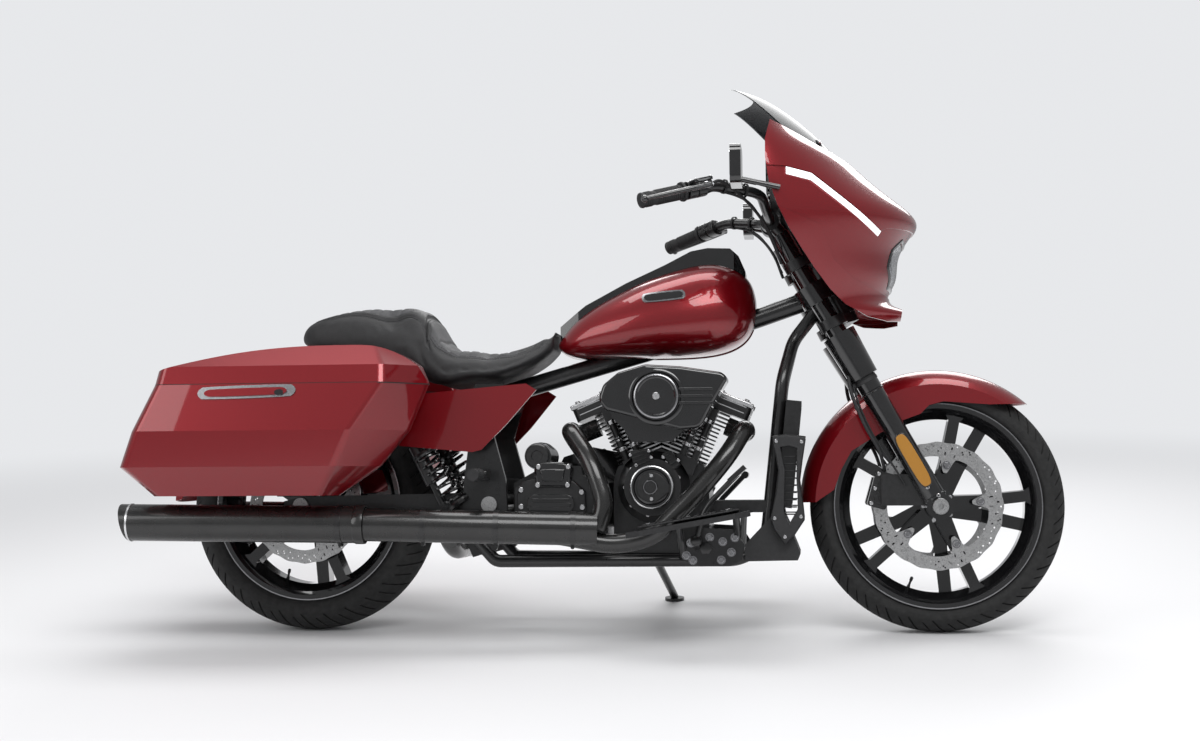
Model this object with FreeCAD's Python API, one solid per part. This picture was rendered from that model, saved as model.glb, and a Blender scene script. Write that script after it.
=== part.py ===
import FreeCAD, Part
import math
import os

# Touring cruiser motorcycle, leaning on its side stand.
# Each sub-part is drawn upright: X forward, Y to the left, Z up, millimetres,
# from a point on the ground midway between the axles. At the end the whole
# machine leans onto its stand and moves so that its box stands on the origin.
# Outlines are tables of shares: of a length and a height, or of a box.

# Stance
LEAN_ANGLE = 7.0
WHEELBASE = 1625.0
RAKE_ANGLE = 26.0
FORK_ANGLE = 29.25
TRAIL = 170.0

# Clearances
SEAT_GAP = 0.3
SHAFT_GAP = 0.05
MOVING_GAP = 6.0
CUT_OVERRUN = 5.0

# Wheels
FRONT_TYRE_RADIUS = 319.3
FRONT_TYRE_WIDTH = 130.0
FRONT_CROWN_RADIUS = 68.0
FRONT_BEAD_RADIUS = 246.0
FRONT_BEAD_WIDTH = 96.0
REAR_TYRE_RADIUS = 327.6
REAR_TYRE_WIDTH = 178.0
REAR_CROWN_RADIUS = 95.0
REAR_BEAD_RADIUS = 234.0
REAR_BEAD_WIDTH = 140.0
TYRE_SHOULDER_ANGLE = 60.0
BEAD_HEIGHT = 13.0
SIDEWALL_SHARE = 0.42
RIM_THICKNESS = 9.0
RIM_LIP = 8.0
RIM_WELL_DEPTH = 18.0
RIM_WELL_SHARE = 0.45
SPOKES = 5
SPOKE_START = 12.0
SPOKE_TWIST = 19.0
SPOKE_ROOT_Y = 6.0
SPOKE_SINK = 4.0
SPOKE_FACE_SHARE = 0.86
# Share of the way out to the rim, and the blade's width there.
SPOKE_SECTIONS = ((0.0, 46.0), (0.35, 34.0), (0.90, 32.0), (1.0, 62.0))
HUB_RADIUS = 44.0
FRONT_HUB_WIDTH = 128.0
REAR_HUB_WIDTH = 176.0
FRONT_SPOKE_FACES = (46.0, 40.0)
REAR_SPOKE_FACES = (64.0, 60.0)
AXLE_RADIUS = 12.5
AXLE_HEAD_RADIUS = 20.0
AXLE_HEAD_LENGTH = 9.0
SPACER_RADIUS = 19.0

# Brakes
FRONT_DISC_RADIUS = 160.0
REAR_DISC_RADIUS = 150.0
DISC_BAND = 34.0
DISC_THICKNESS = 5.0
DISC_BOLT_INSET = 56.0
DISC_BOSS_RADIUS = 14.0
DISC_TAB_WIDTH = 24.0
CALIPER_LENGTH = 92.0
CALIPER_DEPTH = 48.0
CALIPER_WIDTH = 46.0
CALIPER_SLOT = 3.0
CALIPER_FILLET = 7.0

# Steering and fork
LEG_SPACING = 230.0
SLIDER_RADIUS = 29.0
SLIDER_TOP_Z = 640.0
FORK_TUBE_RADIUS = 24.5
FORK_TUBE_TOP_Z = 1008.0
AXLE_LUG_RADIUS = 33.0
STEM_RADIUS = 16.0
NECK_RADIUS = 33.0
NECK_BOTTOM_Z = 812.0
NECK_TOP_Z = 940.0
CLAMP_THICKNESS = 26.0
CLAMP_LEG_WALL = 12.0
CLAMP_STEM_RADIUS = 30.0

# Frame
TUBE_RADIUS = 16.0
BACKBONE_RADIUS = 25.0
FRAME_HALF_WIDTH = 150.0


def vec(x, y, z):
    return FreeCAD.Vector(x, y, z)


X_AXIS = vec(1, 0, 0)
Y_AXIS = vec(0, 1, 0)
Z_AXIS = vec(0, 0, 1)


def sin(angle):
    return math.sin(math.radians(angle))


def cos(angle):
    return math.cos(math.radians(angle))


def tan(angle):
    return math.tan(math.radians(angle))


def axle_height(radius, crown):
    """Height of an upright axle whose tyre still touches the ground after the lean."""
    return radius - crown + crown / cos(LEAN_ANGLE)


FRONT_AXLE = vec(WHEELBASE / 2, 0, axle_height(FRONT_TYRE_RADIUS, FRONT_CROWN_RADIUS))
REAR_AXLE = vec(-WHEELBASE / 2, 0, axle_height(REAR_TYRE_RADIUS, REAR_CROWN_RADIUS))
STEER_DIRECTION = vec(-sin(RAKE_ANGLE), 0, cos(RAKE_ANGLE))
LEG_DIRECTION = vec(-sin(FORK_ANGLE), 0, cos(FORK_ANGLE))
STEER_GROUND = vec(WHEELBASE / 2 + TRAIL, 0, 0)


def steer_point(z):
    """Point of the steering axis at a height."""
    return STEER_GROUND + STEER_DIRECTION * (z / STEER_DIRECTION.z)


def leg_point(side, z):
    """Point of a fork leg's centre line at a height; side is 1 left, -1 right."""
    along = (z - FRONT_AXLE.z) / LEG_DIRECTION.z
    return FRONT_AXLE + LEG_DIRECTION * along + Y_AXIS * (side * LEG_SPACING / 2)


def spread(shares, corner, length, height, y=0.0):
    """Points in an upright fore-and-aft plane, from shares of a length and a height."""
    return [vec(corner[0] + a * length, y, corner[1] + b * height) for a, b in shares]


def in_box(shares, corner, size):
    """Points from shares of a box given by its corner and its three lengths."""
    rows = []
    for a, b, c in shares:
        rows.append(vec(corner[0] + a * size[0], corner[1] + b * size[1], corner[2] + c * size[2]))
    return rows


def mirrored(shape):
    """The same piece on the other side of the machine."""
    return shape.mirror(vec(0, 0, 0), Y_AXIS)


def fuse_all(shapes):
    """One solid from pieces that overlap or share faces."""
    result = shapes[0]
    if len(shapes) > 1:
        result = result.fuse(shapes[1:])
    return result.removeSplitter()


def closed_face(points):
    return Part.Face(Part.makePolygon(points + [points[0]]))


def smooth_wire(points):
    """Closed smooth curve through points."""
    curve = Part.BSplineCurve()
    curve.interpolate(points, PeriodicFlag=True)
    return Part.Wire([curve.toShape()])


def slab(points, y_start, y_end):
    """Outline in the fore-and-aft plane drawn out between two lateral places."""
    moved = [vec(p.x, y_start, p.z) for p in points]
    return closed_face(moved).extrude(vec(0, y_end - y_start, 0))


def curved_slab(points, y_start, y_end):
    """As slab, with one smooth curve through all points but the first and last."""
    moved = [vec(p.x, y_start, p.z) for p in points]
    curve = Part.BSplineCurve()
    curve.interpolate(moved[1:-1])
    edges = [curve.toShape()]
    for start, end in ((moved[-2], moved[-1]), (moved[-1], moved[0]), (moved[0], moved[1])):
        edges.append(Part.LineSegment(start, end).toShape())
    return Part.Face(Part.Wire(edges)).extrude(vec(0, y_end - y_start, 0))


def rounded_loop(points, radius):
    """Closed outline whose corners are tangent arcs."""
    arcs = []
    for before, corner, after in zip([points[-1]] + points[:-1], points, points[1:] + [points[0]]):
        back = (before - corner).normalize()
        ahead = (after - corner).normalize()
        half = back.getAngle(ahead) / 2
        shorter = min((before - corner).Length, (after - corner).Length)
        cut = min(radius / math.tan(half), shorter * ROUNDING_SHARE)
        inward = (back + ahead).normalize()
        middle = corner + inward * (cut / math.cos(half) - cut * math.tan(half))
        arcs.append((corner + back * cut, middle, corner + ahead * cut))
    edges = []
    for arc, following in zip(arcs, arcs[1:] + [arcs[0]]):
        edges.append(Part.Arc(*arc).toShape())
        edges.append(Part.LineSegment(arc[2], following[0]).toShape())
    return Part.Wire(edges)


def block(x0, x1, y0, y1, z0, z1):
    return Part.makeBox(x1 - x0, y1 - y0, z1 - z0, vec(x0, y0, z0))


def rod(start, end, radius):
    direction = end - start
    return Part.makeCylinder(radius, direction.Length, start, direction)


def cross_rod(x, z, y0, y1, radius):
    """Round bar that lies across the machine."""
    return Part.makeCylinder(radius, y1 - y0, vec(x, y0, z), Y_AXIS)


def ring(x, z, y0, y1, radius, bore):
    return cross_rod(x, z, y0, y1, radius).cut(
        cross_rod(x, z, y0 - CUT_OVERRUN, y1 + CUT_OVERRUN, bore))


def route_wire(points, bend_share):
    """Straight runs joined by tangent arcs, as large as a share of the shorter run allows."""
    edges = []
    start = points[0]
    for before, corner, after in zip(points, points[1:], points[2:]):
        back = (before - corner).normalize()
        ahead = (after - corner).normalize()
        shorter = min((before - corner).Length, (after - corner).Length)
        cut = shorter * bend_share
        arc_start = corner + back * cut
        arc_end = corner + ahead * cut
        half = back.getAngle(ahead) / 2
        to_centre = (back + ahead).normalize()
        radius = cut * math.tan(half)
        centre = corner + to_centre * (cut / math.cos(half))
        middle = centre - to_centre * radius
        edges.append(Part.LineSegment(start, arc_start).toShape())
        edges.append(Part.Arc(arc_start, middle, arc_end).toShape())
        start = arc_end
    edges.append(Part.LineSegment(start, points[-1]).toShape())
    return Part.Wire(edges)


def pipe(points, radius, bend_share=0.42):
    """Round bar along a bent route."""
    if len(points) == 2:
        return rod(points[0], points[1], radius)
    wire = route_wire(points, bend_share)
    circle = Part.Wire(Part.makeCircle(radius, points[0], points[1] - points[0]))
    return wire.makePipeShell([circle], True, False)


def section_wire(x, centre_z, half_width, half_height, shares):
    """Smooth closed section across the machine, from shares of its half sizes."""
    right = [vec(x, -a * half_width, centre_z + b * half_height) for a, b in shares]
    left = [vec(x, a * half_width, centre_z + b * half_height) for a, b in reversed(shares) if a > 0]
    return smooth_wire(right + left)


def round_edges(shape, radius, chooser):
    """Rounds the edges that the chooser accepts."""
    edges = [edge for edge in shape.Edges if chooser(edge)]
    return shape.makeFillet(radius, edges)


def across(edge):
    """True for a straight edge that lies across the machine."""
    if len(edge.Vertexes) < 2:
        return False
    span = edge.Vertexes[1].Point - edge.Vertexes[0].Point
    return span.Length > 0 and abs(abs(span.normalize().y) - 1) < ANGLE_TOLERANCE


ANGLE_TOLERANCE = 0.001
ROUNDING_SHARE = 0.45


# Tyres and wheels

def tyre(axle, radius, width, crown, bead_radius, bead_width):
    """Tyre as one ring: bands along the crown arc, sidewalls and upright beads."""
    shoulder_r = radius - crown + crown * cos(TYRE_SHOULDER_ANGLE)
    lip_r = bead_radius + BEAD_HEIGHT
    side_r = lip_r + (shoulder_r - lip_r) * SIDEWALL_SHARE
    half = [(radius - crown + crown * cos(angle), crown * sin(angle)) for angle in
            (LEAN_ANGLE, (LEAN_ANGLE + TYRE_SHOULDER_ANGLE) / 2, TYRE_SHOULDER_ANGLE)]
    half += [(side_r, width / 2), (lip_r, bead_width / 2), (bead_radius, bead_width / 2)]
    left = [vec(axle.x, y, axle.z + r) for r, y in half]
    right = [vec(axle.x, -y, axle.z + r) for r, y in reversed(half)]
    return closed_face(left + right).revolve(axle, Y_AXIS, 360)


def wheel(axle, bead_radius, bead_width, hub_width, faces, bosses):
    """Cast wheel: rim with lips and a well, hub, and five spokes of two blades each, one to either face."""
    outer = bead_radius - SEAT_GAP
    inner = outer - RIM_THICKNESS
    inside_y = bead_width / 2 + SEAT_GAP
    lip_y = inside_y + RIM_LIP
    lip_r = bead_radius + BEAD_HEIGHT
    well_y = inside_y * RIM_WELL_SHARE
    shares = ((lip_r, inside_y), (lip_r, lip_y), (outer, lip_y), (inner, inside_y),
              (inner - RIM_WELL_DEPTH, well_y))
    half = [vec(axle.x, y, axle.z + r) for r, y in shares]
    other = [vec(p.x, -p.y, p.z) for p in reversed(half)]
    seat = [vec(axle.x, -inside_y, axle.z + outer), vec(axle.x, inside_y, axle.z + outer)]
    rim = closed_face(half + other + seat).revolve(axle, Y_AXIS, 360)
    pieces = [rim, cross_rod(axle.x, axle.z, -hub_width / 2, hub_width / 2, HUB_RADIUS)]
    for number in range(SPOKES):
        for side in (-1, 1):
            pieces.append(spoke(axle, spoke_angle(number, side), side, faces, inner))
    for side, disc_radius, end_y in bosses:
        for number in range(SPOKES):
            at = around(axle, spoke_angle(number, side), disc_radius - DISC_BOLT_INSET)
            y0, y1 = sorted((side * SPOKE_ROOT_Y, side * end_y))
            pieces.append(cross_rod(at.x, at.z, y0, y1, DISC_BOSS_RADIUS))
    bore = cross_rod(axle.x, axle.z, -hub_width, hub_width, AXLE_RADIUS + SHAFT_GAP)
    return fuse_all(pieces).cut(bore)


def spoke_angle(number, side):
    """Angle of one blade; the left blades stand a twist behind the right ones."""
    return SPOKE_START + 360 * number / SPOKES + (SPOKE_TWIST if side > 0 else 0)


def around(axle, angle, radius):
    """Point at an angle round an axle, measured from straight up."""
    return axle + vec(sin(angle), 0, cos(angle)) * radius


def spoke(axle, angle, side, faces, rim_r):
    """One blade from the hub to the rim, waisted in the middle and flared at the rim."""
    wires = []
    hub_face, rim_face = faces
    for share, width in SPOKE_SECTIONS:
        centre = around(axle, angle, HUB_RADIUS - SPOKE_SINK + share * (rim_r - HUB_RADIUS + SPOKE_SINK))
        across_way = vec(cos(angle), 0, -sin(angle)) * (width / 2)
        root = Y_AXIS * (side * SPOKE_ROOT_Y)
        face = Y_AXIS * (side * (hub_face + share * (rim_face - hub_face)))
        narrow = across_way * SPOKE_FACE_SHARE
        wires.append(Part.makePolygon([centre + across_way + root, centre + narrow + face, centre - narrow + face,
                                       centre - across_way + root, centre + across_way + root]))
    return Part.makeLoft(wires, True, True)


def brake_disc(axle, y, radius):
    """Brake disc: a flat band whose inner tabs are bolted to the bosses of the spokes."""
    y0 = y - DISC_THICKNESS / 2
    y1 = y + DISC_THICKNESS / 2
    pieces = [ring(axle.x, axle.z, y0, y1, radius, radius - DISC_BAND)]
    side = 1 if y > 0 else -1
    for number in range(SPOKES):
        at = around(axle, spoke_angle(number, side), radius - DISC_BOLT_INSET)
        pieces.append(cross_rod(at.x, at.z, y0, y1, DISC_BOSS_RADIUS))
        bar = block(axle.x - DISC_TAB_WIDTH / 2, axle.x + DISC_TAB_WIDTH / 2, y0, y1,
                    axle.z + radius - DISC_BOLT_INSET, axle.z + radius - DISC_BAND + DISC_THICKNESS)
        bar.rotate(axle, Y_AXIS, spoke_angle(number, side))
        pieces.append(bar)
    return fuse_all(pieces)


# Axles

def axle_bar(axle, reach, hub_half, carrier_inner):
    """Axle with a round head at each end and the two spacers that keep the hub between its carriers."""
    pieces = [cross_rod(axle.x, axle.z, -reach, reach, AXLE_RADIUS)]
    for side in (-1, 1):
        y0, y1 = sorted((side * reach, side * (reach + AXLE_HEAD_LENGTH)))
        pieces.append(cross_rod(axle.x, axle.z, y0, y1, AXLE_HEAD_RADIUS))
        y0, y1 = sorted((side * (hub_half + SEAT_GAP), side * (carrier_inner - SEAT_GAP)))
        pieces.append(cross_rod(axle.x, axle.z, y0, y1, SPACER_RADIUS))
    return fuse_all(pieces)


# Steering

def steer_frame(z):
    """Placement whose Z runs up the steering axis from a height on it."""
    turn = FreeCAD.Rotation(Y_AXIS, -RAKE_ANGLE)
    return FreeCAD.Placement(steer_point(z), turn)


def leg_centre(z, side):
    """Where a fork leg crosses the plane square to the steering axis at a height."""
    start = leg_point(side, FRONT_AXLE.z)
    along = (steer_point(z) - start).dot(STEER_DIRECTION) / LEG_DIRECTION.dot(STEER_DIRECTION)
    return start + LEG_DIRECTION * along


CLAMP_WAIST_SHARE = 0.55


def clamp_plate(z):
    """Fork clamp: an eye round each leg and one round the stem, joined by a web."""
    base = steer_frame(z)
    local = base.inverse()
    leg = local.multVec(leg_centre(z, 1))
    eye = FORK_TUBE_RADIUS + CLAMP_LEG_WALL
    web = [vec(leg.x - eye * CLAMP_WAIST_SHARE, -leg.y, 0), vec(leg.x + eye * CLAMP_WAIST_SHARE, -leg.y, 0),
           vec(CLAMP_STEM_RADIUS * CLAMP_WAIST_SHARE, -CLAMP_STEM_RADIUS, 0),
           vec(CLAMP_STEM_RADIUS * CLAMP_WAIST_SHARE, CLAMP_STEM_RADIUS, 0),
           vec(leg.x + eye * CLAMP_WAIST_SHARE, leg.y, 0), vec(leg.x - eye * CLAMP_WAIST_SHARE, leg.y, 0)]
    pieces = [closed_face(web).extrude(Z_AXIS * CLAMP_THICKNESS),
              Part.makeCylinder(CLAMP_STEM_RADIUS, CLAMP_THICKNESS)]
    for side in (-1, 1):
        pieces.append(Part.makeCylinder(eye, CLAMP_THICKNESS, vec(leg.x, side * leg.y, 0)))
    plate = fuse_all(pieces)
    plate.Placement = base
    return plate


def leg_bore(side, radius):
    return rod(leg_point(side, SLIDER_TOP_Z), leg_point(side, FORK_TUBE_TOP_Z + CLAMP_THICKNESS), radius)


CLAMP_GAP = 1.5
LOWER_CLAMP_Z = NECK_BOTTOM_Z - CLAMP_GAP - CLAMP_THICKNESS * cos(RAKE_ANGLE)
UPPER_CLAMP_Z = NECK_TOP_Z + CLAMP_GAP
STEM_TOP_Z = UPPER_CLAMP_Z + (CLAMP_THICKNESS + CLAMP_GAP) * cos(RAKE_ANGLE)


def lower_clamp():
    plate = clamp_plate(LOWER_CLAMP_Z)
    for side in (-1, 1):
        plate = plate.cut(leg_bore(side, FORK_TUBE_RADIUS + SEAT_GAP))
    return plate.fuse(rod(steer_point(LOWER_CLAMP_Z), steer_point(STEM_TOP_Z), STEM_RADIUS)).removeSplitter()


RISER_RADIUS = 17.0
RISER_HEAD_HALF_WIDTH = 21.5
RISER_Y = 46.0
RISER_SINK = 6.0
STAY_RADIUS = 9.0
STAY_Y = 82.0
BAR_RADIUS = 12.7
BAR_CENTRE = (400.0, 1052.0)


def upper_clamp():
    """Upper clamp with the two risers that carry the handlebar."""
    plate = clamp_plate(UPPER_CLAMP_Z)
    risers = []
    top = steer_point(UPPER_CLAMP_Z) + STEER_DIRECTION * (CLAMP_THICKNESS - RISER_SINK)
    foot_x = (top.x + leg_centre(UPPER_CLAMP_Z, 1).x) / 2
    for side in (-1, 1):
        foot = vec(foot_x, side * RISER_Y, top.z - (top.x - foot_x) * tan(RAKE_ANGLE))
        head = vec(BAR_CENTRE[0], side * RISER_Y, BAR_CENTRE[1])
        risers.append(rod(foot, head, RISER_RADIUS))
        risers.append(cross_rod(head.x, head.z, head.y - RISER_HEAD_HALF_WIDTH, head.y + RISER_HEAD_HALF_WIDTH,
                                BAR_RADIUS + CLAMP_LEG_WALL))
        stay_foot = vec(foot_x, side * STAY_Y, top.z - (top.x - foot_x) * tan(RAKE_ANGLE))
        stay_head = vec(FAIRING_CORNER[0] + DASH_INSET + DASH_DEPTH / 2, side * STAY_Y, DASH_BOTTOM_Z)
        stay = rod(stay_foot, stay_head, STAY_RADIUS)
        risers.append(stay.cut(block(0, WHEELBASE, -WHEELBASE, WHEELBASE, DASH_BOTTOM_Z - SEAT_GAP, WHEELBASE)))
    whole = fuse_all([plate] + risers)
    for side in (-1, 1):
        whole = whole.cut(leg_bore(side, FORK_TUBE_RADIUS + SEAT_GAP))
    whole = whole.cut(rod(steer_point(NECK_BOTTOM_Z), steer_point(STEM_TOP_Z + CLAMP_THICKNESS),
                          STEM_RADIUS + SEAT_GAP))
    return whole.cut(cross_rod(BAR_CENTRE[0], BAR_CENTRE[1], -LEG_SPACING, LEG_SPACING, BAR_RADIUS + SEAT_GAP))


def fork_leg(side):
    """Fixed tube above, sliding leg below with its axle lug and the boss that carries the fender."""
    slider = rod(leg_point(side, FRONT_AXLE.z), leg_point(side, SLIDER_TOP_Z), SLIDER_RADIUS)
    tube = rod(leg_point(side, SLIDER_TOP_Z), leg_point(side, FORK_TUBE_TOP_Z), FORK_TUBE_RADIUS)
    half = SLIDER_RADIUS + SEAT_GAP
    middle = side * LEG_SPACING / 2
    lug = cross_rod(FRONT_AXLE.x, FRONT_AXLE.z, middle - half, middle + half, AXLE_LUG_RADIUS)
    bore = cross_rod(FRONT_AXLE.x, FRONT_AXLE.z, middle - half * 2, middle + half * 2, AXLE_RADIUS + SEAT_GAP)
    at = leg_point(side, FENDER_MOUNT_Z)
    y0, y1 = sorted((side * (FENDER_HALF_WIDTH + SEAT_GAP), middle))
    boss = cross_rod(at.x, at.z, y0, y1, FENDER_MOUNT_RADIUS)
    return fuse_all([slider, tube, lug, boss]).cut(bore)


COVER_RADII = (38.0, 43.0, 44.0, 46.0)
COVER_HEIGHTS = (643.0, 752.0, 832.0, 876.0)


def fork_cover(side, lower):
    """Black tapering sleeve round a fork tube, below or above the lower clamp."""
    first = 0 if lower else 2
    base = leg_point(side, COVER_HEIGHTS[first])
    top = leg_point(side, COVER_HEIGHTS[first + 1])
    cone = Part.makeCone(COVER_RADII[first], COVER_RADII[first + 1], (top - base).Length, base, LEG_DIRECTION)
    return cone.cut(leg_bore(side, FORK_TUBE_RADIUS + SEAT_GAP))


BAR_BOX = (107.0, 0.0, 1052.0)
BAR_SIZE = (293.0, 413.0, 50.0)
BAR_SHARES = ((1.0, 0.0, 0.0), (1.0, 0.26, 0.0), (0.94, 0.60, 0.80), (0.567, 0.743, 1.10), (0.0, 1.0, 0.08))
BAR_BEND_SHARE = 0.24
GRIP_LENGTH = 118.0
GRIP_RADIUS = 17.5
GRIP_END = 5.0
HOUSING_RADIUS = 23.0
HOUSING_LENGTH = 52.0
LEVER_REACH = 165.0
LEVER_RADIUS = 6.0
LEVER_STANDOFF = 62.0
RESERVOIR_SIZE = (58.0, 40.0, 26.0)


def bar_points():
    return in_box(BAR_SHARES, BAR_BOX, BAR_SIZE)


def handlebar():
    right = [vec(p.x, -p.y, p.z) for p in reversed(bar_points())]
    return pipe(right[:-1] + bar_points()[1:], BAR_RADIUS, BAR_BEND_SHARE)


def grip_way():
    """Left grip: its outer end and the direction inward along the bar."""
    points = bar_points()
    inward = (points[-2] - points[-1]).normalize()
    return points[-1], inward


def hollow_rod(start, end, radius, bore):
    reach = (end - start).normalize() * CUT_OVERRUN
    return rod(start, end, radius).cut(rod(start - reach, end + reach, bore))


def grip():
    end, inward = grip_way()
    cap = rod(end - inward * (GRIP_END + SEAT_GAP), end - inward * SEAT_GAP, GRIP_RADIUS)
    sleeve = hollow_rod(end - inward * SEAT_GAP, end + inward * GRIP_LENGTH, GRIP_RADIUS, BAR_RADIUS + SEAT_GAP)
    return fuse_all([cap, sleeve])


def hand_control():
    """Switch housing on the bar with the reservoir and the lever that it carries."""
    end, inward = grip_way()
    start = end + inward * (GRIP_LENGTH + SEAT_GAP)
    stop = start + inward * HOUSING_LENGTH
    housing = rod(start, stop, HOUSING_RADIUS)
    middle = (start + stop) / 2
    ahead = vec(0, 0, 1).cross(inward).normalize()
    if ahead.x < 0:
        ahead = ahead * -1
    pivot = middle + ahead * LEVER_STANDOFF
    arm = rod(middle, pivot, RESERVOIR_SIZE[2] / 2)
    tip = pivot - inward * LEVER_REACH
    tip = tip - ahead * (LEVER_STANDOFF / 4)
    lever = rod(pivot, tip, LEVER_RADIUS)
    knob = Part.makeSphere(LEVER_RADIUS * 2, tip)
    cup = Part.makeBox(RESERVOIR_SIZE[0], RESERVOIR_SIZE[1], RESERVOIR_SIZE[2],
                       middle + ahead * HOUSING_RADIUS - vec(RESERVOIR_SIZE[0] / 4, RESERVOIR_SIZE[1] / 2, 0))
    bore = rod(start - inward * CUT_OVERRUN, stop + inward * CUT_OVERRUN, BAR_RADIUS + SEAT_GAP)
    return fuse_all([housing, arm, lever, knob, cup]).cut(bore)


# Fairing

FAIRING_CORNER = (380.0, 770.0)
FAIRING_LENGTH = 392.0
FAIRING_HEIGHT = 540.0
FAIRING_HALF_WIDTH = 398.0
FAIRING_WALL = 4.0
FAIRING_PLAN_POWER = 2.0
FAIRING_PLAN_ROUND = 0.72
FAIRING_PLAN_SHARES = (0.0, 0.22, 0.44, 0.64, 0.80, 0.91, 0.975, 1.0)
# Height, nose and half width at each level.
FAIRING_LEVEL_SHARES = (
    (0.0, 0.80, 0.60), (0.11, 0.845, 0.74), (0.22, 0.86, 0.85), (0.33, 0.885, 0.925), (0.43, 0.955, 0.97),
    (0.495, 1.0, 0.985), (0.585, 0.895, 1.0), (0.70, 0.70, 1.0), (0.815, 0.495, 0.965), (0.91, 0.31, 0.90),
    (1.0, 0.15, 0.83))
FAIRING_SIDE_SHARES = (
    (0.075, 0.905), (0.045, 0.80), (0.045, 0.715), (0.065, 0.61), (0.115, 0.505), (0.18, 0.41), (0.255, 0.325),
    (0.335, 0.24), (0.43, 0.155), (0.53, 0.09), (0.67, 0.04), (0.80, 0.025), (0.885, 0.03), (0.90, 0.10),
    (1.1, 0.30), (1.1, 0.60), (0.62, 0.805), (0.48, 0.822), (0.30, 0.855), (0.16, 0.885))


def fairing_body(grow, back):
    """Solid nose whose plan at each level is a rounded arch; grow moves its skin outward."""
    wires = []
    for height, nose, width in FAIRING_LEVEL_SHARES:
        z = FAIRING_CORNER[1] + height * FAIRING_HEIGHT
        half = width * FAIRING_HALF_WIDTH + grow
        reach = nose * FAIRING_LENGTH + grow
        points = []
        for share in FAIRING_PLAN_SHARES:
            ahead = (1 - share ** FAIRING_PLAN_POWER) ** FAIRING_PLAN_ROUND
            points.append(vec(FAIRING_CORNER[0] + reach * ahead, half * share, z))
        points = [vec(p.x, -p.y, p.z) for p in reversed(points[1:])] + points
        curve = Part.BSplineCurve()
        curve.interpolate(points)
        rear_right = vec(points[0].x - back, points[0].y, z)
        rear_left = vec(points[-1].x - back, points[-1].y, z)
        wires.append(Part.Wire([curve.toShape(), Part.LineSegment(points[-1], rear_left).toShape(),
                                Part.LineSegment(rear_left, rear_right).toShape(),
                                Part.LineSegment(rear_right, points[0]).toShape()]))
    return Part.makeLoft(wires, True, False)


def fairing_side():
    outline = spread(FAIRING_SIDE_SHARES, FAIRING_CORNER, FAIRING_LENGTH, FAIRING_HEIGHT)
    return slab(outline, -FAIRING_HALF_WIDTH * 2, FAIRING_HALF_WIDTH * 2)


LAMP_HALF_WIDTH = 112.0
LAMP_BOTTOM_Z = 872.0
LAMP_HEIGHT = 112.0
LAMP_SHARES = ((0.0, 0.0), (0.62, 0.04), (1.0, 0.42), (0.96, 0.78), (0.70, 1.0), (0.0, 0.90))
LAMP_DEPTH = 70.0
NOSE_MIDDLE_X = FAIRING_CORNER[0] + FAIRING_LENGTH / 2


def lamp_opening(grow):
    """Headlamp outline seen from the front, drawn out forward."""
    right = [vec(NOSE_MIDDLE_X, -a * (LAMP_HALF_WIDTH + grow), LAMP_BOTTOM_Z - grow + b * (LAMP_HEIGHT + 2 * grow))
             for a, b in LAMP_SHARES]
    left = [vec(p.x, -p.y, p.z) for p in reversed(right) if p.y < 0]
    return closed_face(right + left).extrude(X_AXIS * FAIRING_LENGTH)


FAIRING_STEP = 4.0
SHIELD_SHARES = ((-0.1, 0.679), (0.17, 0.679), (0.327, 0.659), (0.757, 0.427), (0.80, 0.44), (1.2, 0.47), (1.2, 1.2),
                 (-0.1, 1.2))
CHEEK_SHARES = ((0.375, 0.422), (0.452, 0.283), (0.574, 0.206), (0.819, 0.143), (1.2, 0.13), (1.2, -0.1), (-0.1, -0.1),
                (-0.1, 0.50), (0.12, 0.50))


def fairing_outer(skin, cavity):
    """Shell of the fairing with the raised shield above the lamp strips and the raised cheek below."""
    grown = fairing_body(FAIRING_STEP, CUT_OVERRUN)
    pieces = [skin]
    for shares in (SHIELD_SHARES, CHEEK_SHARES):
        outline = spread(shares, FAIRING_CORNER, FAIRING_LENGTH, FAIRING_HEIGHT)
        pieces.append(grown.common(slab(outline, -FAIRING_HALF_WIDTH * 2, FAIRING_HALF_WIDTH * 2)))
    return fuse_all(pieces).cut(cavity).common(fairing_side()).cut(lamp_opening(0))


def headlamp(skin):
    inner = skin.copy()
    inner.translate(X_AXIS * -LAMP_DEPTH)
    return skin.cut(inner).common(lamp_opening(-SEAT_GAP)).Solids[0]


STRIP_THICKNESS = 3.5
STRIP_INNER_Y = 130.0
STRIP_SHARES = ((0.17, 0.642), (0.32, 0.622), (0.735, 0.40), (0.755, 0.422), (0.325, 0.655), (0.17, 0.675))


def light_strip(side):
    """Thin lamp strip on the cheek of the fairing."""
    outline = spread(STRIP_SHARES, FAIRING_CORNER, FAIRING_LENGTH, FAIRING_HEIGHT)
    band = slab(outline, side * STRIP_INNER_Y, side * FAIRING_HALF_WIDTH * 2)
    skin = fairing_body(STRIP_THICKNESS + SEAT_GAP, CUT_OVERRUN).cut(fairing_body(SEAT_GAP, FAIRING_LENGTH))
    return skin.common(band)


DASH_DEPTH = 46.0
DASH_INSET = 26.0
DASH_BOTTOM_Z = 1082.0
DASH_TOP_Z = 1212.0


def fairing_inner(cavity):
    """Instrument panel that closes the back of the fairing."""
    x0 = FAIRING_CORNER[0] + DASH_INSET
    panel = block(x0, x0 + DASH_DEPTH, -FAIRING_HALF_WIDTH, FAIRING_HALF_WIDTH, DASH_BOTTOM_Z, DASH_TOP_Z)
    room = fairing_body(-FAIRING_WALL - SEAT_GAP, FAIRING_LENGTH)
    return panel.common(room)


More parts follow.
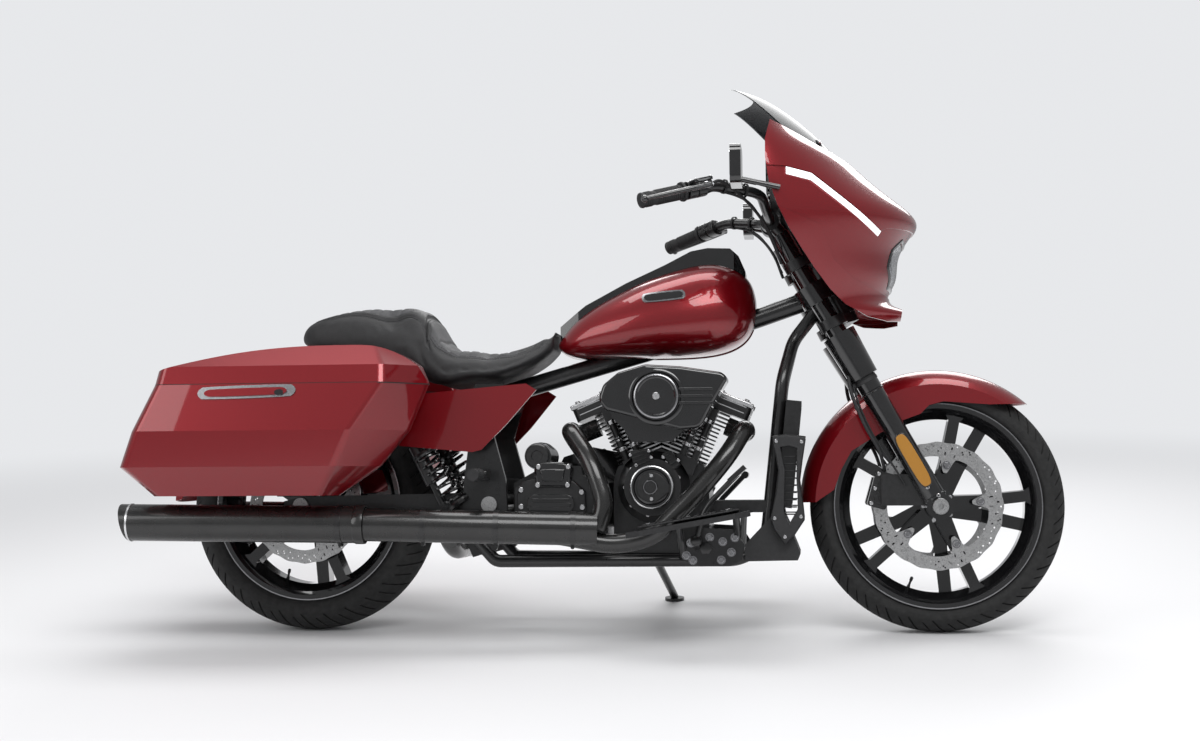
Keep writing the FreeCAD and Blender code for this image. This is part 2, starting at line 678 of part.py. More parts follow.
SCREEN_WALL = 4.0
SCREEN_CORNER = (364.0, 1180.0)
SCREEN_HEIGHT = 200.0
SCREEN_RUN = 228.0
SCREEN_HALF_WIDTH = 235.0
SCREEN_PLAN_SHARES = (0.0, 0.25, 0.5, 0.75, 1.0)
SCREEN_PLAN_DEPTH = 95.0
# Height, front and half width at each level.
SCREEN_LEVEL_SHARES = ((0.0, 1.0, 1.0), (0.25, 0.87, 1.0), (0.5, 0.66, 0.95), (0.75, 0.40, 0.85), (1.0, 0.0, 0.60))
SCREEN_FOOT_SINK = 4.05


def windscreen():
    """Swept wrap-around screen that stands on the rim of the fairing."""
    layers = []
    for inset in (0, SCREEN_WALL):
        wires = []
        for height, front, width in SCREEN_LEVEL_SHARES:
            z = SCREEN_CORNER[1] + height * SCREEN_HEIGHT
            half = width * SCREEN_HALF_WIDTH
            nose = SCREEN_CORNER[0] + front * SCREEN_RUN - inset
            points = []
            for share in SCREEN_PLAN_SHARES:
                points.append(vec(nose - SCREEN_PLAN_DEPTH * width * share * share, half * share, z))
            points = [vec(p.x, -p.y, p.z) for p in reversed(points[1:])] + points
            wires.append((points, z))
        layers.append(wires)
    wires = []
    for (outer, z), (inner, same) in zip(layers[0], layers[1]):
        first = Part.BSplineCurve()
        first.interpolate(outer)
        second = Part.BSplineCurve()
        second.interpolate(inner)
        wires.append(Part.Wire([first.toShape(), Part.LineSegment(outer[-1], inner[-1]).toShape(),
                                second.toShape(), Part.LineSegment(inner[0], outer[0]).toShape()]))
    sheet = Part.makeLoft(wires, True, False)
    rim = spread(FAIRING_SIDE_SHARES, FAIRING_CORNER, FAIRING_LENGTH, FAIRING_HEIGHT)
    front, rear = rim[16], rim[0]
    slope = (front.z - rear.z) / (front.x - rear.x)
    x0 = rear.x - FAIRING_LENGTH
    x1 = front.x + FAIRING_LENGTH
    foot = -SCREEN_FOOT_SINK
    keep = slab([vec(x0, 0, rear.z + foot + slope * (x0 - rear.x)), vec(x1, 0, rear.z + foot + slope * (x1 - rear.x)),
                 vec(x1, 0, rear.z + FAIRING_HEIGHT), vec(x0, 0, rear.z + FAIRING_HEIGHT)],
                -FAIRING_HALF_WIDTH, FAIRING_HALF_WIDTH)
    return sheet.common(keep)


MIRROR_CENTRE = (330.0, 430.0, 1128.0)
MIRROR_WIDTH = 120.0
MIRROR_HEIGHT = 92.0
MIRROR_DEPTH = 26.0
MIRROR_CORNER = 18.0
MIRROR_STALK_RADIUS = 7.0


def mirror():
    """Mirror head on the stalk that leaves the fairing's edge."""
    x, y, z = MIRROR_CENTRE
    head = block(x - MIRROR_DEPTH / 2, x + MIRROR_DEPTH / 2, y - MIRROR_WIDTH / 2, y + MIRROR_WIDTH / 2,
                 z - MIRROR_HEIGHT / 2, z + MIRROR_HEIGHT / 2)
    head = round_edges(head, MIRROR_CORNER, lambda e: abs(e.BoundBox.XLength - MIRROR_DEPTH) < ANGLE_TOLERANCE)
    root = vec(FAIRING_CORNER[0] + DASH_INSET * 2, FAIRING_HALF_WIDTH - MIRROR_STALK_RADIUS, z - MIRROR_HEIGHT / 2)
    stalk = rod(vec(x, y - MIRROR_WIDTH / 4, z - MIRROR_HEIGHT / 4), root, MIRROR_STALK_RADIUS)
    return fuse_all([head, stalk]).cut(fairing_body(SEAT_GAP, CUT_OVERRUN))


# Front fender

FENDER_RADIUS = 345.0
FENDER_SIDE_RADIUS = 306.0
FENDER_HALF_WIDTH = 79.0
FENDER_WALL = 3.0
FENDER_REACH = 362.0
FENDER_SHARES = ((0.71, 0.705), (0.36, 0.70), (0.05, 0.725), (-0.05, 0.70), (-0.11, 0.64), (-0.235, 0.595),
                 (-0.37, 0.52), (-0.59, 0.385), (-0.66, 0.26), (-0.715, 0.115), (-0.84, 0.03), (-1.1, 0.02),
                 (-1.1, 1.1), (0.62, 1.1))


def fender_shell(axle, radius, side_radius, half_width, wall):
    """Full ring of a fender: a crown arc with a flat flank at each side."""
    def at(r, y):
        return vec(axle.x, y, axle.z + r)
    def skin(outer, side, half):
        return [Part.Arc(at(side, -half), at(outer, 0), at(side, half)).toShape(),
                Part.LineSegment(at(side, half), at(side / 2, half)).toShape(),
                Part.LineSegment(at(side / 2, half), at(side / 2, -half)).toShape(),
                Part.LineSegment(at(side / 2, -half), at(side, -half)).toShape()]
    outer = Part.Face(Part.Wire(skin(radius, side_radius, half_width)))
    inner = Part.Face(Part.Wire(skin(radius - wall, side_radius - wall, half_width - wall)))
    return outer.cut(inner).revolve(axle, Y_AXIS, 360)


def front_fender():
    ring_shell = fender_shell(FRONT_AXLE, FENDER_RADIUS, FENDER_SIDE_RADIUS, FENDER_HALF_WIDTH, FENDER_WALL)
    outline = spread(FENDER_SHARES, (FRONT_AXLE.x, FRONT_AXLE.z), FENDER_REACH, FENDER_REACH)
    return ring_shell.common(slab(outline, -FENDER_HALF_WIDTH * 2, FENDER_HALF_WIDTH * 2))


FENDER_MOUNT_Z = 560.0
FENDER_MOUNT_RADIUS = 9.0


def caliper_body(axle, disc_y, disc_radius, angle):
    """Brake caliper astride a disc; the angle is measured up from straight back."""
    away = disc_radius - CALIPER_DEPTH / 2 + CALIPER_BRIDGE
    direction = vec(-cos(angle), 0, sin(angle))
    body = block(-CALIPER_DEPTH / 2, CALIPER_DEPTH / 2, -CALIPER_WIDTH / 2, CALIPER_WIDTH / 2,
                 -CALIPER_LENGTH / 2, CALIPER_LENGTH / 2)
    body = round_edges(body, CALIPER_FILLET, across)
    body.rotate(vec(0, 0, 0), Y_AXIS, angle)
    body.translate(axle + direction * away + Y_AXIS * disc_y)
    return body, axle + direction * away


def caliper_slot(axle, disc_y, disc_radius):
    half = DISC_THICKNESS / 2 + CALIPER_SLOT
    return ring(axle.x, axle.z, disc_y - half, disc_y + half, disc_radius + CALIPER_SLOT,
                disc_radius - DISC_BOLT_INSET - DISC_BOSS_RADIUS - CALIPER_SLOT)


def front_caliper(side):
    """Caliper carried by a bracket behind the fork leg."""
    disc_y = side * FRONT_DISC_Y
    body, centre = caliper_body(FRONT_AXLE, disc_y, FRONT_DISC_RADIUS, CALIPER_ANGLE)
    half = CALIPER_LENGTH / 2 - CALIPER_FILLET
    high = leg_point(side, centre.z + half)
    low = leg_point(side, centre.z - half)
    y0, y1 = sorted((disc_y + side * (DISC_THICKNESS / 2 + CALIPER_SLOT), side * LEG_SPACING / 2))
    bracket = slab([centre + vec(0, 0, half), high, low, centre - vec(0, 0, half)], y0, y1)
    whole = fuse_all([body, bracket]).cut(caliper_slot(FRONT_AXLE, disc_y, FRONT_DISC_RADIUS))
    whole = whole.cut(rod(leg_point(side, FRONT_AXLE.z), leg_point(side, SLIDER_TOP_Z), SLIDER_RADIUS + SEAT_GAP))
    whole = whole.cut(cross_rod(FRONT_AXLE.x, FRONT_AXLE.z, -LEG_SPACING, LEG_SPACING, AXLE_LUG_RADIUS + SEAT_GAP))
    return max(whole.Solids, key=lambda s: s.Volume)


CALIPER_BRIDGE = 12.0
CALIPER_ANGLE = 16.0
FRONT_DISC_Y = 76.0


# Frame

NECK_JOIN_Z = 872.0
BACKBONE_FRONT = (330.0, 795.0)
BACKBONE_BEND_SHARE = 0.22
BACKBONE_REAR = (-300.0, 618.0)
CRADLE_CORNER = (377.0, 0.0, 186.0)
CRADLE_SIZE = (175.0, 90.0, 682.0)
CRADLE_SHARES = ((1.0, 0.18, 1.0), (0.45, 0.18, 0.82), (0.285, 0.78, 0.665), (0.0, 1.0, 0.0))
CRADLE_BEND_SHARE = 0.2
RAIL_REAR_X = -300.0
RAIL_END = (-345.0, 236.0)
PIVOT_CORNER = (-388.0, 196.0)
PIVOT_LENGTH = 120.0
PIVOT_HEIGHT = 440.0
PIVOT_SHARES = ((0.25, 0.0), (0.75, 0.04), (1.0, 0.22), (0.95, 0.45), (0.70, 0.70), (0.95, 0.93), (0.9, 1.0),
                (0.30, 1.0), (0.18, 0.70), (0.05, 0.42), (0.02, 0.15))
PIVOT_PLATE = 16.0
PIVOT_INNER_Y = 142.0
SWING_PIVOT = (-315.0, 330.0)
PIVOT_BOLT_RADIUS = 11.0


def top_tube(radius):
    """Tube under the tank, from the steering head to the rear cross tube."""
    points = [steer_point(NECK_JOIN_Z), vec(BACKBONE_FRONT[0], 0, BACKBONE_FRONT[1]),
              vec(BACKBONE_REAR[0], 0, BACKBONE_REAR[1])]
    return pipe(points, radius, BACKBONE_BEND_SHARE)


def rear_cross_tube(grow):
    """Cross tube between the pivot plates."""
    return cross_rod(BACKBONE_REAR[0], BACKBONE_REAR[1] - BACKBONE_RADIUS, -PIVOT_INNER_Y + SEAT_GAP - grow,
                     PIVOT_INNER_Y - SEAT_GAP + grow, BACKBONE_RADIUS + grow)


def backbone():
    """Steering head with the top tube that runs back under the tank."""
    neck = rod(steer_point(NECK_BOTTOM_Z), steer_point(NECK_TOP_Z), NECK_RADIUS)
    tube = top_tube(BACKBONE_RADIUS)
    cross = rear_cross_tube(0)
    bore = rod(steer_point(NECK_BOTTOM_Z - CUT_OVERRUN), steer_point(NECK_TOP_Z + CUT_OVERRUN),
               STEM_RADIUS + SHAFT_GAP)
    return fuse_all([neck, tube, cross]).cut(bore)


def cradle_route(side):
    """Corner points of one side of the cradle, from the steering head round under the engine."""
    y = PIVOT_INNER_Y + PIVOT_PLATE / 2
    points = in_box(CRADLE_SHARES, CRADLE_CORNER, CRADLE_SIZE)
    points += [vec(RAIL_REAR_X, y, CRADLE_CORNER[2]), vec(RAIL_END[0], y, RAIL_END[1])]
    return [vec(p.x, side * p.y, p.z) for p in points]


def rail_point(x):
    """Point on the centre line of the left lower rail."""
    front = vec(CRADLE_CORNER[0], CRADLE_CORNER[1] + CRADLE_SIZE[1], CRADLE_CORNER[2])
    rear = vec(RAIL_REAR_X, PIVOT_INNER_Y + PIVOT_PLATE / 2, CRADLE_CORNER[2])
    return front + (rear - front) * ((x - front.x) / (rear.x - front.x))


def rail_room(side):
    """Room that one side of the cradle takes."""
    return pipe(cradle_route(side), TUBE_RADIUS + SEAT_GAP, CRADLE_BEND_SHARE)


def cradle_tube(side):
    """Downtube and lower rail in one bent tube, from the steering head to the pivot plate."""
    tube = pipe(cradle_route(side), TUBE_RADIUS, CRADLE_BEND_SHARE)
    neck = rod(steer_point(NECK_BOTTOM_Z - NECK_RADIUS), steer_point(NECK_TOP_Z), NECK_RADIUS + SEAT_GAP)
    far = side * (SEAT_GAP - FRAME_HALF_WIDTH * 2)
    y0, y1 = sorted((side * SEAT_GAP, far))
    other = block(CRADLE_CORNER[0], WHEELBASE, y0, y1, CRADLE_CORNER[2], NECK_TOP_Z)
    whole = tube.cut(neck).cut(top_tube(BACKBONE_RADIUS + SEAT_GAP)).cut(other).cut(pivot_plate(side, SEAT_GAP))
    return max(whole.Solids, key=lambda s: s.Volume)


def pivot_plate(side, grow=0.0):
    """Cast side plate that holds the swingarm's pivot."""
    outline = spread(PIVOT_SHARES, PIVOT_CORNER, PIVOT_LENGTH, PIVOT_HEIGHT)
    y0 = side * (PIVOT_INNER_Y - grow)
    y1 = side * (PIVOT_INNER_Y + PIVOT_PLATE + grow)
    plate = slab(outline, min(y0, y1), max(y0, y1))
    return plate.cut(cross_rod(SWING_PIVOT[0], SWING_PIVOT[1], -PIVOT_INNER_Y * 2, PIVOT_INNER_Y * 2,
                               PIVOT_BOLT_RADIUS + SEAT_GAP))


STRUT_CORNER = (-1010.0, 520.0)
STRUT_LENGTH = 720.0
STRUT_HEIGHT = 120.0
STRUT_SHARES = ((0.0, 0.0), (0.06, 0.0), (0.30, 0.45), (0.55, 0.62), (0.98, 0.48), (0.98, 0.74), (0.55, 0.92),
                (0.28, 0.80), (0.0, 0.30))
STRUT_INNER_Y = 104.3
STRUT_OUTER_Y = 126.0
SHOCK_TOP = (-575.0, 610.0)
SHOCK_FOOT = (-430.0, 318.0)
SHOCK_Y = 156.0
SHOCK_BODY_RADIUS = 19.0
SHOCK_ROD_RADIUS = 9.0
SHOCK_EYE_RADIUS = 16.0
SHOCK_EYE_WIDTH = 24.0
SHOCK_BODY_SHARE = 0.55
BOLT_RADIUS = 8.0


def seat_strut(side):
    outline = spread(STRUT_SHARES, STRUT_CORNER, STRUT_LENGTH, STRUT_HEIGHT)
    y0, y1 = sorted((side * STRUT_INNER_Y, side * STRUT_OUTER_Y))
    bar = slab(outline, y0, y1)
    pin0, pin1 = sorted((side * STRUT_OUTER_Y, side * (SHOCK_Y + SHOCK_EYE_WIDTH / 2)))
    return fuse_all([bar, cross_rod(SHOCK_TOP[0], SHOCK_TOP[1], pin0, pin1, BOLT_RADIUS)]).cut(
        rear_cross_tube(SEAT_GAP))


def shock(side):
    """Rear shock absorber: eyes, rod and body."""
    y = side * SHOCK_Y
    top = vec(SHOCK_TOP[0], y, SHOCK_TOP[1])
    foot = vec(SHOCK_FOOT[0], y, SHOCK_FOOT[1])
    knee = foot + (top - foot) * SHOCK_BODY_SHARE
    pieces = [rod(foot, top, SHOCK_ROD_RADIUS), rod(foot + (top - foot) * (1 - SHOCK_BODY_SHARE) / 2, knee,
                                                   SHOCK_BODY_RADIUS)]
    for end in (top, foot):
        pieces.append(cross_rod(end.x, end.z, y - SHOCK_EYE_WIDTH / 2, y + SHOCK_EYE_WIDTH / 2, SHOCK_EYE_RADIUS))
    whole = fuse_all(pieces)
    for end in (top, foot):
        whole = whole.cut(cross_rod(end.x, end.z, y - SHOCK_EYE_WIDTH, y + SHOCK_EYE_WIDTH, BOLT_RADIUS + SEAT_GAP))
    return whole


ARM_INNER_Y = 121.0
ARM_OUTER_Y = 141.0
ARM_HEIGHT_FRONT = 60.0
ARM_HEIGHT_REAR = 46.0
ARM_TAIL = 46.0
PIVOT_TUBE_RADIUS = 27.0


def arm_outline(grow):
    return [vec(SWING_PIVOT[0], 0, SWING_PIVOT[1] + ARM_HEIGHT_FRONT / 2 + grow),
            vec(REAR_AXLE.x, 0, REAR_AXLE.z + ARM_HEIGHT_REAR / 2 + grow),
            vec(REAR_AXLE.x - ARM_TAIL - grow, 0, REAR_AXLE.z + ARM_HEIGHT_REAR / 4),
            vec(REAR_AXLE.x - ARM_TAIL - grow, 0, REAR_AXLE.z - ARM_HEIGHT_REAR / 4),
            vec(REAR_AXLE.x, 0, REAR_AXLE.z - ARM_HEIGHT_REAR / 2 - grow),
            vec(SWING_PIVOT[0], 0, SWING_PIVOT[1] - ARM_HEIGHT_FRONT / 2 - grow)]


def swingarm_outline(grow):
    return slab(arm_outline(grow), -ARM_OUTER_Y - CUT_OVERRUN, ARM_OUTER_Y + CUT_OVERRUN)


def swingarm():
    """Two arms on one cross tube, with slots' ends closed round the axle and a lug for each shock."""
    outline = arm_outline(0)
    pieces = [cross_rod(SWING_PIVOT[0], SWING_PIVOT[1], -ARM_OUTER_Y, ARM_OUTER_Y, PIVOT_TUBE_RADIUS)]
    for side in (-1, 1):
        y0, y1 = sorted((side * ARM_INNER_Y, side * ARM_OUTER_Y))
        pieces.append(slab(outline, y0, y1))
        pin0, pin1 = sorted((side * ARM_OUTER_Y, side * (SHOCK_Y + SHOCK_EYE_WIDTH / 2)))
        pieces.append(cross_rod(SHOCK_FOOT[0], SHOCK_FOOT[1], pin0, pin1, BOLT_RADIUS))
    whole = fuse_all(pieces)
    whole = whole.cut(cross_rod(SWING_PIVOT[0], SWING_PIVOT[1], -PIVOT_INNER_Y, PIVOT_INNER_Y,
                                PIVOT_BOLT_RADIUS + SEAT_GAP))
    return whole.cut(cross_rod(REAR_AXLE.x, REAR_AXLE.z, -PIVOT_INNER_Y, PIVOT_INNER_Y, AXLE_RADIUS + SEAT_GAP))


def pivot_bolt():
    reach = PIVOT_INNER_Y + PIVOT_PLATE
    bolt = cross_rod(SWING_PIVOT[0], SWING_PIVOT[1], -reach - SEAT_GAP, reach + SEAT_GAP, PIVOT_BOLT_RADIUS)
    heads = []
    for side in (-1, 1):
        y0, y1 = sorted((side * (reach + SEAT_GAP), side * (reach + SEAT_GAP + AXLE_HEAD_LENGTH)))
        heads.append(cross_rod(SWING_PIVOT[0], SWING_PIVOT[1], y0, y1, AXLE_HEAD_RADIUS))
    return fuse_all([bolt] + heads)


# Engine

CRANK = (118.0, 370.0)
CYLINDER_TILT = 22.5
CASE_RADIUS = 122.0
CASE_HALF_WIDTH = 100.0
CASE_BOTTOM_Z = 204.0
BARREL_FOOT = 92.0
BARREL_RADIUS = 58.0
BARREL_FINS = 10
FIN_PITCH = 10.5
FIN_THICKNESS = 4.0
FIN_HALF_LENGTH = 82.0
FIN_HALF_WIDTH = 78.0
FIN_CORNER = 26.0
HEAD_FINS = 4
HEAD_FIN_HALF_LENGTH = 92.0
ROCKER_INNER = 96.0
ROCKER_OUTER = 138.0
ROCKER_HALF_WIDTH = 74.0
ROCKER_HEIGHT = 46.0
ROCKER_FILLET = 9.0


def cut_corner_plate(half_x, half_y, corner, z0, z1):
    """Rectangular plate with cut corners, square to Z."""
    points = [vec(half_x, corner - half_y, z0), vec(half_x, half_y - corner, z0), vec(half_x - corner, half_y, z0),
              vec(corner - half_x, half_y, z0), vec(-half_x, half_y - corner, z0), vec(-half_x, corner - half_y, z0),
              vec(corner - half_x, -half_y, z0), vec(half_x - corner, -half_y, z0)]
    return closed_face(points).extrude(Z_AXIS * (z1 - z0))


def cylinder_unit(side):
    """Finned barrel, finned head, rocker box and exhaust port as one casting; side is 1 front, -1 rear."""
    top_of_fins = BARREL_FOOT + (BARREL_FINS + HEAD_FINS) * FIN_PITCH
    pieces = [Part.makeCylinder(BARREL_RADIUS, top_of_fins - BARREL_FOOT, vec(0, 0, BARREL_FOOT))]
    for fin in range(BARREL_FINS + HEAD_FINS):
        in_head = fin >= BARREL_FINS
        z0 = BARREL_FOOT + fin * FIN_PITCH + (FIN_PITCH - FIN_THICKNESS) / 2
        half = HEAD_FIN_HALF_LENGTH if in_head else FIN_HALF_LENGTH
        pieces.append(cut_corner_plate(half, FIN_HALF_WIDTH, FIN_CORNER, z0, z0 + FIN_THICKNESS))
    rocker = Part.makeBox(ROCKER_INNER + ROCKER_OUTER, ROCKER_HALF_WIDTH * 2, ROCKER_HEIGHT,
                          vec(-ROCKER_INNER, -ROCKER_HALF_WIDTH, top_of_fins))
    upright = [e for e in rocker.Edges if abs(e.BoundBox.ZLength - ROCKER_HEIGHT) < ANGLE_TOLERANCE]
    rocker = rocker.makeFillet(ROCKER_FILLET * 2, upright)
    rim = [e for e in rocker.Edges if e.BoundBox.ZMin > top_of_fins + ROCKER_HEIGHT / 2]
    rocker = rocker.makeFillet(ROCKER_FILLET, rim)
    pieces.append(rocker)
    whole = tilted(fuse_all(pieces), side)
    other = block(-CASE_RADIUS * 4, SEAT_GAP, -CASE_RADIUS, CASE_RADIUS, 0, CASE_RADIUS * 4)
    if side < 0:
        other = other.mirror(vec(0, 0, 0), X_AXIS)
    other.translate(vec(CRANK[0], 0, CRANK[1]))
    return whole.cut(other)


def tilted(shape, side):
    """Sets a shape drawn for the front cylinder's axis, or its mirror image, on the crank."""
    if side < 0:
        shape = shape.mirror(vec(0, 0, 0), X_AXIS)
    shape.rotate(vec(0, 0, 0), Y_AXIS, side * CYLINDER_TILT)
    shape.translate(vec(CRANK[0], 0, CRANK[1]))
    return shape


def engine_case():
    """Crankcase: round about the crank, flat under each barrel, with the timing chest on the right."""
    drum = cross_rod(CRANK[0], CRANK[1], -CASE_HALF_WIDTH, CASE_HALF_WIDTH, CASE_RADIUS)
    sump = block(CRANK[0] - CASE_RADIUS, CRANK[0] + CASE_RADIUS, -CASE_HALF_WIDTH, CASE_HALF_WIDTH,
                 CASE_BOTTOM_Z, CRANK[1])
    pieces = [drum, sump]
    for side in (-1, 1):
        deck = Part.makeBox(FIN_HALF_LENGTH * 2, CASE_HALF_WIDTH * 2, BARREL_FOOT - SEAT_GAP,
                            vec(-FIN_HALF_LENGTH, -CASE_HALF_WIDTH, 0))
        pieces.append(tilted(deck, side))
    whole = fuse_all(pieces)
    for side in (-1, 1):
        above = Part.makeBox(CASE_RADIUS * 4, CASE_RADIUS * 4, CASE_RADIUS * 2,
                             vec(-CASE_RADIUS * 2, -CASE_RADIUS * 2, BARREL_FOOT - SEAT_GAP))
        half = block(0, CASE_RADIUS * 4, -CASE_RADIUS * 2, CASE_RADIUS * 2, 0, CASE_RADIUS * 4)
        if side < 0:
            half = half.mirror(vec(0, 0, 0), X_AXIS)
        half.translate(vec(CRANK[0], 0, CRANK[1]))
        whole = whole.cut(tilted(above, side).common(half))
    return whole


CAM_CENTRE = (100.0, 371.0)
CAM_CHEST_RADIUS = 92.0
CAM_CHEST_DEPTH = 52.0
CAM_COVER_RADIUS = 54.0
CAM_COVER_DEPTH = 20.0


def cam_chest():
    """Timing chest on the right of the crankcase, with its round cover."""
    y0 = -CASE_HALF_WIDTH - SEAT_GAP - CAM_CHEST_DEPTH
    chest = Part.makeCone(CAM_CHEST_RADIUS - CAM_COVER_DEPTH, CAM_CHEST_RADIUS, CAM_CHEST_DEPTH,
                          vec(CAM_CENTRE[0], y0, CAM_CENTRE[1]), Y_AXIS)
    cover = cross_rod(CAM_CENTRE[0], CAM_CENTRE[1], y0 - CAM_COVER_DEPTH, y0, CAM_COVER_RADIUS)
    return fuse_all([chest, cover])


PRIMARY_CORNER = (-196.0, 262.0)
PRIMARY_LENGTH = 441.0
PRIMARY_HEIGHT = 216.0
PRIMARY_DEPTH = 78.0
PRIMARY_SHARES = ((0.10, 0.25), (0.22, 0.0), (0.45, 0.02), (0.72, 0.06), (0.92, 0.16), (1.0, 0.48), (0.93, 0.80),
                  (0.78, 0.92), (0.50, 0.90), (0.26, 1.0), (0.08, 0.88), (0.0, 0.55))
PRIMARY_FILLET = 16.0


def primary_cover():
    """Long primary drive cover on the left."""
    y0 = CASE_HALF_WIDTH + SEAT_GAP
    outline = spread(PRIMARY_SHARES, PRIMARY_CORNER, PRIMARY_LENGTH, PRIMARY_HEIGHT)
    body = slab(outline, y0, y0 + PRIMARY_DEPTH)
    return round_edges(body, PRIMARY_FILLET, lambda e: e.BoundBox.YMin > y0 + PRIMARY_DEPTH / 2)


GEARBOX_CORNER = (-264.0, 226.0)
GEARBOX_LENGTH = 255.0
GEARBOX_HEIGHT = 196.0
GEARBOX_HALF_WIDTH = 92.0
GEARBOX_LEFT_Y = 90.0
GEARBOX_SHARES = ((0.06, 0.06), (0.30, 0.0), (0.96, 0.0), (0.96, 0.80), (0.72, 1.0), (0.28, 1.0), (0.0, 0.80),
                  (0.0, 0.30))
SIDE_COVER_SHARES = ((0.06, 0.34), (0.94, 0.34), (0.94, 0.74), (0.74, 0.90), (0.72, 1.02), (0.32, 1.02), (0.28, 0.90),
                     (0.06, 0.74))
SIDE_COVER_DEPTH = 66.0


def gearbox():
    """Gearbox case with the cover on its right end and the belt pulley on its left."""
    outline = spread(GEARBOX_SHARES, GEARBOX_CORNER, GEARBOX_LENGTH, GEARBOX_HEIGHT)
    case = slab(outline, -GEARBOX_HALF_WIDTH, GEARBOX_LEFT_Y)
    end = slab(spread(SIDE_COVER_SHARES, GEARBOX_CORNER, GEARBOX_LENGTH, GEARBOX_HEIGHT),
               -GEARBOX_HALF_WIDTH - SIDE_COVER_DEPTH, -GEARBOX_HALF_WIDTH)
    whole = fuse_all([case, end, front_pulley()])
    drum = cross_rod(CRANK[0], CRANK[1], -CASE_HALF_WIDTH * 2, CASE_HALF_WIDTH * 2, CASE_RADIUS + SEAT_GAP)
    sump = block(CRANK[0] - CASE_RADIUS - SEAT_GAP, CRANK[0], -CASE_HALF_WIDTH * 2, CASE_HALF_WIDTH * 2,
                 0, CRANK[1])
    return whole.cut(drum).cut(sump)


STARTER_CENTRE = (-186.0, 450.0)
STARTER_RADIUS = 31.0
STARTER_Y0 = -168.0
STARTER_Y1 = -30.0


def starter():
    body = cross_rod(STARTER_CENTRE[0], STARTER_CENTRE[1], STARTER_Y0, STARTER_Y1, STARTER_RADIUS)
    outline = spread(GEARBOX_SHARES, GEARBOX_CORNER, GEARBOX_LENGTH, GEARBOX_HEIGHT)
    end = spread(SIDE_COVER_SHARES, GEARBOX_CORNER, GEARBOX_LENGTH, GEARBOX_HEIGHT)
    body = body.cut(slab(end, -GEARBOX_HALF_WIDTH - SIDE_COVER_DEPTH - SEAT_GAP, -GEARBOX_HALF_WIDTH + SEAT_GAP))
    return body.cut(slab(outline, -GEARBOX_HALF_WIDTH - SEAT_GAP, GEARBOX_HALF_WIDTH)).Solids[0]


AIR_CORNER = (-24.0, 508.0)
AIR_LENGTH = 322.0
AIR_HEIGHT = 166.0
AIR_SHARES = ((0.003, 0.476), (0.04, 0.70), (0.158, 0.886), (0.366, 1.0), (0.634, 0.964), (0.953, 0.867), (1.0, 0.777),
              (0.876, 0.38), (0.783, 0.042), (0.63, 0.02), (0.211, 0.247), (0.056, 0.325))
TRAY_SHARES = ((0.06, 0.45), (0.10, 0.22), (0.195, 0.03), (0.25, -0.15), (0.56, -0.15), (0.66, 0.03), (0.76, 0.45))
TRAY_DEPTH = 62.0
AIR_EDGE_RADIUS = 26.0
AIR_INNER_Y = -172.0
AIR_DEPTH = 92.0
AIR_FILLET = 9.0
AIR_ROUND_CENTRE = (122.0, 594.0)
AIR_ROUND_RADIUS = 54.0
AIR_ROUND_DEPTH = 12.0
AIR_NECK_RADIUS = 34.0


def air_cleaner():
    """Air cleaner: broad shell with a round centre cover and its neck to the heads."""
    outer = AIR_INNER_Y - AIR_DEPTH
    rim = rounded_loop(spread(AIR_SHARES, AIR_CORNER, AIR_LENGTH, AIR_HEIGHT, outer), AIR_EDGE_RADIUS)
    shell = Part.Face(rim).extrude(Y_AXIS * AIR_DEPTH)
    shell = round_edges(shell, AIR_FILLET, lambda e: e.BoundBox.YMax < outer + AIR_FILLET / 2)
    tray = slab(spread(TRAY_SHARES, AIR_CORNER, AIR_LENGTH, AIR_HEIGHT), AIR_INNER_Y - TRAY_DEPTH, AIR_INNER_Y)
    disc = cross_rod(AIR_ROUND_CENTRE[0], AIR_ROUND_CENTRE[1], outer - AIR_ROUND_DEPTH, outer, AIR_ROUND_RADIUS)
    neck = cross_rod(CRANK[0], AIR_ROUND_CENTRE[1], AIR_INNER_Y, -BARREL_RADIUS, AIR_NECK_RADIUS)
    for side in (-1, 1):
        neck = neck.cut(cylinder_envelope(side))
    return fuse_all([shell, tray, disc, neck])


def cylinder_envelope(side):
    """Plain box round a barrel, head and rocker box, a seat gap larger."""
    top = BARREL_FOOT + (BARREL_FINS + HEAD_FINS) * FIN_PITCH + ROCKER_HEIGHT
    half_x = HEAD_FIN_HALF_LENGTH + SEAT_GAP
    half_y = FIN_HALF_WIDTH + SEAT_GAP
    box = Part.makeBox(half_x * 2, half_y * 2, top, vec(-half_x, -half_y, 0))
    rocker = Part.makeBox(ROCKER_INNER + ROCKER_OUTER + SEAT_GAP * 2, half_y * 2, ROCKER_HEIGHT + SEAT_GAP * 2,
                          vec(-ROCKER_INNER - SEAT_GAP, -half_y, top - ROCKER_HEIGHT - SEAT_GAP))
    return tilted(box.fuse(rocker), side)


# Exhaust

MUFFLER_FRONT = (-602.0, 300.0, 283.0)
MUFFLER_REAR = (-1222.0, 322.0, 291.0)
MUFFLER_RADIUS = 46.0
MUFFLER_CUT_ANGLE = 20.0
MUFFLER_WALL = 3.0
MUFFLER_MOUTH_DEPTH = 110.0
PIPE_RADIUS = 24.0
SHIELD_RADIUS = 41.0


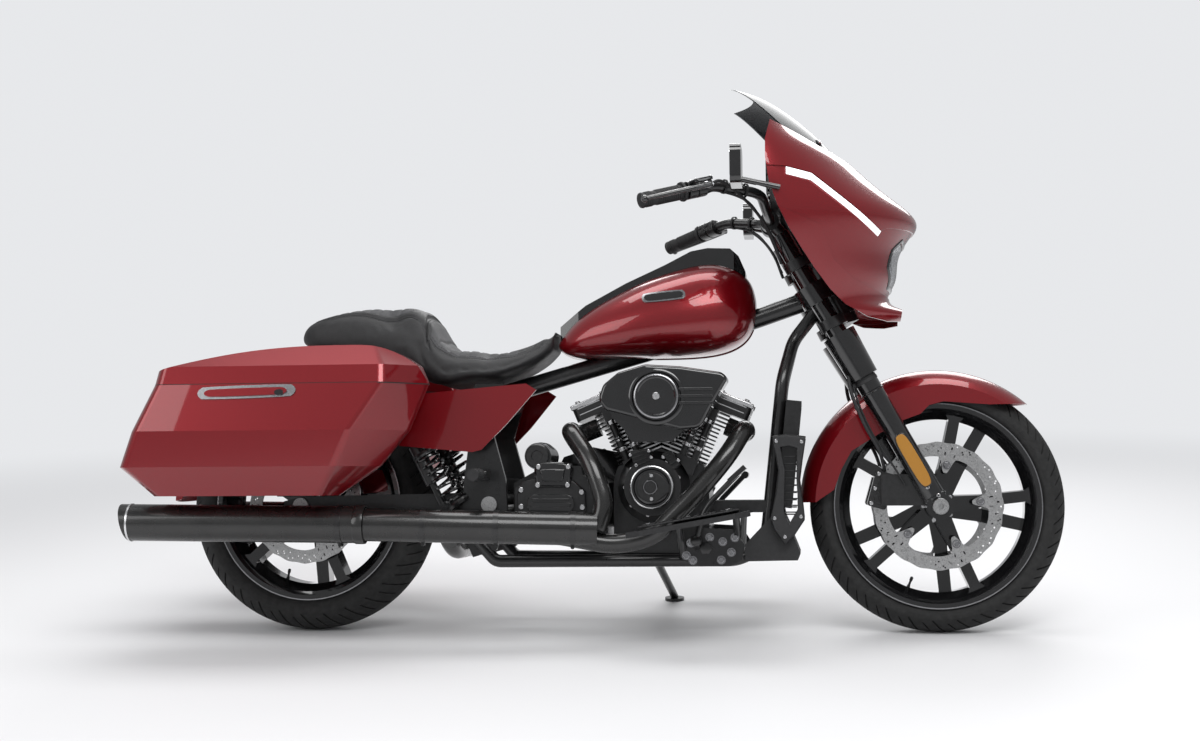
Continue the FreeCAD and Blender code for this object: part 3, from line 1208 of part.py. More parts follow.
def muffler(side):
    """Long muffler with a slanted tail."""
    front = vec(MUFFLER_FRONT[0], side * MUFFLER_FRONT[1], MUFFLER_FRONT[2])
    rear = vec(MUFFLER_REAR[0], side * MUFFLER_REAR[1], MUFFLER_REAR[2])
    body = rod(front, rear, MUFFLER_RADIUS)
    half = MUFFLER_RADIUS
    shift = half * 2 * tan(MUFFLER_CUT_ANGLE)
    knife = slab([vec(rear.x - half, 0, rear.z - half * 2), vec(rear.x + shift, 0, rear.z - half * 2),
                  vec(rear.x - shift / 4, 0, rear.z + half * 2), vec(rear.x - half * 2, 0, rear.z + half * 2)],
                 rear.y - half * 2, rear.y + half * 2)
    way = (front - rear).normalize()
    mouth = rod(rear - way * CUT_OVERRUN, rear + way * MUFFLER_MOUTH_DEPTH, MUFFLER_RADIUS - MUFFLER_WALL)
    return body.cut(knife).cut(mouth)


HEADER_BOX = (-190.0, -232.0, 222.0)
HEADER_SIZE = (560.0, 140.0, 330.0)
FRONT_HEADER_SHARES = ((0.825, 1.44, 0.938), (0.938, 1.10, 0.852), (0.935, 0.59, 0.90), (0.86, 0.19, 0.68),
                       (0.72, 0.12, 0.40),
                       (0.53, 0.10, 0.08), (0.36, 0.06, 0.02), (0.10, 0.0, 0.10), (-0.02, 0.0, 0.12))


# Tank, console and seat

TANK_CORNER = (-150.0, 704.0)
TANK_LENGTH = 511.0
TANK_HEIGHT = 246.0
TANK_HALF_WIDTH = 168.0
# Place along the tank, bottom, top and half width.
TANK_STATION_SHARES = (
    (0.0, 0.10, 0.20, 0.30), (0.05, 0.03, 0.33, 0.50), (0.17, 0.0, 0.54, 0.70), (0.32, 0.0, 0.71, 0.85),
    (0.46, 0.0, 0.84, 0.94), (0.60, 0.0, 0.93, 0.99), (0.72, 0.01, 0.985, 1.0), (0.82, 0.04, 0.985, 0.96),
    (0.90, 0.10, 0.93, 0.84), (0.96, 0.20, 0.83, 0.64), (1.0, 0.38, 0.62, 0.34))
TANK_SECTION_SHARES = ((0.0, 1.0), (0.40, 0.94), (0.74, 0.70), (0.95, 0.22), (1.0, -0.20), (0.93, -0.58),
                       (0.72, -0.86), (0.38, -0.98), (0.0, -1.0))


def tank_body(grow):
    wires = []
    for along, bottom, top, width in TANK_STATION_SHARES:
        low = TANK_CORNER[1] + bottom * TANK_HEIGHT
        high = TANK_CORNER[1] + top * TANK_HEIGHT + grow
        wires.append(section_wire(TANK_CORNER[0] + along * TANK_LENGTH, (low + high) / 2,
                                  width * TANK_HALF_WIDTH + grow, (high - low) / 2, TANK_SECTION_SHARES))
    return Part.makeLoft(wires, True, False)


def backbone_room():
    """Tunnel that the backbone takes under the tank, open below."""
    points = [steer_point(NECK_JOIN_Z), vec(BACKBONE_FRONT[0], 0, BACKBONE_FRONT[1]),
              vec(BACKBONE_REAR[0], 0, BACKBONE_REAR[1])]
    low = [vec(p.x, 0, p.z - BACKBONE_RADIUS * 4) for p in reversed(points)]
    half = BACKBONE_RADIUS + SEAT_GAP
    return fuse_all([slab(points + low, -half, half), top_tube(half)])


def fuel_tank(body):
    whole = body.cut(backbone_room())
    for side in (-1, 1):
        whole = whole.cut(cylinder_envelope(side))
    return whole


CONSOLE_CORNER = (-148.0, 770.0)
CONSOLE_LENGTH = 484.0
CONSOLE_HEIGHT = 216.0
CONSOLE_HALF_WIDTH = 62.0
CONSOLE_SHARES = ((0.0, -0.1), (0.0, 0.09), (0.14, 0.34), (0.36, 0.60), (0.58, 0.82), (0.71, 0.965), (0.80, 1.0),
                  (0.92, 0.99), (0.965, 0.90), (1.0, 0.72), (1.0, 0.3))
CONSOLE_PLAN_SHARES = ((0.0, 0.62), (0.10, 0.80), (0.55, 0.88), (0.75, 1.0), (0.94, 1.0), (1.0, 0.72))


def tank_console(body_grown):
    """Black console along the top of the tank."""
    side = slab(spread(CONSOLE_SHARES, CONSOLE_CORNER, CONSOLE_LENGTH, CONSOLE_HEIGHT),
                -CONSOLE_HALF_WIDTH, CONSOLE_HALF_WIDTH)
    right = [vec(CONSOLE_CORNER[0] + a * CONSOLE_LENGTH, -b * CONSOLE_HALF_WIDTH, CONSOLE_CORNER[1] - CONSOLE_HEIGHT)
             for a, b in CONSOLE_PLAN_SHARES]
    left = [vec(p.x, -p.y, p.z) for p in reversed(right)]
    plan = closed_face(right + left).extrude(Z_AXIS * CONSOLE_HEIGHT * 3)
    whole = side.common(plan).cut(body_grown)
    whole = whole.cut(backbone_room())
    return max(whole.Solids, key=lambda s: s.Volume)


SEAT_CORNER = (-838.0, 636.0)
SEAT_LENGTH = 682.0
SEAT_HEIGHT = 212.0
SEAT_HALF_WIDTH = 190.0
# Place along the seat, bottom, top and half width.
SEAT_STATION_SHARES = (
    (0.0, 0.56, 0.66, 0.34), (0.03, 0.50, 0.80, 0.56), (0.14, 0.40, 0.93, 0.74), (0.32, 0.24, 0.97, 0.78),
    (0.44, 0.12, 0.985, 0.79), (0.50, 0.06, 0.90, 0.83), (0.56, 0.0, 0.58, 0.95), (0.64, 0.0, 0.42, 1.0),
    (0.76, 0.04, 0.385, 0.96), (0.86, 0.13, 0.43, 0.80), (0.94, 0.26, 0.54, 0.60), (1.0, 0.42, 0.70, 0.42))
SEAT_SECTION_SHARES = ((0.0, 1.0), (0.50, 0.97), (0.82, 0.78), (0.97, 0.36), (1.0, -0.20), (0.96, -0.72),
                       (0.84, -0.96), (0.40, -1.0), (0.0, -1.0))


def seat():
    wires = []
    for along, bottom, top, width in SEAT_STATION_SHARES:
        low = SEAT_CORNER[1] + bottom * SEAT_HEIGHT
        high = SEAT_CORNER[1] + top * SEAT_HEIGHT
        wires.append(section_wire(SEAT_CORNER[0] + along * SEAT_LENGTH, (low + high) / 2, width * SEAT_HALF_WIDTH,
                                  (high - low) / 2, SEAT_SECTION_SHARES))
    return Part.makeLoft(wires, True, False)


def exhaust(side_gap=SEAT_GAP):
    """Right headers, heat shield, crossover and the left front pipe, in one welded piece."""
    front = in_box(FRONT_HEADER_SHARES, HEADER_BOX, HEADER_SIZE)
    rear = in_box(REAR_HEADER_SHARES, HEADER_BOX, HEADER_SIZE)
    end = vec(MUFFLER_FRONT[0] + side_gap, -MUFFLER_FRONT[1], MUFFLER_FRONT[2])
    shield = rod(rear[-1], end, SHIELD_RADIUS)
    way = (end - rear[-1]).normalize()
    cross = rear[-1] + way * ((end - rear[-1]).Length * CROSSOVER_SHARE)
    left_end = vec(end.x, -end.y, end.z)
    left_way = (vec(MUFFLER_REAR[0], MUFFLER_REAR[1], MUFFLER_REAR[2])
                - vec(MUFFLER_FRONT[0], MUFFLER_FRONT[1], MUFFLER_FRONT[2])).normalize()
    left_knee = left_end - left_way * LEFT_PIPE_RUN
    crossover = [cross, vec(cross.x, -CROSSOVER_Y, CROSSOVER_Z), vec(cross.x, CROSSOVER_Y, CROSSOVER_Z),
                 left_knee, left_end]
    pieces = [pipe(front, PIPE_RADIUS), pipe(rear, PIPE_RADIUS), shield, pipe(crossover, PIPE_RADIUS),
              rod(left_knee, left_end, SHIELD_RADIUS)]
    whole = fuse_all(pieces)
    for side in (-1, 1):
        whole = whole.cut(cylinder_envelope(side))
    whole = whole.cut(block(end.x - CUT_OVERRUN * 2, end.x, end.y - SHIELD_RADIUS * 2, -end.y + SHIELD_RADIUS * 2,
                            0, end.z + SHIELD_RADIUS * 2))
    return max(whole.Solids, key=lambda s: s.Volume)


REAR_HEADER_SHARES = ((0.276, 1.44, 0.938), (0.162, 1.10, 0.852), (0.139, 0.59, 0.90), (0.26, 0.12, 0.63),
                      (0.32, 0.0, 0.33), (0.285, -0.02, 0.14))
CROSSOVER_SHARE = 0.66
CROSSOVER_Y = 150.0
CROSSOVER_Z = 214.0
LEFT_PIPE_RUN = 90.0


# Rear fender and its lamps

REAR_FENDER_RADIUS = 372.0
REAR_FENDER_SIDE_RADIUS = 352.0
REAR_FENDER_HALF_WIDTH = 104.0
REAR_FENDER_WALL = 3.0
REAR_FENDER_REACH = 420.0
REAR_FENDER_SHARES = ((0.62, 0.44), (0.10, 0.60), (-0.30, 0.56), (-0.66, 0.30), (-0.80, 0.04), (-1.1, -0.02),
                      (-1.1, 1.1), (0.62, 1.1))
TAIL_LAMP_SHARES = ((-1.2, 0.36), (-0.4, 0.36), (-0.4, 0.56), (-1.2, 0.56))
TAIL_LAMP_HALF_WIDTH = 78.0
TAIL_LAMP_THICKNESS = 12.0
PLATE_WIDTH = 190.0
PLATE_HEIGHT = 115.0
PLATE_THICKNESS = 4.0
PLATE_CENTRE_Z = 415.0
PLATE_TILT = 12.0
PLATE_HOLE_SPACING = 146.0
PLATE_HOLE_HEIGHT = 36.0
PLATE_HOLE_RADIUS = 3.5
PLATE_ARM = 12.0


def rear_fender():
    shell = fender_shell(REAR_AXLE, REAR_FENDER_RADIUS, REAR_FENDER_SIDE_RADIUS, REAR_FENDER_HALF_WIDTH,
                         REAR_FENDER_WALL)
    outline = spread(REAR_FENDER_SHARES, (REAR_AXLE.x, REAR_AXLE.z), REAR_FENDER_REACH, REAR_FENDER_REACH)
    return shell.common(slab(outline, -REAR_FENDER_HALF_WIDTH * 2, REAR_FENDER_HALF_WIDTH * 2))


def tail_lamp():
    outer = fender_shell(REAR_AXLE, REAR_FENDER_RADIUS + TAIL_LAMP_THICKNESS,
                         REAR_FENDER_SIDE_RADIUS + TAIL_LAMP_THICKNESS, REAR_FENDER_HALF_WIDTH + TAIL_LAMP_THICKNESS,
                         TAIL_LAMP_THICKNESS - SEAT_GAP)
    outline = spread(TAIL_LAMP_SHARES, (REAR_AXLE.x, REAR_AXLE.z), REAR_FENDER_REACH, REAR_FENDER_REACH)
    band = slab(outline, -TAIL_LAMP_HALF_WIDTH, TAIL_LAMP_HALF_WIDTH)
    return max(outer.common(band).Solids, key=lambda s: s.Volume)


def plate_bracket():
    """Bare plate on the arm that leaves the fender's tail."""
    plate = block(-PLATE_THICKNESS / 2, PLATE_THICKNESS / 2, -PLATE_WIDTH / 2, PLATE_WIDTH / 2,
                  -PLATE_HEIGHT / 2, PLATE_HEIGHT / 2)
    for side in (-1, 1):
        start = vec(-PLATE_THICKNESS, side * PLATE_HOLE_SPACING / 2, PLATE_HOLE_HEIGHT)
        plate = plate.cut(rod(start, start + X_AXIS * (PLATE_THICKNESS * 2), PLATE_HOLE_RADIUS))
    plate.rotate(vec(0, 0, 0), Y_AXIS, PLATE_TILT)
    x = REAR_AXLE.x - REAR_FENDER_RADIUS - PLATE_ARM
    plate.translate(vec(x, 0, PLATE_CENTRE_Z))
    arm = block(x, x + PLATE_ARM * 4, -PLATE_WIDTH / 4, PLATE_WIDTH / 4, PLATE_CENTRE_Z - PLATE_ARM / 2,
                PLATE_CENTRE_Z + PLATE_ARM / 2)
    arm = arm.cut(cross_rod(REAR_AXLE.x, REAR_AXLE.z, -PLATE_WIDTH, PLATE_WIDTH, REAR_FENDER_RADIUS + SEAT_GAP))
    return max(fuse_all([plate, arm]).Solids, key=lambda s: s.Volume)


# Saddlebags

BAG_CORNER = (-1180.0, 356.0)
BAG_LENGTH = 752.0
BAG_HEIGHT = 272.0
BAG_WIDTH = 285.0
BAG_INNER_Y = 190.0
BAG_WALL = 4.0
LID_GAP = 0.3
# Height, then back, front at the outer face, front at the middle, inner and outer side at each level.
BAG_LEVEL_SHARES = (
    (0.0, 0.09, 0.655, 0.70, 0.0, 0.76), (0.26, 0.0, 0.72, 0.84, 0.0, 0.94), (0.58, 0.045, 0.775, 0.935, 0.0, 0.98),
    (1.0, 0.112, 0.875, 1.0, 0.08, 0.91))
LID_HEIGHT = 96.0
LID_LEVEL_SHARES = ((0.0, 0.112, 0.875, 1.0, 0.08, 0.91), (0.45, 0.12, 0.87, 0.985, 0.12, 0.86),
                    (1.0, 0.20, 0.82, 0.90, 0.26, 0.62))
LID_SIDE_SHARES = ((0.10, -0.05), (0.118, 0.34), (0.19, 0.50), (0.36, 0.80), (0.55, 0.97), (0.74, 1.0), (0.83, 0.95),
                   (0.905, 0.74), (0.965, 0.44), (1.0, -0.05))
BAG_BACK_INSET_SHARE = 0.022
BAG_CORNER_SHARE = 0.07
BAG_EDGE_RADIUS = 24.0
BAG_FRONT_Y_SHARE = 0.52
BAG_FRONT_INNER_SHARE = 0.07


def bag_level(z, back, front_outer, front_middle, inner, outer):
    """Plan of the left bag at one height."""
    rows = ((back + BAG_BACK_INSET_SHARE, inner), (back, inner + BAG_CORNER_SHARE), (back, outer - BAG_CORNER_SHARE),
            (back + BAG_BACK_INSET_SHARE, outer), (front_outer, outer), (front_middle, BAG_FRONT_Y_SHARE),
            (front_middle - BAG_FRONT_INNER_SHARE, inner))
    return [vec(BAG_CORNER[0] + a * BAG_LENGTH, BAG_INNER_Y + b * BAG_WIDTH, z) for a, b in rows]


def bag_levels(levels, base_z, height, wall=0.0):
    """Plans of the bag or lid from the bottom up, drawn in by a wall."""
    plans = []
    for row in levels:
        points = bag_level(base_z + row[0] * height, *row[1:])
        if wall:
            inner = Part.makePolygon(points + [points[0]]).makeOffset2D(-wall, 2)
            points = [vertex.Point for vertex in inner.OrderedVertexes]
        plans.append(rounded_loop(points, BAG_EDGE_RADIUS - wall))
    return plans


def bag_tub():
    """Left bag below its lid: an open tub with creased walls."""
    base = BAG_CORNER[1]
    outer = bag_levels(BAG_LEVEL_SHARES, base, BAG_HEIGHT)
    room = bag_levels(BAG_LEVEL_SHARES, base, BAG_HEIGHT, BAG_WALL)
    room[0].translate(Z_AXIS * BAG_WALL)
    room[-1].translate(Z_AXIS * BAG_WALL)
    return Part.makeLoft(outer, True, True).cut(Part.makeLoft(room, True, True))


def bag_lid():
    """Left lid: a shell under one curved side outline."""
    base = BAG_CORNER[1] + BAG_HEIGHT + LID_GAP
    outer = bag_levels(LID_LEVEL_SHARES, base, LID_HEIGHT)
    room = bag_levels(LID_LEVEL_SHARES, base, LID_HEIGHT, BAG_WALL)
    outline = spread(LID_SIDE_SHARES, (BAG_CORNER[0], base), BAG_LENGTH, LID_HEIGHT)
    side = curved_slab(outline, 0, BAG_INNER_Y + BAG_WIDTH * 2)
    lowered = side.copy()
    lowered.translate(Z_AXIS * -BAG_WALL)
    solid = Part.makeLoft(outer, True, True).common(side)
    hollow = Part.makeLoft(room, True, True).common(lowered)
    return max(solid.cut(hollow).Solids, key=lambda s: s.Volume)


LID_HINGE = vec(0, BAG_INNER_Y + LID_LEVEL_SHARES[0][4] * BAG_WIDTH, BAG_CORNER[1] + BAG_HEIGHT)
BAG_PIN_RADIUS = 9.0
BAG_PIN_PLACES = ((0.30, 0.62), (0.55, 0.76))


def bag_pins():
    """Pins that carry the left bag on the seat strut."""
    body = Part.makeLoft(bag_levels(BAG_LEVEL_SHARES, BAG_CORNER[1], BAG_HEIGHT), True, True)
    body.translate(Y_AXIS * -SEAT_GAP)
    pins = []
    for along, up in BAG_PIN_PLACES:
        x = STRUT_CORNER[0] + along * STRUT_LENGTH
        z = STRUT_CORNER[1] + up * STRUT_HEIGHT
        pin = cross_rod(x, z, STRUT_OUTER_Y + SEAT_GAP, BAG_INNER_Y + BAG_WIDTH / 2, BAG_PIN_RADIUS)
        pins.append(min(pin.cut(body).Solids, key=lambda s: s.CenterOfMass.y))
    return pins


# Side covers

PANEL_CORNER = (-553.0, 462.0)
PANEL_LENGTH = 362.0
PANEL_HEIGHT = 178.0
PANEL_SHARES = ((0.02, 0.10), (0.555, 0.0), (0.62, 0.03), (0.80, 0.40), (1.0, 0.88), (0.93, 0.97), (0.55, 0.90),
                (0.30, 0.86), (0.20, 0.84))
PANEL_INNER_Y = 172.0
PANEL_WALL = 5.0
PANEL_BULGE = 22.0
PANEL_POSTS = ((0.34, 0.775), (0.50, 0.764))


def side_cover():
    """Left side cover: a bowed plate on two posts."""
    outline = spread(PANEL_SHARES, PANEL_CORNER, PANEL_LENGTH, PANEL_HEIGHT)
    y0 = PANEL_INNER_Y
    plate = slab(outline, y0, y0 + PANEL_WALL + PANEL_BULGE)
    radius = (PANEL_LENGTH * PANEL_LENGTH / 4 + PANEL_BULGE * PANEL_BULGE) / (2 * PANEL_BULGE)
    middle = PANEL_CORNER[0] + PANEL_LENGTH / 2
    top = y0 + PANEL_BULGE + PANEL_WALL - radius
    base = PANEL_CORNER[1] - PANEL_WALL
    outer = Part.makeCylinder(radius, PANEL_HEIGHT * 2, vec(middle, top, base))
    inner = Part.makeCylinder(radius - PANEL_WALL, PANEL_HEIGHT * 2, vec(middle, top, base))
    shell = plate.common(outer).cut(inner)
    posts = []
    for along, up in PANEL_POSTS:
        x = PANEL_CORNER[0] + along * PANEL_LENGTH
        z = PANEL_CORNER[1] + up * PANEL_HEIGHT
        posts.append(cross_rod(x, z, STRUT_OUTER_Y + SEAT_GAP, PANEL_INNER_Y + PANEL_BULGE, BOLT_RADIUS))
    return fuse_all([shell] + posts)


# Rear brake, pulley and belt

REAR_DISC_Y = -100.0
PULLEY_RADIUS = 104.0
PULLEY_WIDTH = 18.0
PULLEY_Y = 105.0
PULLEY_GAP = 0.4
BELT_THICKNESS = 5.0
FRONT_PULLEY_RADIUS = 38.0
FRONT_PULLEY = (-246.0, 348.0)


def pulley():
    """Rear belt pulley with the boss that seats on the hub."""
    bore = SPACER_RADIUS + MOVING_GAP
    rim = ring(REAR_AXLE.x, REAR_AXLE.z, PULLEY_Y - PULLEY_WIDTH / 2, PULLEY_Y + PULLEY_WIDTH / 2, PULLEY_RADIUS, bore)
    boss = ring(REAR_AXLE.x, REAR_AXLE.z, REAR_HUB_WIDTH / 2 + SEAT_GAP, PULLEY_Y, HUB_RADIUS, bore)
    return fuse_all([rim, boss])


def front_pulley():
    return cross_rod(FRONT_PULLEY[0], FRONT_PULLEY[1], GEARBOX_LEFT_Y - CUT_OVERRUN, PULLEY_Y + PULLEY_WIDTH / 2,
                     FRONT_PULLEY_RADIUS)


def belt_hull(grow):
    """Solid outline of the belt's run round both pulleys."""
    y0 = PULLEY_Y - PULLEY_WIDTH / 2
    y1 = PULLEY_Y + PULLEY_WIDTH / 2
    rear = vec(REAR_AXLE.x, y0, REAR_AXLE.z)
    front = vec(FRONT_PULLEY[0], y0, FRONT_PULLEY[1])
    way = (front - rear).normalize()
    lean = (PULLEY_RADIUS - FRONT_PULLEY_RADIUS) / (front - rear).Length
    flat = math.sqrt(1 - lean * lean)
    corners = []
    for side in (1, -1):
        normal = way * lean + vec(-way.z, 0, way.x) * (side * flat)
        pair = [rear + normal * (PULLEY_RADIUS + grow), front + normal * (FRONT_PULLEY_RADIUS + grow)]
        corners += pair if side > 0 else list(reversed(pair))
    return fuse_all([cross_rod(rear.x, rear.z, y0, y1, PULLEY_RADIUS + grow),
                     cross_rod(front.x, front.z, y0, y1, FRONT_PULLEY_RADIUS + grow), slab(corners, y0, y1)])


def drive_belt():
    """Toothed belt, drawn plain, from the gearbox to the rear pulley."""
    return belt_hull(PULLEY_GAP + BELT_THICKNESS).cut(belt_hull(PULLEY_GAP))


REAR_CALIPER_ANGLE = 62.0


def rear_caliper():
    """Rear caliper with the bracket that stands on the swingarm."""
    body, centre = caliper_body(REAR_AXLE, REAR_DISC_Y, REAR_DISC_RADIUS, REAR_CALIPER_ANGLE)
    inner = REAR_DISC_Y - DISC_THICKNESS / 2 - CALIPER_SLOT
    foot_z = REAR_AXLE.z + ARM_HEIGHT_REAR / 2 + SEAT_GAP * 2
    bracket = slab([centre, vec(centre.x + CALIPER_LENGTH / 2, 0, centre.z), vec(REAR_AXLE.x + CALIPER_LENGTH / 4, 0, foot_z),
                    vec(centre.x, 0, foot_z)], -ARM_OUTER_Y, inner)
    arm = swingarm_outline(SEAT_GAP)
    whole = fuse_all([body, bracket]).cut(caliper_slot(REAR_AXLE, REAR_DISC_Y, REAR_DISC_RADIUS)).cut(arm)
    return max(whole.Solids, key=lambda s: s.Volume)


# Radiator, chin and shroud

RADIATOR_CORNER = (410.25, 330.0)
RADIATOR_LENGTH = 28.0
RADIATOR_HEIGHT = 250.0
RADIATOR_HALF_WIDTH = 118.0
RADIATOR_TILT = 6.13
SHROUD_WALL = 10.0
CHIN_CORNER = (330.0, 184.0)
CHIN_LENGTH = 138.0
CHIN_HEIGHT = 118.0
CHIN_HALF_WIDTH = 128.0
CHIN_SHARES = ((0.0, 0.0), (0.95, 0.02), (1.0, 0.16), (0.72, 1.0), (0.52, 1.0), (0.0, 0.36))
CHIN_WALL = 5.0


def radiator():
    """Finned core in its black shroud, ahead of the downtubes."""
    core = block(0, RADIATOR_LENGTH, -RADIATOR_HALF_WIDTH, RADIATOR_HALF_WIDTH, 0, RADIATOR_HEIGHT)
    frame = block(-SEAT_GAP, RADIATOR_LENGTH + SHROUD_WALL, -RADIATOR_HALF_WIDTH - SHROUD_WALL,
                  RADIATOR_HALF_WIDTH + SHROUD_WALL, -SHROUD_WALL, RADIATOR_HEIGHT + SHROUD_WALL)
    window = block(RADIATOR_LENGTH / 2, RADIATOR_LENGTH * 2, -RADIATOR_HALF_WIDTH, RADIATOR_HALF_WIDTH, 0,
                   RADIATOR_HEIGHT)
    whole = fuse_all([core, frame.cut(window)])
    whole.rotate(vec(0, 0, 0), Y_AXIS, RADIATOR_TILT)
    whole.translate(vec(RADIATOR_CORNER[0], 0, RADIATOR_CORNER[1]))
    return whole


def chin():
    """Lower spoiler: a hollow wedge below the radiator."""
    outline = spread(CHIN_SHARES, CHIN_CORNER, CHIN_LENGTH, CHIN_HEIGHT)
    whole = slab(outline, -CHIN_HALF_WIDTH, CHIN_HALF_WIDTH)
    room = [p - X_AXIS * CHIN_WALL for p in outline]
    hollow = slab(room, -CHIN_HALF_WIDTH + CHIN_WALL, CHIN_HALF_WIDTH - CHIN_WALL)
    hollow.translate(Z_AXIS * CHIN_WALL)
    whole = whole.cut(hollow)
    for side in (-1, 1):
        whole = whole.cut(rail_room(side))
    return max(whole.Solids, key=lambda s: s.Volume)


# Foot controls

BOARD_CORNER = (52.0, 277.0, 262.0)
BOARD_LENGTH = 296.0
BOARD_WIDTH = 104.0
BOARD_THICKNESS = 13.0
BOARD_RISE = 52.0
BOARD_END_SHARE = 0.22
BOARD_HINGE_RADIUS = 5.0
BOARD_KNUCKLE_RADIUS = 9.0
BOARD_KNUCKLE_SHARES = (0.45, 0.85)
BOARD_GAP_SHARE = 0.002
BOARD_ARM_SHARE = 0.035
BOARD_ARM_RADIUS = 9.0
GUARD_CORNER = (177.0, 176.0)
GUARD_LENGTH = 155.0
GUARD_HEIGHT = 94.0
GUARD_SHARES = ((0.0, 0.16), (0.13, 0.68), (0.29, 1.0), (0.85, 0.95), (1.0, 0.55), (0.955, 0.16), (0.76, 0.0),
                (0.28, 0.0))
GUARD_Y = 197.0
GUARD_THICKNESS = 8.0
PEDAL_PIVOT = vec(215.0, 254.0, 240.0)
PEDAL_RADIUS = 7.0


def board_way():
    return vec(BOARD_LENGTH, 0, BOARD_RISE).normalize()


def board_point(along, y):
    """Point of a left board's underside."""
    start = vec(BOARD_CORNER[0], y, BOARD_CORNER[2])
    return start + vec(BOARD_LENGTH, 0, BOARD_RISE) * along


def footboard():
    """Left rider's board with its hinge knuckles."""
    up = board_way().cross(Y_AXIS) * -1
    hinge_y = BOARD_CORNER[1]
    y0 = hinge_y + BOARD_KNUCKLE_RADIUS + SEAT_GAP
    y1 = hinge_y + BOARD_WIDTH
    end = BOARD_END_SHARE
    rows = ((0.0, y0), (0.0, y1 - BOARD_WIDTH * end), (end / 2, y1), (1 - end / 2, y1), (1.0, y1 - BOARD_WIDTH * end),
            (1.0, y0))
    plate = closed_face([board_point(a, y) for a, y in rows]).extrude(up * BOARD_THICKNESS)
    first, last = BOARD_KNUCKLE_SHARES
    knuckle = rod(board_point(first, hinge_y), board_point(last, hinge_y), BOARD_KNUCKLE_RADIUS)
    web = closed_face([board_point(first, hinge_y), board_point(last, hinge_y), board_point(last, y1 - BOARD_WIDTH / 2),
                       board_point(first, y1 - BOARD_WIDTH / 2)]).extrude(up * (BOARD_KNUCKLE_RADIUS / 2))
    pin = rod(board_point(0.0, hinge_y), board_point(1.0, hinge_y), BOARD_HINGE_RADIUS + SHAFT_GAP)
    return fuse_all([plate, knuckle, web]).cut(pin)


def board_bracket(side):
    """Arms from the frame rail to the pin of one footboard."""
    hinge_y = BOARD_CORNER[1]
    first, last = BOARD_KNUCKLE_SHARES
    pieces = []
    for share, way in ((first, -1), (last, 1)):
        head = board_point(share + way * BOARD_ARM_SHARE, hinge_y)
        pieces.append(rod(board_point(share + way * BOARD_GAP_SHARE, hinge_y),
                          board_point(share + way * (BOARD_ARM_SHARE * 2 - BOARD_GAP_SHARE), hinge_y),
                          BOARD_KNUCKLE_RADIUS - SEAT_GAP))
        pieces.append(rod(head, rail_point(head.x), BOARD_ARM_RADIUS))
    pieces.append(rod(board_point(first - BOARD_ARM_SHARE, hinge_y), board_point(last + BOARD_ARM_SHARE, hinge_y),
                      BOARD_HINGE_RADIUS))
    outline = spread(GUARD_SHARES, GUARD_CORNER, GUARD_LENGTH, GUARD_HEIGHT)
    pieces.append(slab(outline, GUARD_Y, GUARD_Y + GUARD_THICKNESS))
    whole = fuse_all(pieces).cut(rail_room(1)).cut(rod(rail_point(PEDAL_PIVOT.x), PEDAL_PIVOT, PEDAL_RADIUS + SEAT_GAP))
    whole = max(whole.Solids, key=lambda s: s.Volume)
    return whole if side > 0 else mirrored(whole)


def footboard_hinge_axis():
    """Start and end of the left board's hinge line."""
    return board_point(0.0, BOARD_CORNER[1]), board_point(1.0, BOARD_CORNER[1])


# Side stand

STAND_PIVOT = vec(70.0, 188.0, 190.0)
STAND_FOOT_X = 110.0
STAND_FOOT_Y = 408.0
STAND_RADIUS = 11.0
STAND_PAD_RADIUS = 27.0
STAND_PAD_THICKNESS = 8.0
STAND_HUB_RADIUS = 19.0
STAND_HUB_LENGTH = 24.0
STAND_PIN_RADIUS = 8.0
STAND_FOLDED = vec(-1.0, 0.10, -0.02)
STAND_BRACKET_THICKNESS = 9.0
STAND_ARM_HALF_WIDTH = 14.0
STAND_SPACER_HALF_WIDTH = 22.0


def stand_foot():
    return vec(STAND_FOOT_X, STAND_FOOT_Y, STAND_FOOT_Y * tan(LEAN_ANGLE))


def stand_axis():
    """Axis that swings the stand from down to folded back along the rail."""
    return (stand_foot() - STAND_PIVOT).cross(STAND_FOLDED).normalize()


def stand_range():
    return math.degrees((stand_foot() - STAND_PIVOT).getAngle(STAND_FOLDED))


def side_stand():
    """Side stand: hub on the pivot, leg, and the pad that lies flat on the ground."""
    ground_up = vec(0, -sin(LEAN_ANGLE), cos(LEAN_ANGLE))
    foot = stand_foot()
    pad = Part.makeCylinder(STAND_PAD_RADIUS, STAND_PAD_THICKNESS, foot, ground_up)
    ankle = foot + ground_up * (STAND_RADIUS + SEAT_GAP)
    axis = stand_axis()
    hub = rod(STAND_PIVOT - axis * (STAND_HUB_LENGTH / 2), STAND_PIVOT + axis * (STAND_HUB_LENGTH / 2),
              STAND_HUB_RADIUS)
    leg = fuse_all([rod(STAND_PIVOT, ankle, STAND_RADIUS), Part.makeSphere(STAND_RADIUS, ankle), pad, hub])
    reach = axis * STAND_HUB_LENGTH
    return leg.cut(rod(STAND_PIVOT - reach, STAND_PIVOT + reach, STAND_PIN_RADIUS + SHAFT_GAP))


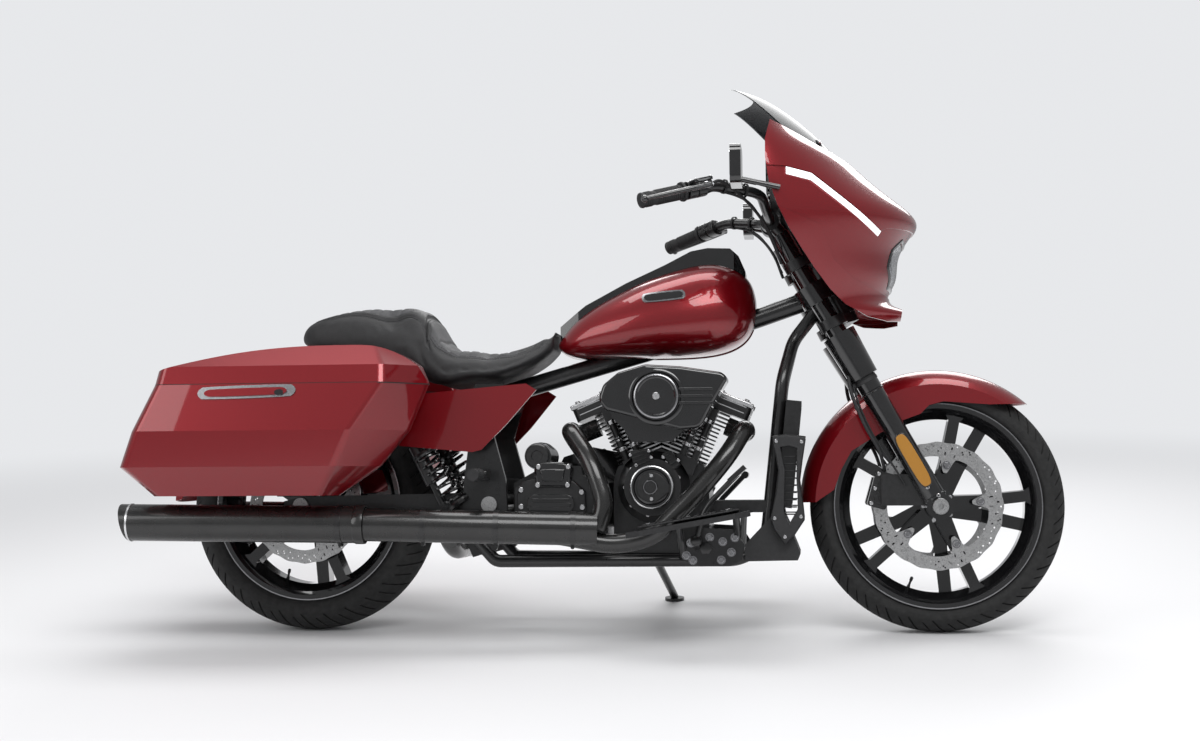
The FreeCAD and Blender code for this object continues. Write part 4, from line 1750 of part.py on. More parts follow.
def stand_bracket():
    """Pin and ears that carry the stand on the left frame rail."""
    axis = stand_axis()
    half = STAND_HUB_LENGTH / 2 + SEAT_GAP
    outer = half + STAND_BRACKET_THICKNESS
    pin = rod(STAND_PIVOT - axis * outer, STAND_PIVOT + axis * outer, STAND_PIN_RADIUS)
    pieces = [pin]
    for side in (-1, 1):
        near = STAND_PIVOT + axis * (side * half)
        far = STAND_PIVOT + axis * (side * outer)
        ear = rod(near, far, STAND_HUB_RADIUS)
        pieces.append(ear)
        middle = (near + far) / 2
        arm = block(middle.x - STAND_ARM_HALF_WIDTH, middle.x + STAND_ARM_HALF_WIDTH, PIVOT_INNER_Y, middle.y,
                    middle.z - STAND_BRACKET_THICKNESS / 2, middle.z + STAND_BRACKET_THICKNESS / 2)
        pieces.append(arm)
    spacer = block(STAND_PIVOT.x - STAND_SPACER_HALF_WIDTH, STAND_PIVOT.x + STAND_SPACER_HALF_WIDTH,
                   PIVOT_INNER_Y - TUBE_RADIUS, STAND_PIVOT.y - STAND_HUB_RADIUS - MOVING_GAP, CRADLE_CORNER[2] - TUBE_RADIUS - STAND_BRACKET_THICKNESS,
                   CRADLE_CORNER[2] + TUBE_RADIUS + STAND_BRACKET_THICKNESS)
    whole = fuse_all(pieces + [spacer]).cut(rail_room(1))
    clear = rod(STAND_PIVOT - axis * half, STAND_PIVOT + axis * half, STAND_HUB_RADIUS + SEAT_GAP)
    return whole.cut(clear.cut(pin))


PEDAL_KNEE = vec(236.0, 254.0, 318.0)
PEDAL_TIP = vec(318.0, 254.0, 402.0)
PEDAL_PAD_SIZE = (12.0, 58.0, 52.0)
PEDAL_PAD_TILT = 48.0
SHIFT_PEG_RADIUS = 10.0
SHIFT_PEG_LENGTH = 62.0


def pedal_arm():
    """Left-hand form of the pedal's arm with its root on the frame rail."""
    pieces = [pipe([PEDAL_PIVOT, PEDAL_KNEE, PEDAL_TIP], PEDAL_RADIUS),
              rod(rail_point(PEDAL_PIVOT.x), PEDAL_PIVOT, PEDAL_RADIUS),
              Part.makeSphere(PEDAL_RADIUS * 2, PEDAL_PIVOT)]
    return pieces


def brake_pedal():
    pad = Part.makeBox(PEDAL_PAD_SIZE[0], PEDAL_PAD_SIZE[1], PEDAL_PAD_SIZE[2],
                       vec(-PEDAL_PAD_SIZE[0] / 2, 0, -PEDAL_PAD_SIZE[2] / 2))
    pad.rotate(vec(0, 0, 0), Y_AXIS, PEDAL_PAD_TILT)
    pad.translate(PEDAL_TIP - Y_AXIS * PEDAL_RADIUS)
    whole = fuse_all(pedal_arm() + [pad]).cut(rail_room(1))
    return mirrored(max(whole.Solids, key=lambda s: s.Volume))


def shift_lever():
    peg = cross_rod(PEDAL_TIP.x, PEDAL_TIP.z, PEDAL_TIP.y - PEDAL_RADIUS, PEDAL_TIP.y + SHIFT_PEG_LENGTH,
                    SHIFT_PEG_RADIUS)
    whole = fuse_all(pedal_arm() + [peg]).cut(rail_room(1))
    return max(whole.Solids, key=lambda s: s.Volume)


# Passenger pegs

PEG_PIVOT = vec(-330.0, 206.0, 404.0)
PEG_LENGTH = 96.0
PEG_RADIUS = 15.0
PEG_HUB_RADIUS = 12.0
PEG_PIN_RADIUS = 5.0
PEG_EAR = 9.0


def peg():
    """Left passenger peg with the hub that it folds up on."""
    hub = Part.makeCylinder(PEG_HUB_RADIUS, PEG_RADIUS, PEG_PIVOT - X_AXIS * (PEG_RADIUS / 2), X_AXIS)
    start = PEG_PIVOT + Y_AXIS * (PEG_HUB_RADIUS + PEG_EAR)
    body = rod(start, PEG_PIVOT + Y_AXIS * PEG_LENGTH, PEG_RADIUS)
    neck = rod(PEG_PIVOT, start, PEG_RADIUS / 2)
    bore = Part.makeCylinder(PEG_PIN_RADIUS + SHAFT_GAP, PEG_RADIUS * 4, PEG_PIVOT - X_AXIS * PEG_RADIUS * 2, X_AXIS)
    return fuse_all([hub, body, neck]).cut(bore)


def peg_bracket():
    """Left clevis for the peg, on an arm from the pivot plate."""
    half = PEG_RADIUS / 2 + SEAT_GAP
    pieces = [Part.makeCylinder(PEG_PIN_RADIUS, (half + PEG_EAR) * 2, PEG_PIVOT - X_AXIS * (half + PEG_EAR), X_AXIS)]
    back = PEG_PIVOT.y - PEG_HUB_RADIUS - MOVING_GAP
    for side in (-1, 1):
        x0, x1 = sorted((PEG_PIVOT.x + side * half, PEG_PIVOT.x + side * (half + PEG_EAR)))
        pieces.append(Part.makeCylinder(PEG_HUB_RADIUS, PEG_EAR, vec(x0, PEG_PIVOT.y, PEG_PIVOT.z), X_AXIS))
        pieces.append(block(x0, x1, back, PEG_PIVOT.y, PEG_PIVOT.z - PEG_HUB_RADIUS, PEG_PIVOT.z + PEG_HUB_RADIUS))
    root_y = PIVOT_INNER_Y + PIVOT_PLATE + SEAT_GAP
    pieces.append(block(PEG_PIVOT.x - half - PEG_EAR, PEG_PIVOT.x + half + PEG_EAR, root_y, back,
                        PEG_PIVOT.z - PEG_HUB_RADIUS, PEG_PIVOT.z + PEG_HUB_RADIUS))
    return fuse_all(pieces)


# Console lid over the filler

DOOR_X = (196.0, 288.0)
DOOR_HALF_WIDTH = 39.0
DOOR_THICKNESS = 6.0
DOOR_Z = 974.0
WELL_LEDGE = 9.0
WELL_DEPTH = 20.0
CAP_RADIUS = 24.0
DOOR_HINGE = vec(288.2, 0.0, 985.0)
CAP_HEIGHT = 13.0


def door_room(grow):
    return block(DOOR_X[0] - grow, DOOR_X[1] + grow, -DOOR_HALF_WIDTH - grow, DOOR_HALF_WIDTH + grow,
                 DOOR_Z - grow, DOOR_Z + WELL_DEPTH * 2)


def well_room():
    return block(DOOR_X[0] + WELL_LEDGE, DOOR_X[1] - WELL_LEDGE, -DOOR_HALF_WIDTH + WELL_LEDGE,
                 DOOR_HALF_WIDTH - WELL_LEDGE, DOOR_Z - WELL_DEPTH, DOOR_Z + WELL_DEPTH)


def filler_cap():
    middle = (DOOR_X[0] + DOOR_X[1]) / 2
    return Part.makeCylinder(CAP_RADIUS, CAP_HEIGHT + CUT_OVERRUN, vec(middle, 0, DOOR_Z - WELL_DEPTH - CUT_OVERRUN))


# Mounts that carry the engine and the seat

MOUNT_X = (-300.0, -240.0)
MOUNT_Z = (246.0, 280.0)
FRONT_MOUNT_Z = (306.0, 336.0)
FRONT_MOUNT_Y = (70.0, 98.0)
SEAT_MOUNT_X = (-770.0, -715.0)
SEAT_MOUNT_HALF_WIDTH = 45.0


def engine_mounts():
    """Rear cross member under the gearbox and the two front brackets on the downtubes."""
    box = spread(GEARBOX_SHARES, GEARBOX_CORNER, GEARBOX_LENGTH, GEARBOX_HEIGHT)
    case = slab([p - X_AXIS * SEAT_GAP for p in box], -PIVOT_INNER_Y, PIVOT_INNER_Y)
    cross = block(MOUNT_X[0], MOUNT_X[1], -PIVOT_INNER_Y + SEAT_GAP, PIVOT_INNER_Y - SEAT_GAP, MOUNT_Z[0], MOUNT_Z[1])
    cross = max(cross.cut(case).Solids, key=lambda s: s.Volume)
    pieces = [cross]
    for side in (-1, 1):
        y0, y1 = sorted((side * FRONT_MOUNT_Y[0], side * FRONT_MOUNT_Y[1]))
        arm = block(CRANK[0] + CASE_RADIUS + SEAT_GAP, CRADLE_CORNER[0] + TUBE_RADIUS, y0, y1, FRONT_MOUNT_Z[0],
                    FRONT_MOUNT_Z[1])
        arm = arm.cut(rail_room(side))
        pieces.append(min(arm.Solids, key=lambda s: s.CenterOfMass.x))
    return pieces


def seat_mount(seat_shape):
    """Block between the crown of the rear fender and the seat."""
    foot = block(SEAT_MOUNT_X[0], SEAT_MOUNT_X[1], -SEAT_MOUNT_HALF_WIDTH, SEAT_MOUNT_HALF_WIDTH,
                 REAR_AXLE.z + REAR_FENDER_SIDE_RADIUS, SEAT_CORNER[1] + SEAT_HEIGHT)
    foot = foot.cut(cross_rod(REAR_AXLE.x, REAR_AXLE.z, -REAR_FENDER_HALF_WIDTH, REAR_FENDER_HALF_WIDTH,
                              REAR_FENDER_RADIUS + SEAT_GAP))
    lowered = seat_shape.copy()
    lowered.translate(Z_AXIS * -SEAT_GAP)
    return min(foot.cut(lowered).Solids, key=lambda s: s.CenterOfMass.z)


# Pushrods

PUSHROD_RADIUS = 9.0
PUSHROD_Y = 112.0
PUSHROD_X = (20.0, 52.0)
TAPPET_Z0 = 58.0
TAPPET_Z1 = 98.0
COLLAR_Z0 = 208.0
COLLAR_Z1 = 236.0
TAPPET_WALL = 3.0


def pushrods(side):
    """Two pushrod tubes of one cylinder between a tappet block and a collar on the head."""
    edge = PUSHROD_RADIUS + TAPPET_WALL
    x0 = PUSHROD_X[0] - edge
    x1 = PUSHROD_X[1] + edge
    outer = -PUSHROD_Y - edge
    pieces = [block(x0, x1, outer, -CASE_HALF_WIDTH - SEAT_GAP, TAPPET_Z0, TAPPET_Z1),
              block(x0, x1, outer, -FIN_HALF_WIDTH - SEAT_GAP, COLLAR_Z0, COLLAR_Z1)]
    for x in PUSHROD_X:
        pieces.append(rod(vec(x, -PUSHROD_Y, TAPPET_Z0 + TAPPET_WALL), vec(x, -PUSHROD_Y, COLLAR_Z1 - TAPPET_WALL),
                          PUSHROD_RADIUS))
    chest = cross_rod(CAM_CENTRE[0], CAM_CENTRE[1], -CASE_HALF_WIDTH * 2, 0, CAM_CHEST_RADIUS + SEAT_GAP)
    return tilted(fuse_all(pieces), side).cut(chest)


# Assembly

def group(shapes):
    """Like pieces that don't touch, as one node."""
    return Part.makeCompound(shapes)


def pair(shape):
    """A left piece and its mirror image as one node."""
    return group([shape, mirrored(shape)])


def build_nodes():
    """Every node by name, upright."""
    nodes = {}
    front_half = FRONT_HUB_WIDTH / 2
    rear_half = REAR_HUB_WIDTH / 2
    nodes["front_tyre"] = tyre(FRONT_AXLE, FRONT_TYRE_RADIUS, FRONT_TYRE_WIDTH, FRONT_CROWN_RADIUS,
                               FRONT_BEAD_RADIUS, FRONT_BEAD_WIDTH)
    half_disc = DISC_THICKNESS / 2 + SEAT_GAP
    bosses = [(side, FRONT_DISC_RADIUS, FRONT_DISC_Y - half_disc) for side in (-1, 1)]
    nodes["front_wheel"] = wheel(FRONT_AXLE, FRONT_BEAD_RADIUS, FRONT_BEAD_WIDTH, FRONT_HUB_WIDTH,
                                 FRONT_SPOKE_FACES, bosses)
    nodes["front_discs"] = group([brake_disc(FRONT_AXLE, side * FRONT_DISC_Y, FRONT_DISC_RADIUS) for side in (-1, 1)])
    nodes["rear_tyre"] = tyre(REAR_AXLE, REAR_TYRE_RADIUS, REAR_TYRE_WIDTH, REAR_CROWN_RADIUS,
                              REAR_BEAD_RADIUS, REAR_BEAD_WIDTH)
    nodes["rear_wheel"] = wheel(REAR_AXLE, REAR_BEAD_RADIUS, REAR_BEAD_WIDTH, REAR_HUB_WIDTH,
                                REAR_SPOKE_FACES, [(-1, REAR_DISC_RADIUS, -REAR_DISC_Y - half_disc)])
    nodes["rear_disc"] = brake_disc(REAR_AXLE, REAR_DISC_Y, REAR_DISC_RADIUS)
    nodes["rear_pulley"] = pulley()
    nodes["front_axle"] = axle_bar(FRONT_AXLE, LEG_SPACING / 2 + SLIDER_RADIUS + SEAT_GAP * 2, front_half,
                                   LEG_SPACING / 2 - SLIDER_RADIUS - SEAT_GAP)
    rear_bar = axle_bar(REAR_AXLE, ARM_OUTER_Y + SEAT_GAP, rear_half, ARM_INNER_Y)
    nodes["rear_axle"] = group([rear_bar, pivot_bolt()])
    nodes["fork_clamps"] = group([lower_clamp(), upper_clamp()])
    nodes["fork_legs"] = group([fork_leg(-1), fork_leg(1)])
    nodes["fork_covers"] = group([fork_cover(s, low) for s in (-1, 1) for low in (True, False)])
    nodes["handlebar"] = handlebar()
    nodes["grips"] = pair(grip())
    nodes["hand_controls"] = pair(hand_control())
    skin = fairing_body(0, CUT_OVERRUN)
    cavity = fairing_body(-FAIRING_WALL, FAIRING_LENGTH)
    nodes["fairing"] = fairing_outer(skin, cavity)
    nodes["dash"] = fairing_inner(cavity)
    nodes["front_lamps"] = group([headlamp(skin), light_strip(1), light_strip(-1)])
    nodes["windscreen"] = windscreen()
    nodes["mirrors"] = pair(mirror())
    nodes["front_fender"] = front_fender()
    nodes["front_calipers"] = group([front_caliper(1), front_caliper(-1)])
    nodes["backbone"] = backbone()
    nodes["cradle_tubes"] = group([cradle_tube(1), cradle_tube(-1)])
    nodes["rear_subframe"] = group([pivot_plate(1), pivot_plate(-1), seat_strut(1), seat_strut(-1)])
    nodes["shocks"] = group([shock(1), shock(-1)])
    nodes["swingarm"] = swingarm()
    nodes["engine_case"] = engine_case()
    nodes["cylinders"] = group([cylinder_unit(1), cylinder_unit(-1)])
    nodes["timing_chest"] = group([cam_chest(), pushrods(1), pushrods(-1)])
    nodes["primary_cover"] = primary_cover()
    nodes["gearbox"] = gearbox()
    nodes["starter"] = starter()
    nodes["air_cleaner"] = air_cleaner()
    nodes["exhaust"] = exhaust()
    nodes["mufflers"] = group([muffler(1), muffler(-1)])
    nodes["fuel_tank"] = fuel_tank(tank_body(0))
    console = tank_console(tank_body(SEAT_GAP))
    nodes["fuel_door"] = console.common(door_room(0))
    nodes["tank_console"] = fuse_all([console.cut(door_room(SEAT_GAP)).cut(well_room()), filler_cap()])
    cushion = seat()
    nodes["seat"] = cushion
    nodes["rear_fender"] = rear_fender()
    nodes["tail_lamp"] = tail_lamp()
    nodes["plate_bracket"] = plate_bracket()
    pins = bag_pins()
    nodes["frame_mounts"] = group(engine_mounts() + [seat_mount(cushion)] + pins + [mirrored(p) for p in pins])
    nodes["saddlebags"] = pair(bag_tub())
    lid = bag_lid()
    nodes["bag_lid_left"] = lid
    nodes["bag_lid_right"] = mirrored(lid)
    nodes["side_covers"] = pair(side_cover())
    nodes["drive_belt"] = drive_belt()
    nodes["rear_caliper"] = rear_caliper()
    nodes["radiator"] = radiator()
    nodes["chin"] = chin()
    board = footboard()
    nodes["footboard_left"] = board
    nodes["footboard_right"] = mirrored(board)
    step = peg()
    nodes["peg_left"] = step
    nodes["peg_right"] = mirrored(step)
    step_base = peg_bracket()
    nodes["foot_brackets"] = group([board_bracket(1), board_bracket(-1), stand_bracket(), step_base,
                                    mirrored(step_base)])
    nodes["side_stand"] = side_stand()
    nodes["foot_levers"] = group([brake_pedal(), shift_lever()])
    return nodes


def parked_placement(nodes):
    """Leans the machine to the left, then centres the foot of its box on the origin."""
    lean = FreeCAD.Placement(vec(0, 0, 0), FreeCAD.Rotation(X_AXIS, -LEAN_ANGLE))
    box = None
    for shape in nodes.values():
        leaned = shape.copy()
        leaned.Placement = lean.multiply(leaned.Placement)
        one = leaned.optimalBoundingBox(False)
        box = one if box is None else box.united(one)
    shift = FreeCAD.Placement(vec(-(box.XMin + box.XMax) / 2, -(box.YMin + box.YMax) / 2, 0), FreeCAD.Rotation())
    return shift.multiply(lean)


def main():
    os.makedirs("parts", exist_ok=True)
    nodes = build_nodes()
    parked = parked_placement(nodes)
    for name, shape in nodes.items():
        shape.Placement = parked.multiply(shape.Placement)
        shape.exportStep("parts/" + name + ".step")
    print(len(nodes), "nodes")


if __name__ == "__main__":
    main()
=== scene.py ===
import math

import bmesh
import bpy
import numpy as np
from mathutils import Matrix, Vector
from mathutils.bvhtree import BVHTree


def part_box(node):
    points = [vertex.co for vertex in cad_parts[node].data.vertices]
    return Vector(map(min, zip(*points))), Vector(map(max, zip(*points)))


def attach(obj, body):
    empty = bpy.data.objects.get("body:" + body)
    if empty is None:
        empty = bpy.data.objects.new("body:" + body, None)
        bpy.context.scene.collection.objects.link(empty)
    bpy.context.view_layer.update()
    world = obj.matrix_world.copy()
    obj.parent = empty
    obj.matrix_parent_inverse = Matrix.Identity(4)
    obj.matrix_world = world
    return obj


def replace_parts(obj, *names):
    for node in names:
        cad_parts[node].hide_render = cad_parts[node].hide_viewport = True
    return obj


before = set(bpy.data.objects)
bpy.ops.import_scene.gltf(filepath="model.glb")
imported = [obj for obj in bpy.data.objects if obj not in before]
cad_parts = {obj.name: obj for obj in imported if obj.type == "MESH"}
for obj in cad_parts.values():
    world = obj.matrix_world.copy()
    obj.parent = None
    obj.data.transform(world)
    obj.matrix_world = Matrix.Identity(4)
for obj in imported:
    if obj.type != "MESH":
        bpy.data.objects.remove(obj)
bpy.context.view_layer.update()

# Pieces are drawn upright in millimetres, with the ground under the middle of the wheelbase as origin,
# and LEANED sets them into the row frame, where the machine rests on its side stand.
LEAN = math.radians(-7.0)
FRONT_AXLE = (812.5, 0.0, 319.8)
REAR_AXLE = (-812.5, 0.0, 328.3)
hub_low, hub_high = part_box("front_wheel")
turned = Matrix.Rotation(LEAN, 4, "X")
LEANED = Matrix.Translation((hub_low + hub_high) / 2 - turned @ (Vector(FRONT_AXLE) / 1000)) @ turned
TO_RIGHT, TO_LEFT, TO_FRONT, TO_BACK = (0, -1, 0), (0, 1, 0), (1, 0, 0), (-1, 0, 0)
SIDES = {1: "left", -1: "right"}
ENDS = {1: "front", -1: "rear"}
TURN = 2 * math.pi


# Materials

SLOTS = {}


def set_inputs(node, **values):
    """Sets a shader node's inputs by their names, written with _ for each space."""
    for name, value in values.items():
        node.inputs[name.replace("_", " ")].default_value = value


def shader(name, slot, color, rough, metal=0.0, coat=0.0, coat_rough=0.05, vary=0.0, rough_vary=0.0, scale=60.0,
           bump=0.0, bump_scale=400.0, grain="Noise", specular=0.5, emission=0.0, transmission=0.0, ior=1.45,
           stretch=(1, 1, 1)):
    """Principled material whose colour and roughness drift with noise and whose bump is its fine grain."""
    m = bpy.data.materials.new(name)
    m.use_nodes = True
    SLOTS[m.name] = slot
    add, link = m.node_tree.nodes.new, m.node_tree.links.new
    b = m.node_tree.nodes["Principled BSDF"]
    set_inputs(b, Base_Color=(*color, 1), Roughness=rough, Metallic=metal, Coat_Weight=coat,
               Coat_Roughness=coat_rough, Specular_IOR_Level=specular, Transmission_Weight=transmission, IOR=ior)
    if emission:
        set_inputs(b, Emission_Color=(*color, 1), Emission_Strength=emission)
    place = add("ShaderNodeTexCoord")
    mapping = add("ShaderNodeMapping")
    set_inputs(mapping, Scale=stretch)
    link(place.outputs["Object"], mapping.inputs["Vector"])
    noise = add("ShaderNodeTexNoise")
    set_inputs(noise, Scale=scale, Detail=4)
    link(mapping.outputs["Vector"], noise.inputs["Vector"])
    if vary:
        ramp = add("ShaderNodeValToRGB")
        for end, position, share in zip(ramp.color_ramp.elements, (0.3, 0.7), (1 - vary, 1 + vary)):
            end.position = position
            end.color = (*[min(1, c * share) for c in color], 1)
        link(noise.outputs["Fac"], ramp.inputs["Fac"])
        link(ramp.outputs["Color"], b.inputs["Base Color"])
    if rough_vary:
        spread = add("ShaderNodeMapRange")
        set_inputs(spread, To_Min=max(0.02, rough - rough_vary), To_Max=min(1, rough + rough_vary))
        link(noise.outputs["Fac"], spread.inputs["Value"])
        link(spread.outputs["Result"], b.inputs["Roughness"])
    if bump:
        fine = add("ShaderNodeTex" + grain)
        set_inputs(fine, Scale=bump_scale)
        link(mapping.outputs["Vector"], fine.inputs["Vector"])
        raised = add("ShaderNodeBump")
        set_inputs(raised, Strength=bump, Distance=0.0006)
        link(fine.outputs[0], raised.inputs["Height"])
        link(raised.outputs["Normal"], b.inputs["Normal"])
    return m


CANDY = shader("candy_red", "red", (0.21, 0.0015, 0.006), 0.3, metal=0.5, coat=1.0, coat_rough=0.02, vary=0.2,
               scale=1400, bump=0.02, bump_scale=1500, specular=0.4)
GLOSS = shader("gloss_black", "black_gloss", (0.006, 0.006, 0.0065), 0.12, coat=1.0, coat_rough=0.03, vary=0.2,
               rough_vary=0.04, scale=30)
SATIN = shader("satin_black", "black_metal", (0.010, 0.010, 0.0105), 0.3, coat=0.4, coat_rough=0.12, vary=0.25,
               rough_vary=0.07, scale=90, bump=0.1, bump_scale=900)
CASTING = shader("cast_black", "engine_black", (0.012, 0.012, 0.0125), 0.36, coat=0.3, coat_rough=0.15, vary=0.3,
                 rough_vary=0.08, scale=160, bump=0.3, bump_scale=700)
MACHINED = shader("machined_metal", "steel", (0.72, 0.72, 0.73), 0.24, metal=1.0, vary=0.08, rough_vary=0.08,
                  scale=220, bump=0.12, bump_scale=260, stretch=(1, 8, 1))
STEEL = shader("disc_steel", "steel", (0.50, 0.50, 0.50), 0.3, metal=1.0, vary=0.12, rough_vary=0.1, scale=300,
               bump=0.1, bump_scale=500)
TREAD = shader("tyre_rubber", "tyre", (0.020, 0.020, 0.020), 0.78, vary=0.3, rough_vary=0.1, scale=70, bump=0.3,
               bump_scale=900, specular=0.35)
RUBBER = shader("moulded_rubber", "rubber", (0.016, 0.016, 0.017), 0.62, vary=0.25, rough_vary=0.1, scale=120,
                bump=0.3, bump_scale=1100)
PLASTIC = shader("grained_plastic", "black_plastic", (0.020, 0.020, 0.021), 0.55, vary=0.2, rough_vary=0.08,
                 scale=120, bump=0.35, bump_scale=1300, grain="Voronoi")
VINYL = shader("seat_vinyl", "seat_vinyl", (0.020, 0.020, 0.021), 0.5, vary=0.2, rough_vary=0.1, scale=60,
               bump=0.5, bump_scale=520, grain="Voronoi", specular=0.4)
INSERT = shader("seat_insert", "seat_vinyl", (0.055, 0.055, 0.058), 0.62, vary=0.2, rough_vary=0.08, scale=80,
                bump=0.6, bump_scale=620, grain="Voronoi", specular=0.35)
THREAD = shader("stitch_thread", "seat_vinyl", (0.045, 0.045, 0.047), 0.7, vary=0.2, scale=500, bump=0.4,
                bump_scale=1500)
EXHAUST = shader("exhaust_black", "exhaust_black", (0.011, 0.0108, 0.0105), 0.27, coat=0.5, coat_rough=0.1,
                 vary=0.3, rough_vary=0.08, scale=14, bump=0.08, bump_scale=1000)
SMOKE = shader("smoked_screen", "smoke", (0.030, 0.032, 0.035), 0.05, transmission=0.75, ior=1.12,
               rough_vary=0.02, scale=10, specular=0.2)
LENS = shader("clear_lens", "lamp", (0.95, 0.96, 0.97), 0.03, transmission=1.0, ior=1.3, rough_vary=0.015,
              scale=30)
STRIP = shader("light_strip", "lamp", (0.93, 0.94, 0.96), 0.35, emission=0.9, vary=0.04, scale=120)
AMBER = shader("amber_reflector", "red_lamp", (0.38, 0.17, 0.015), 0.28, coat=0.6, vary=0.3, scale=900, bump=0.6,
               bump_scale=700, grain="Voronoi")
RUBY = shader("red_lens", "red_lamp", (0.42, 0.006, 0.008), 0.15, coat=1.0, vary=0.3, scale=500, bump=0.5,
              bump_scale=500, grain="Voronoi")
MIRROR = shader("mirror_glass", "steel", (0.82, 0.84, 0.86), 0.03, metal=1.0, rough_vary=0.015, scale=20)
SCREEN = shader("display", "black_gloss", (0.004, 0.005, 0.007), 0.08, coat=1.0, vary=0.3, scale=30)
WHITE = shader("dial_white", "black_gloss", (0.75, 0.76, 0.78), 0.5, emission=0.15, vary=0.05, scale=300)
EDGE = shader("dark_machined_edge", "steel", (0.30, 0.30, 0.31), 0.25, metal=1.0, vary=0.1, rough_vary=0.06,
              scale=200)
REFLECTOR = shader("lamp_reflector", "steel", (0.85, 0.86, 0.88), 0.12, metal=1.0, rough_vary=0.04, scale=40)
BLANK = shader("blank_plate", "black_plastic", (0.62, 0.63, 0.64), 0.4, vary=0.05, rough_vary=0.05, scale=60)
BACKDROP = (0.80, 0.81, 0.83, 1)


def studio_floor():
    """Pale floor that fades into the backdrop's colour far from the machine."""
    m = bpy.data.materials.new("studio_floor")
    m.use_nodes = True
    add, link = m.node_tree.nodes.new, m.node_tree.links.new
    b = m.node_tree.nodes["Principled BSDF"]
    set_inputs(b, Base_Color=(0.78, 0.78, 0.79, 1), Roughness=0.6)
    place = add("ShaderNodeNewGeometry")
    far = add("ShaderNodeVectorMath")
    far.operation = "LENGTH"
    link(place.outputs["Position"], far.inputs[0])
    fade = add("ShaderNodeMapRange")
    fade.interpolation_type = "SMOOTHSTEP"
    set_inputs(fade, From_Min=1.9, From_Max=6.0)
    link(far.outputs["Value"], fade.inputs["Value"])
    seen = add("ShaderNodeLightPath")
    share = add("ShaderNodeMath")
    share.operation = "MULTIPLY"
    link(fade.outputs["Result"], share.inputs[0])
    link(seen.outputs["Is Camera Ray"], share.inputs[1])
    pale = add("ShaderNodeEmission")
    set_inputs(pale, Color=BACKDROP)
    mix = add("ShaderNodeMixShader")
    link(share.outputs["Value"], mix.inputs["Fac"])
    link(b.outputs["BSDF"], mix.inputs[1])
    link(pale.outputs["Emission"], mix.inputs[2])
    link(mix.outputs["Shader"], m.node_tree.nodes["Material Output"].inputs["Surface"])
    return m


NODE_MATERIALS = {
    CANDY: "fuel_tank fairing front_fender rear_fender side_covers saddlebags bag_lid_left bag_lid_right",
    GLOSS: "mirrors fork_legs fork_covers tank_console fuel_door front_wheel rear_wheel primary_cover air_cleaner",
    CASTING: "engine_case cylinders timing_chest gearbox front_calipers rear_caliper",
    EXHAUST: "exhaust mufflers",
    RUBBER: "drive_belt grips footboard_left footboard_right peg_left peg_right",
    PLASTIC: "dash chin plate_bracket",
    STEEL: "front_discs rear_disc front_axle rear_axle",
    LENS: "front_lamps", RUBY: "tail_lamp", SMOKE: "windscreen", VINYL: "seat", TREAD: "front_tyre rear_tyre"}
FLOOR = studio_floor()
chosen = {node: mat for mat, nodes in NODE_MATERIALS.items() for node in nodes.split()}
for node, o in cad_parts.items():
    o.data.materials.clear()
    o.data.materials.append(chosen.get(node, SATIN))


# Mesh tools

def show(name, data):
    """New object in the scene for a mesh, lamp or camera."""
    o = bpy.data.objects.new(name, data)
    bpy.context.scene.collection.objects.link(o)
    return o


def piece(name, part, mat, body="frame", slot=None, smooth=True, bevel=0.0, angle=35.0):
    """New mesh piece, drawn upright in millimetres, that rides on a body; a part is its verts and faces."""
    mesh = bpy.data.meshes.new(name)
    mesh.from_pydata([Vector(v) / 1000 for v in part[0]], [], part[1])
    mesh.validate()
    b = bmesh.new()
    b.from_mesh(mesh)
    bmesh.ops.recalc_face_normals(b, faces=b.faces)
    b.to_mesh(mesh)
    b.free()
    o = show(name, mesh)
    mesh.materials.append(mat)
    o.matrix_world = LEANED
    if bevel:
        mod = o.modifiers.new("edge", "BEVEL")
        mod.width = bevel / 1000
        mod.segments = 2
        mod.limit_method = "ANGLE"
        mod.angle_limit = math.radians(angle)
    if smooth:
        mesh.shade_smooth()
        mesh.set_sharp_from_angle(angle=math.radians(angle))
    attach(o, body)
    slot or SLOTS[mat.name]
    return o


def join(*parts):
    """Several parts as one."""
    verts, faces = [], []
    for v, f in parts:
        k = len(verts)
        verts += list(v)
        faces += [tuple(i + k for i in face) for face in f]
    return verts, faces


def flip(part):
    """Mirror image in the machine's middle plane."""
    v, f = part
    return [Vector((p[0], -p[1], p[2])) for p in v], [tuple(reversed(face)) for face in f]


def moved(part, place):
    """Part whose points are each put in their place by a function."""
    return [place(p) for p in part[0]], part[1]


def both_sides(name, part, mat, body="frame", **more):
    """Piece that holds a part and its mirror image."""
    return piece(name, join(part, flip(part)), mat, body, **more)


def band(n, rings, endless=False):
    """Faces between rings of n points each, and from the last ring to the first where it is endless."""
    return [(q * n + k, q * n + (k + 1) % n, (q + 1) % rings * n + (k + 1) % n, (q + 1) % rings * n + k)
            for q in range(rings if endless else rings - 1) for k in range(n)]


def capped(n, rings):
    """Faces of a closed body built of rings of n points."""
    return band(n, rings) + [tuple(range(n)), tuple(range((rings - 1) * n, rings * n))]


def basis(axis):
    """An axis and two directions square to it, all of length 1."""
    a = Vector(axis).normalized()
    u = a.cross(Vector((0, 0, 1)) if abs(a.z) < 0.9 else Vector((1, 0, 0))).normalized()
    return a, u, a.cross(u)


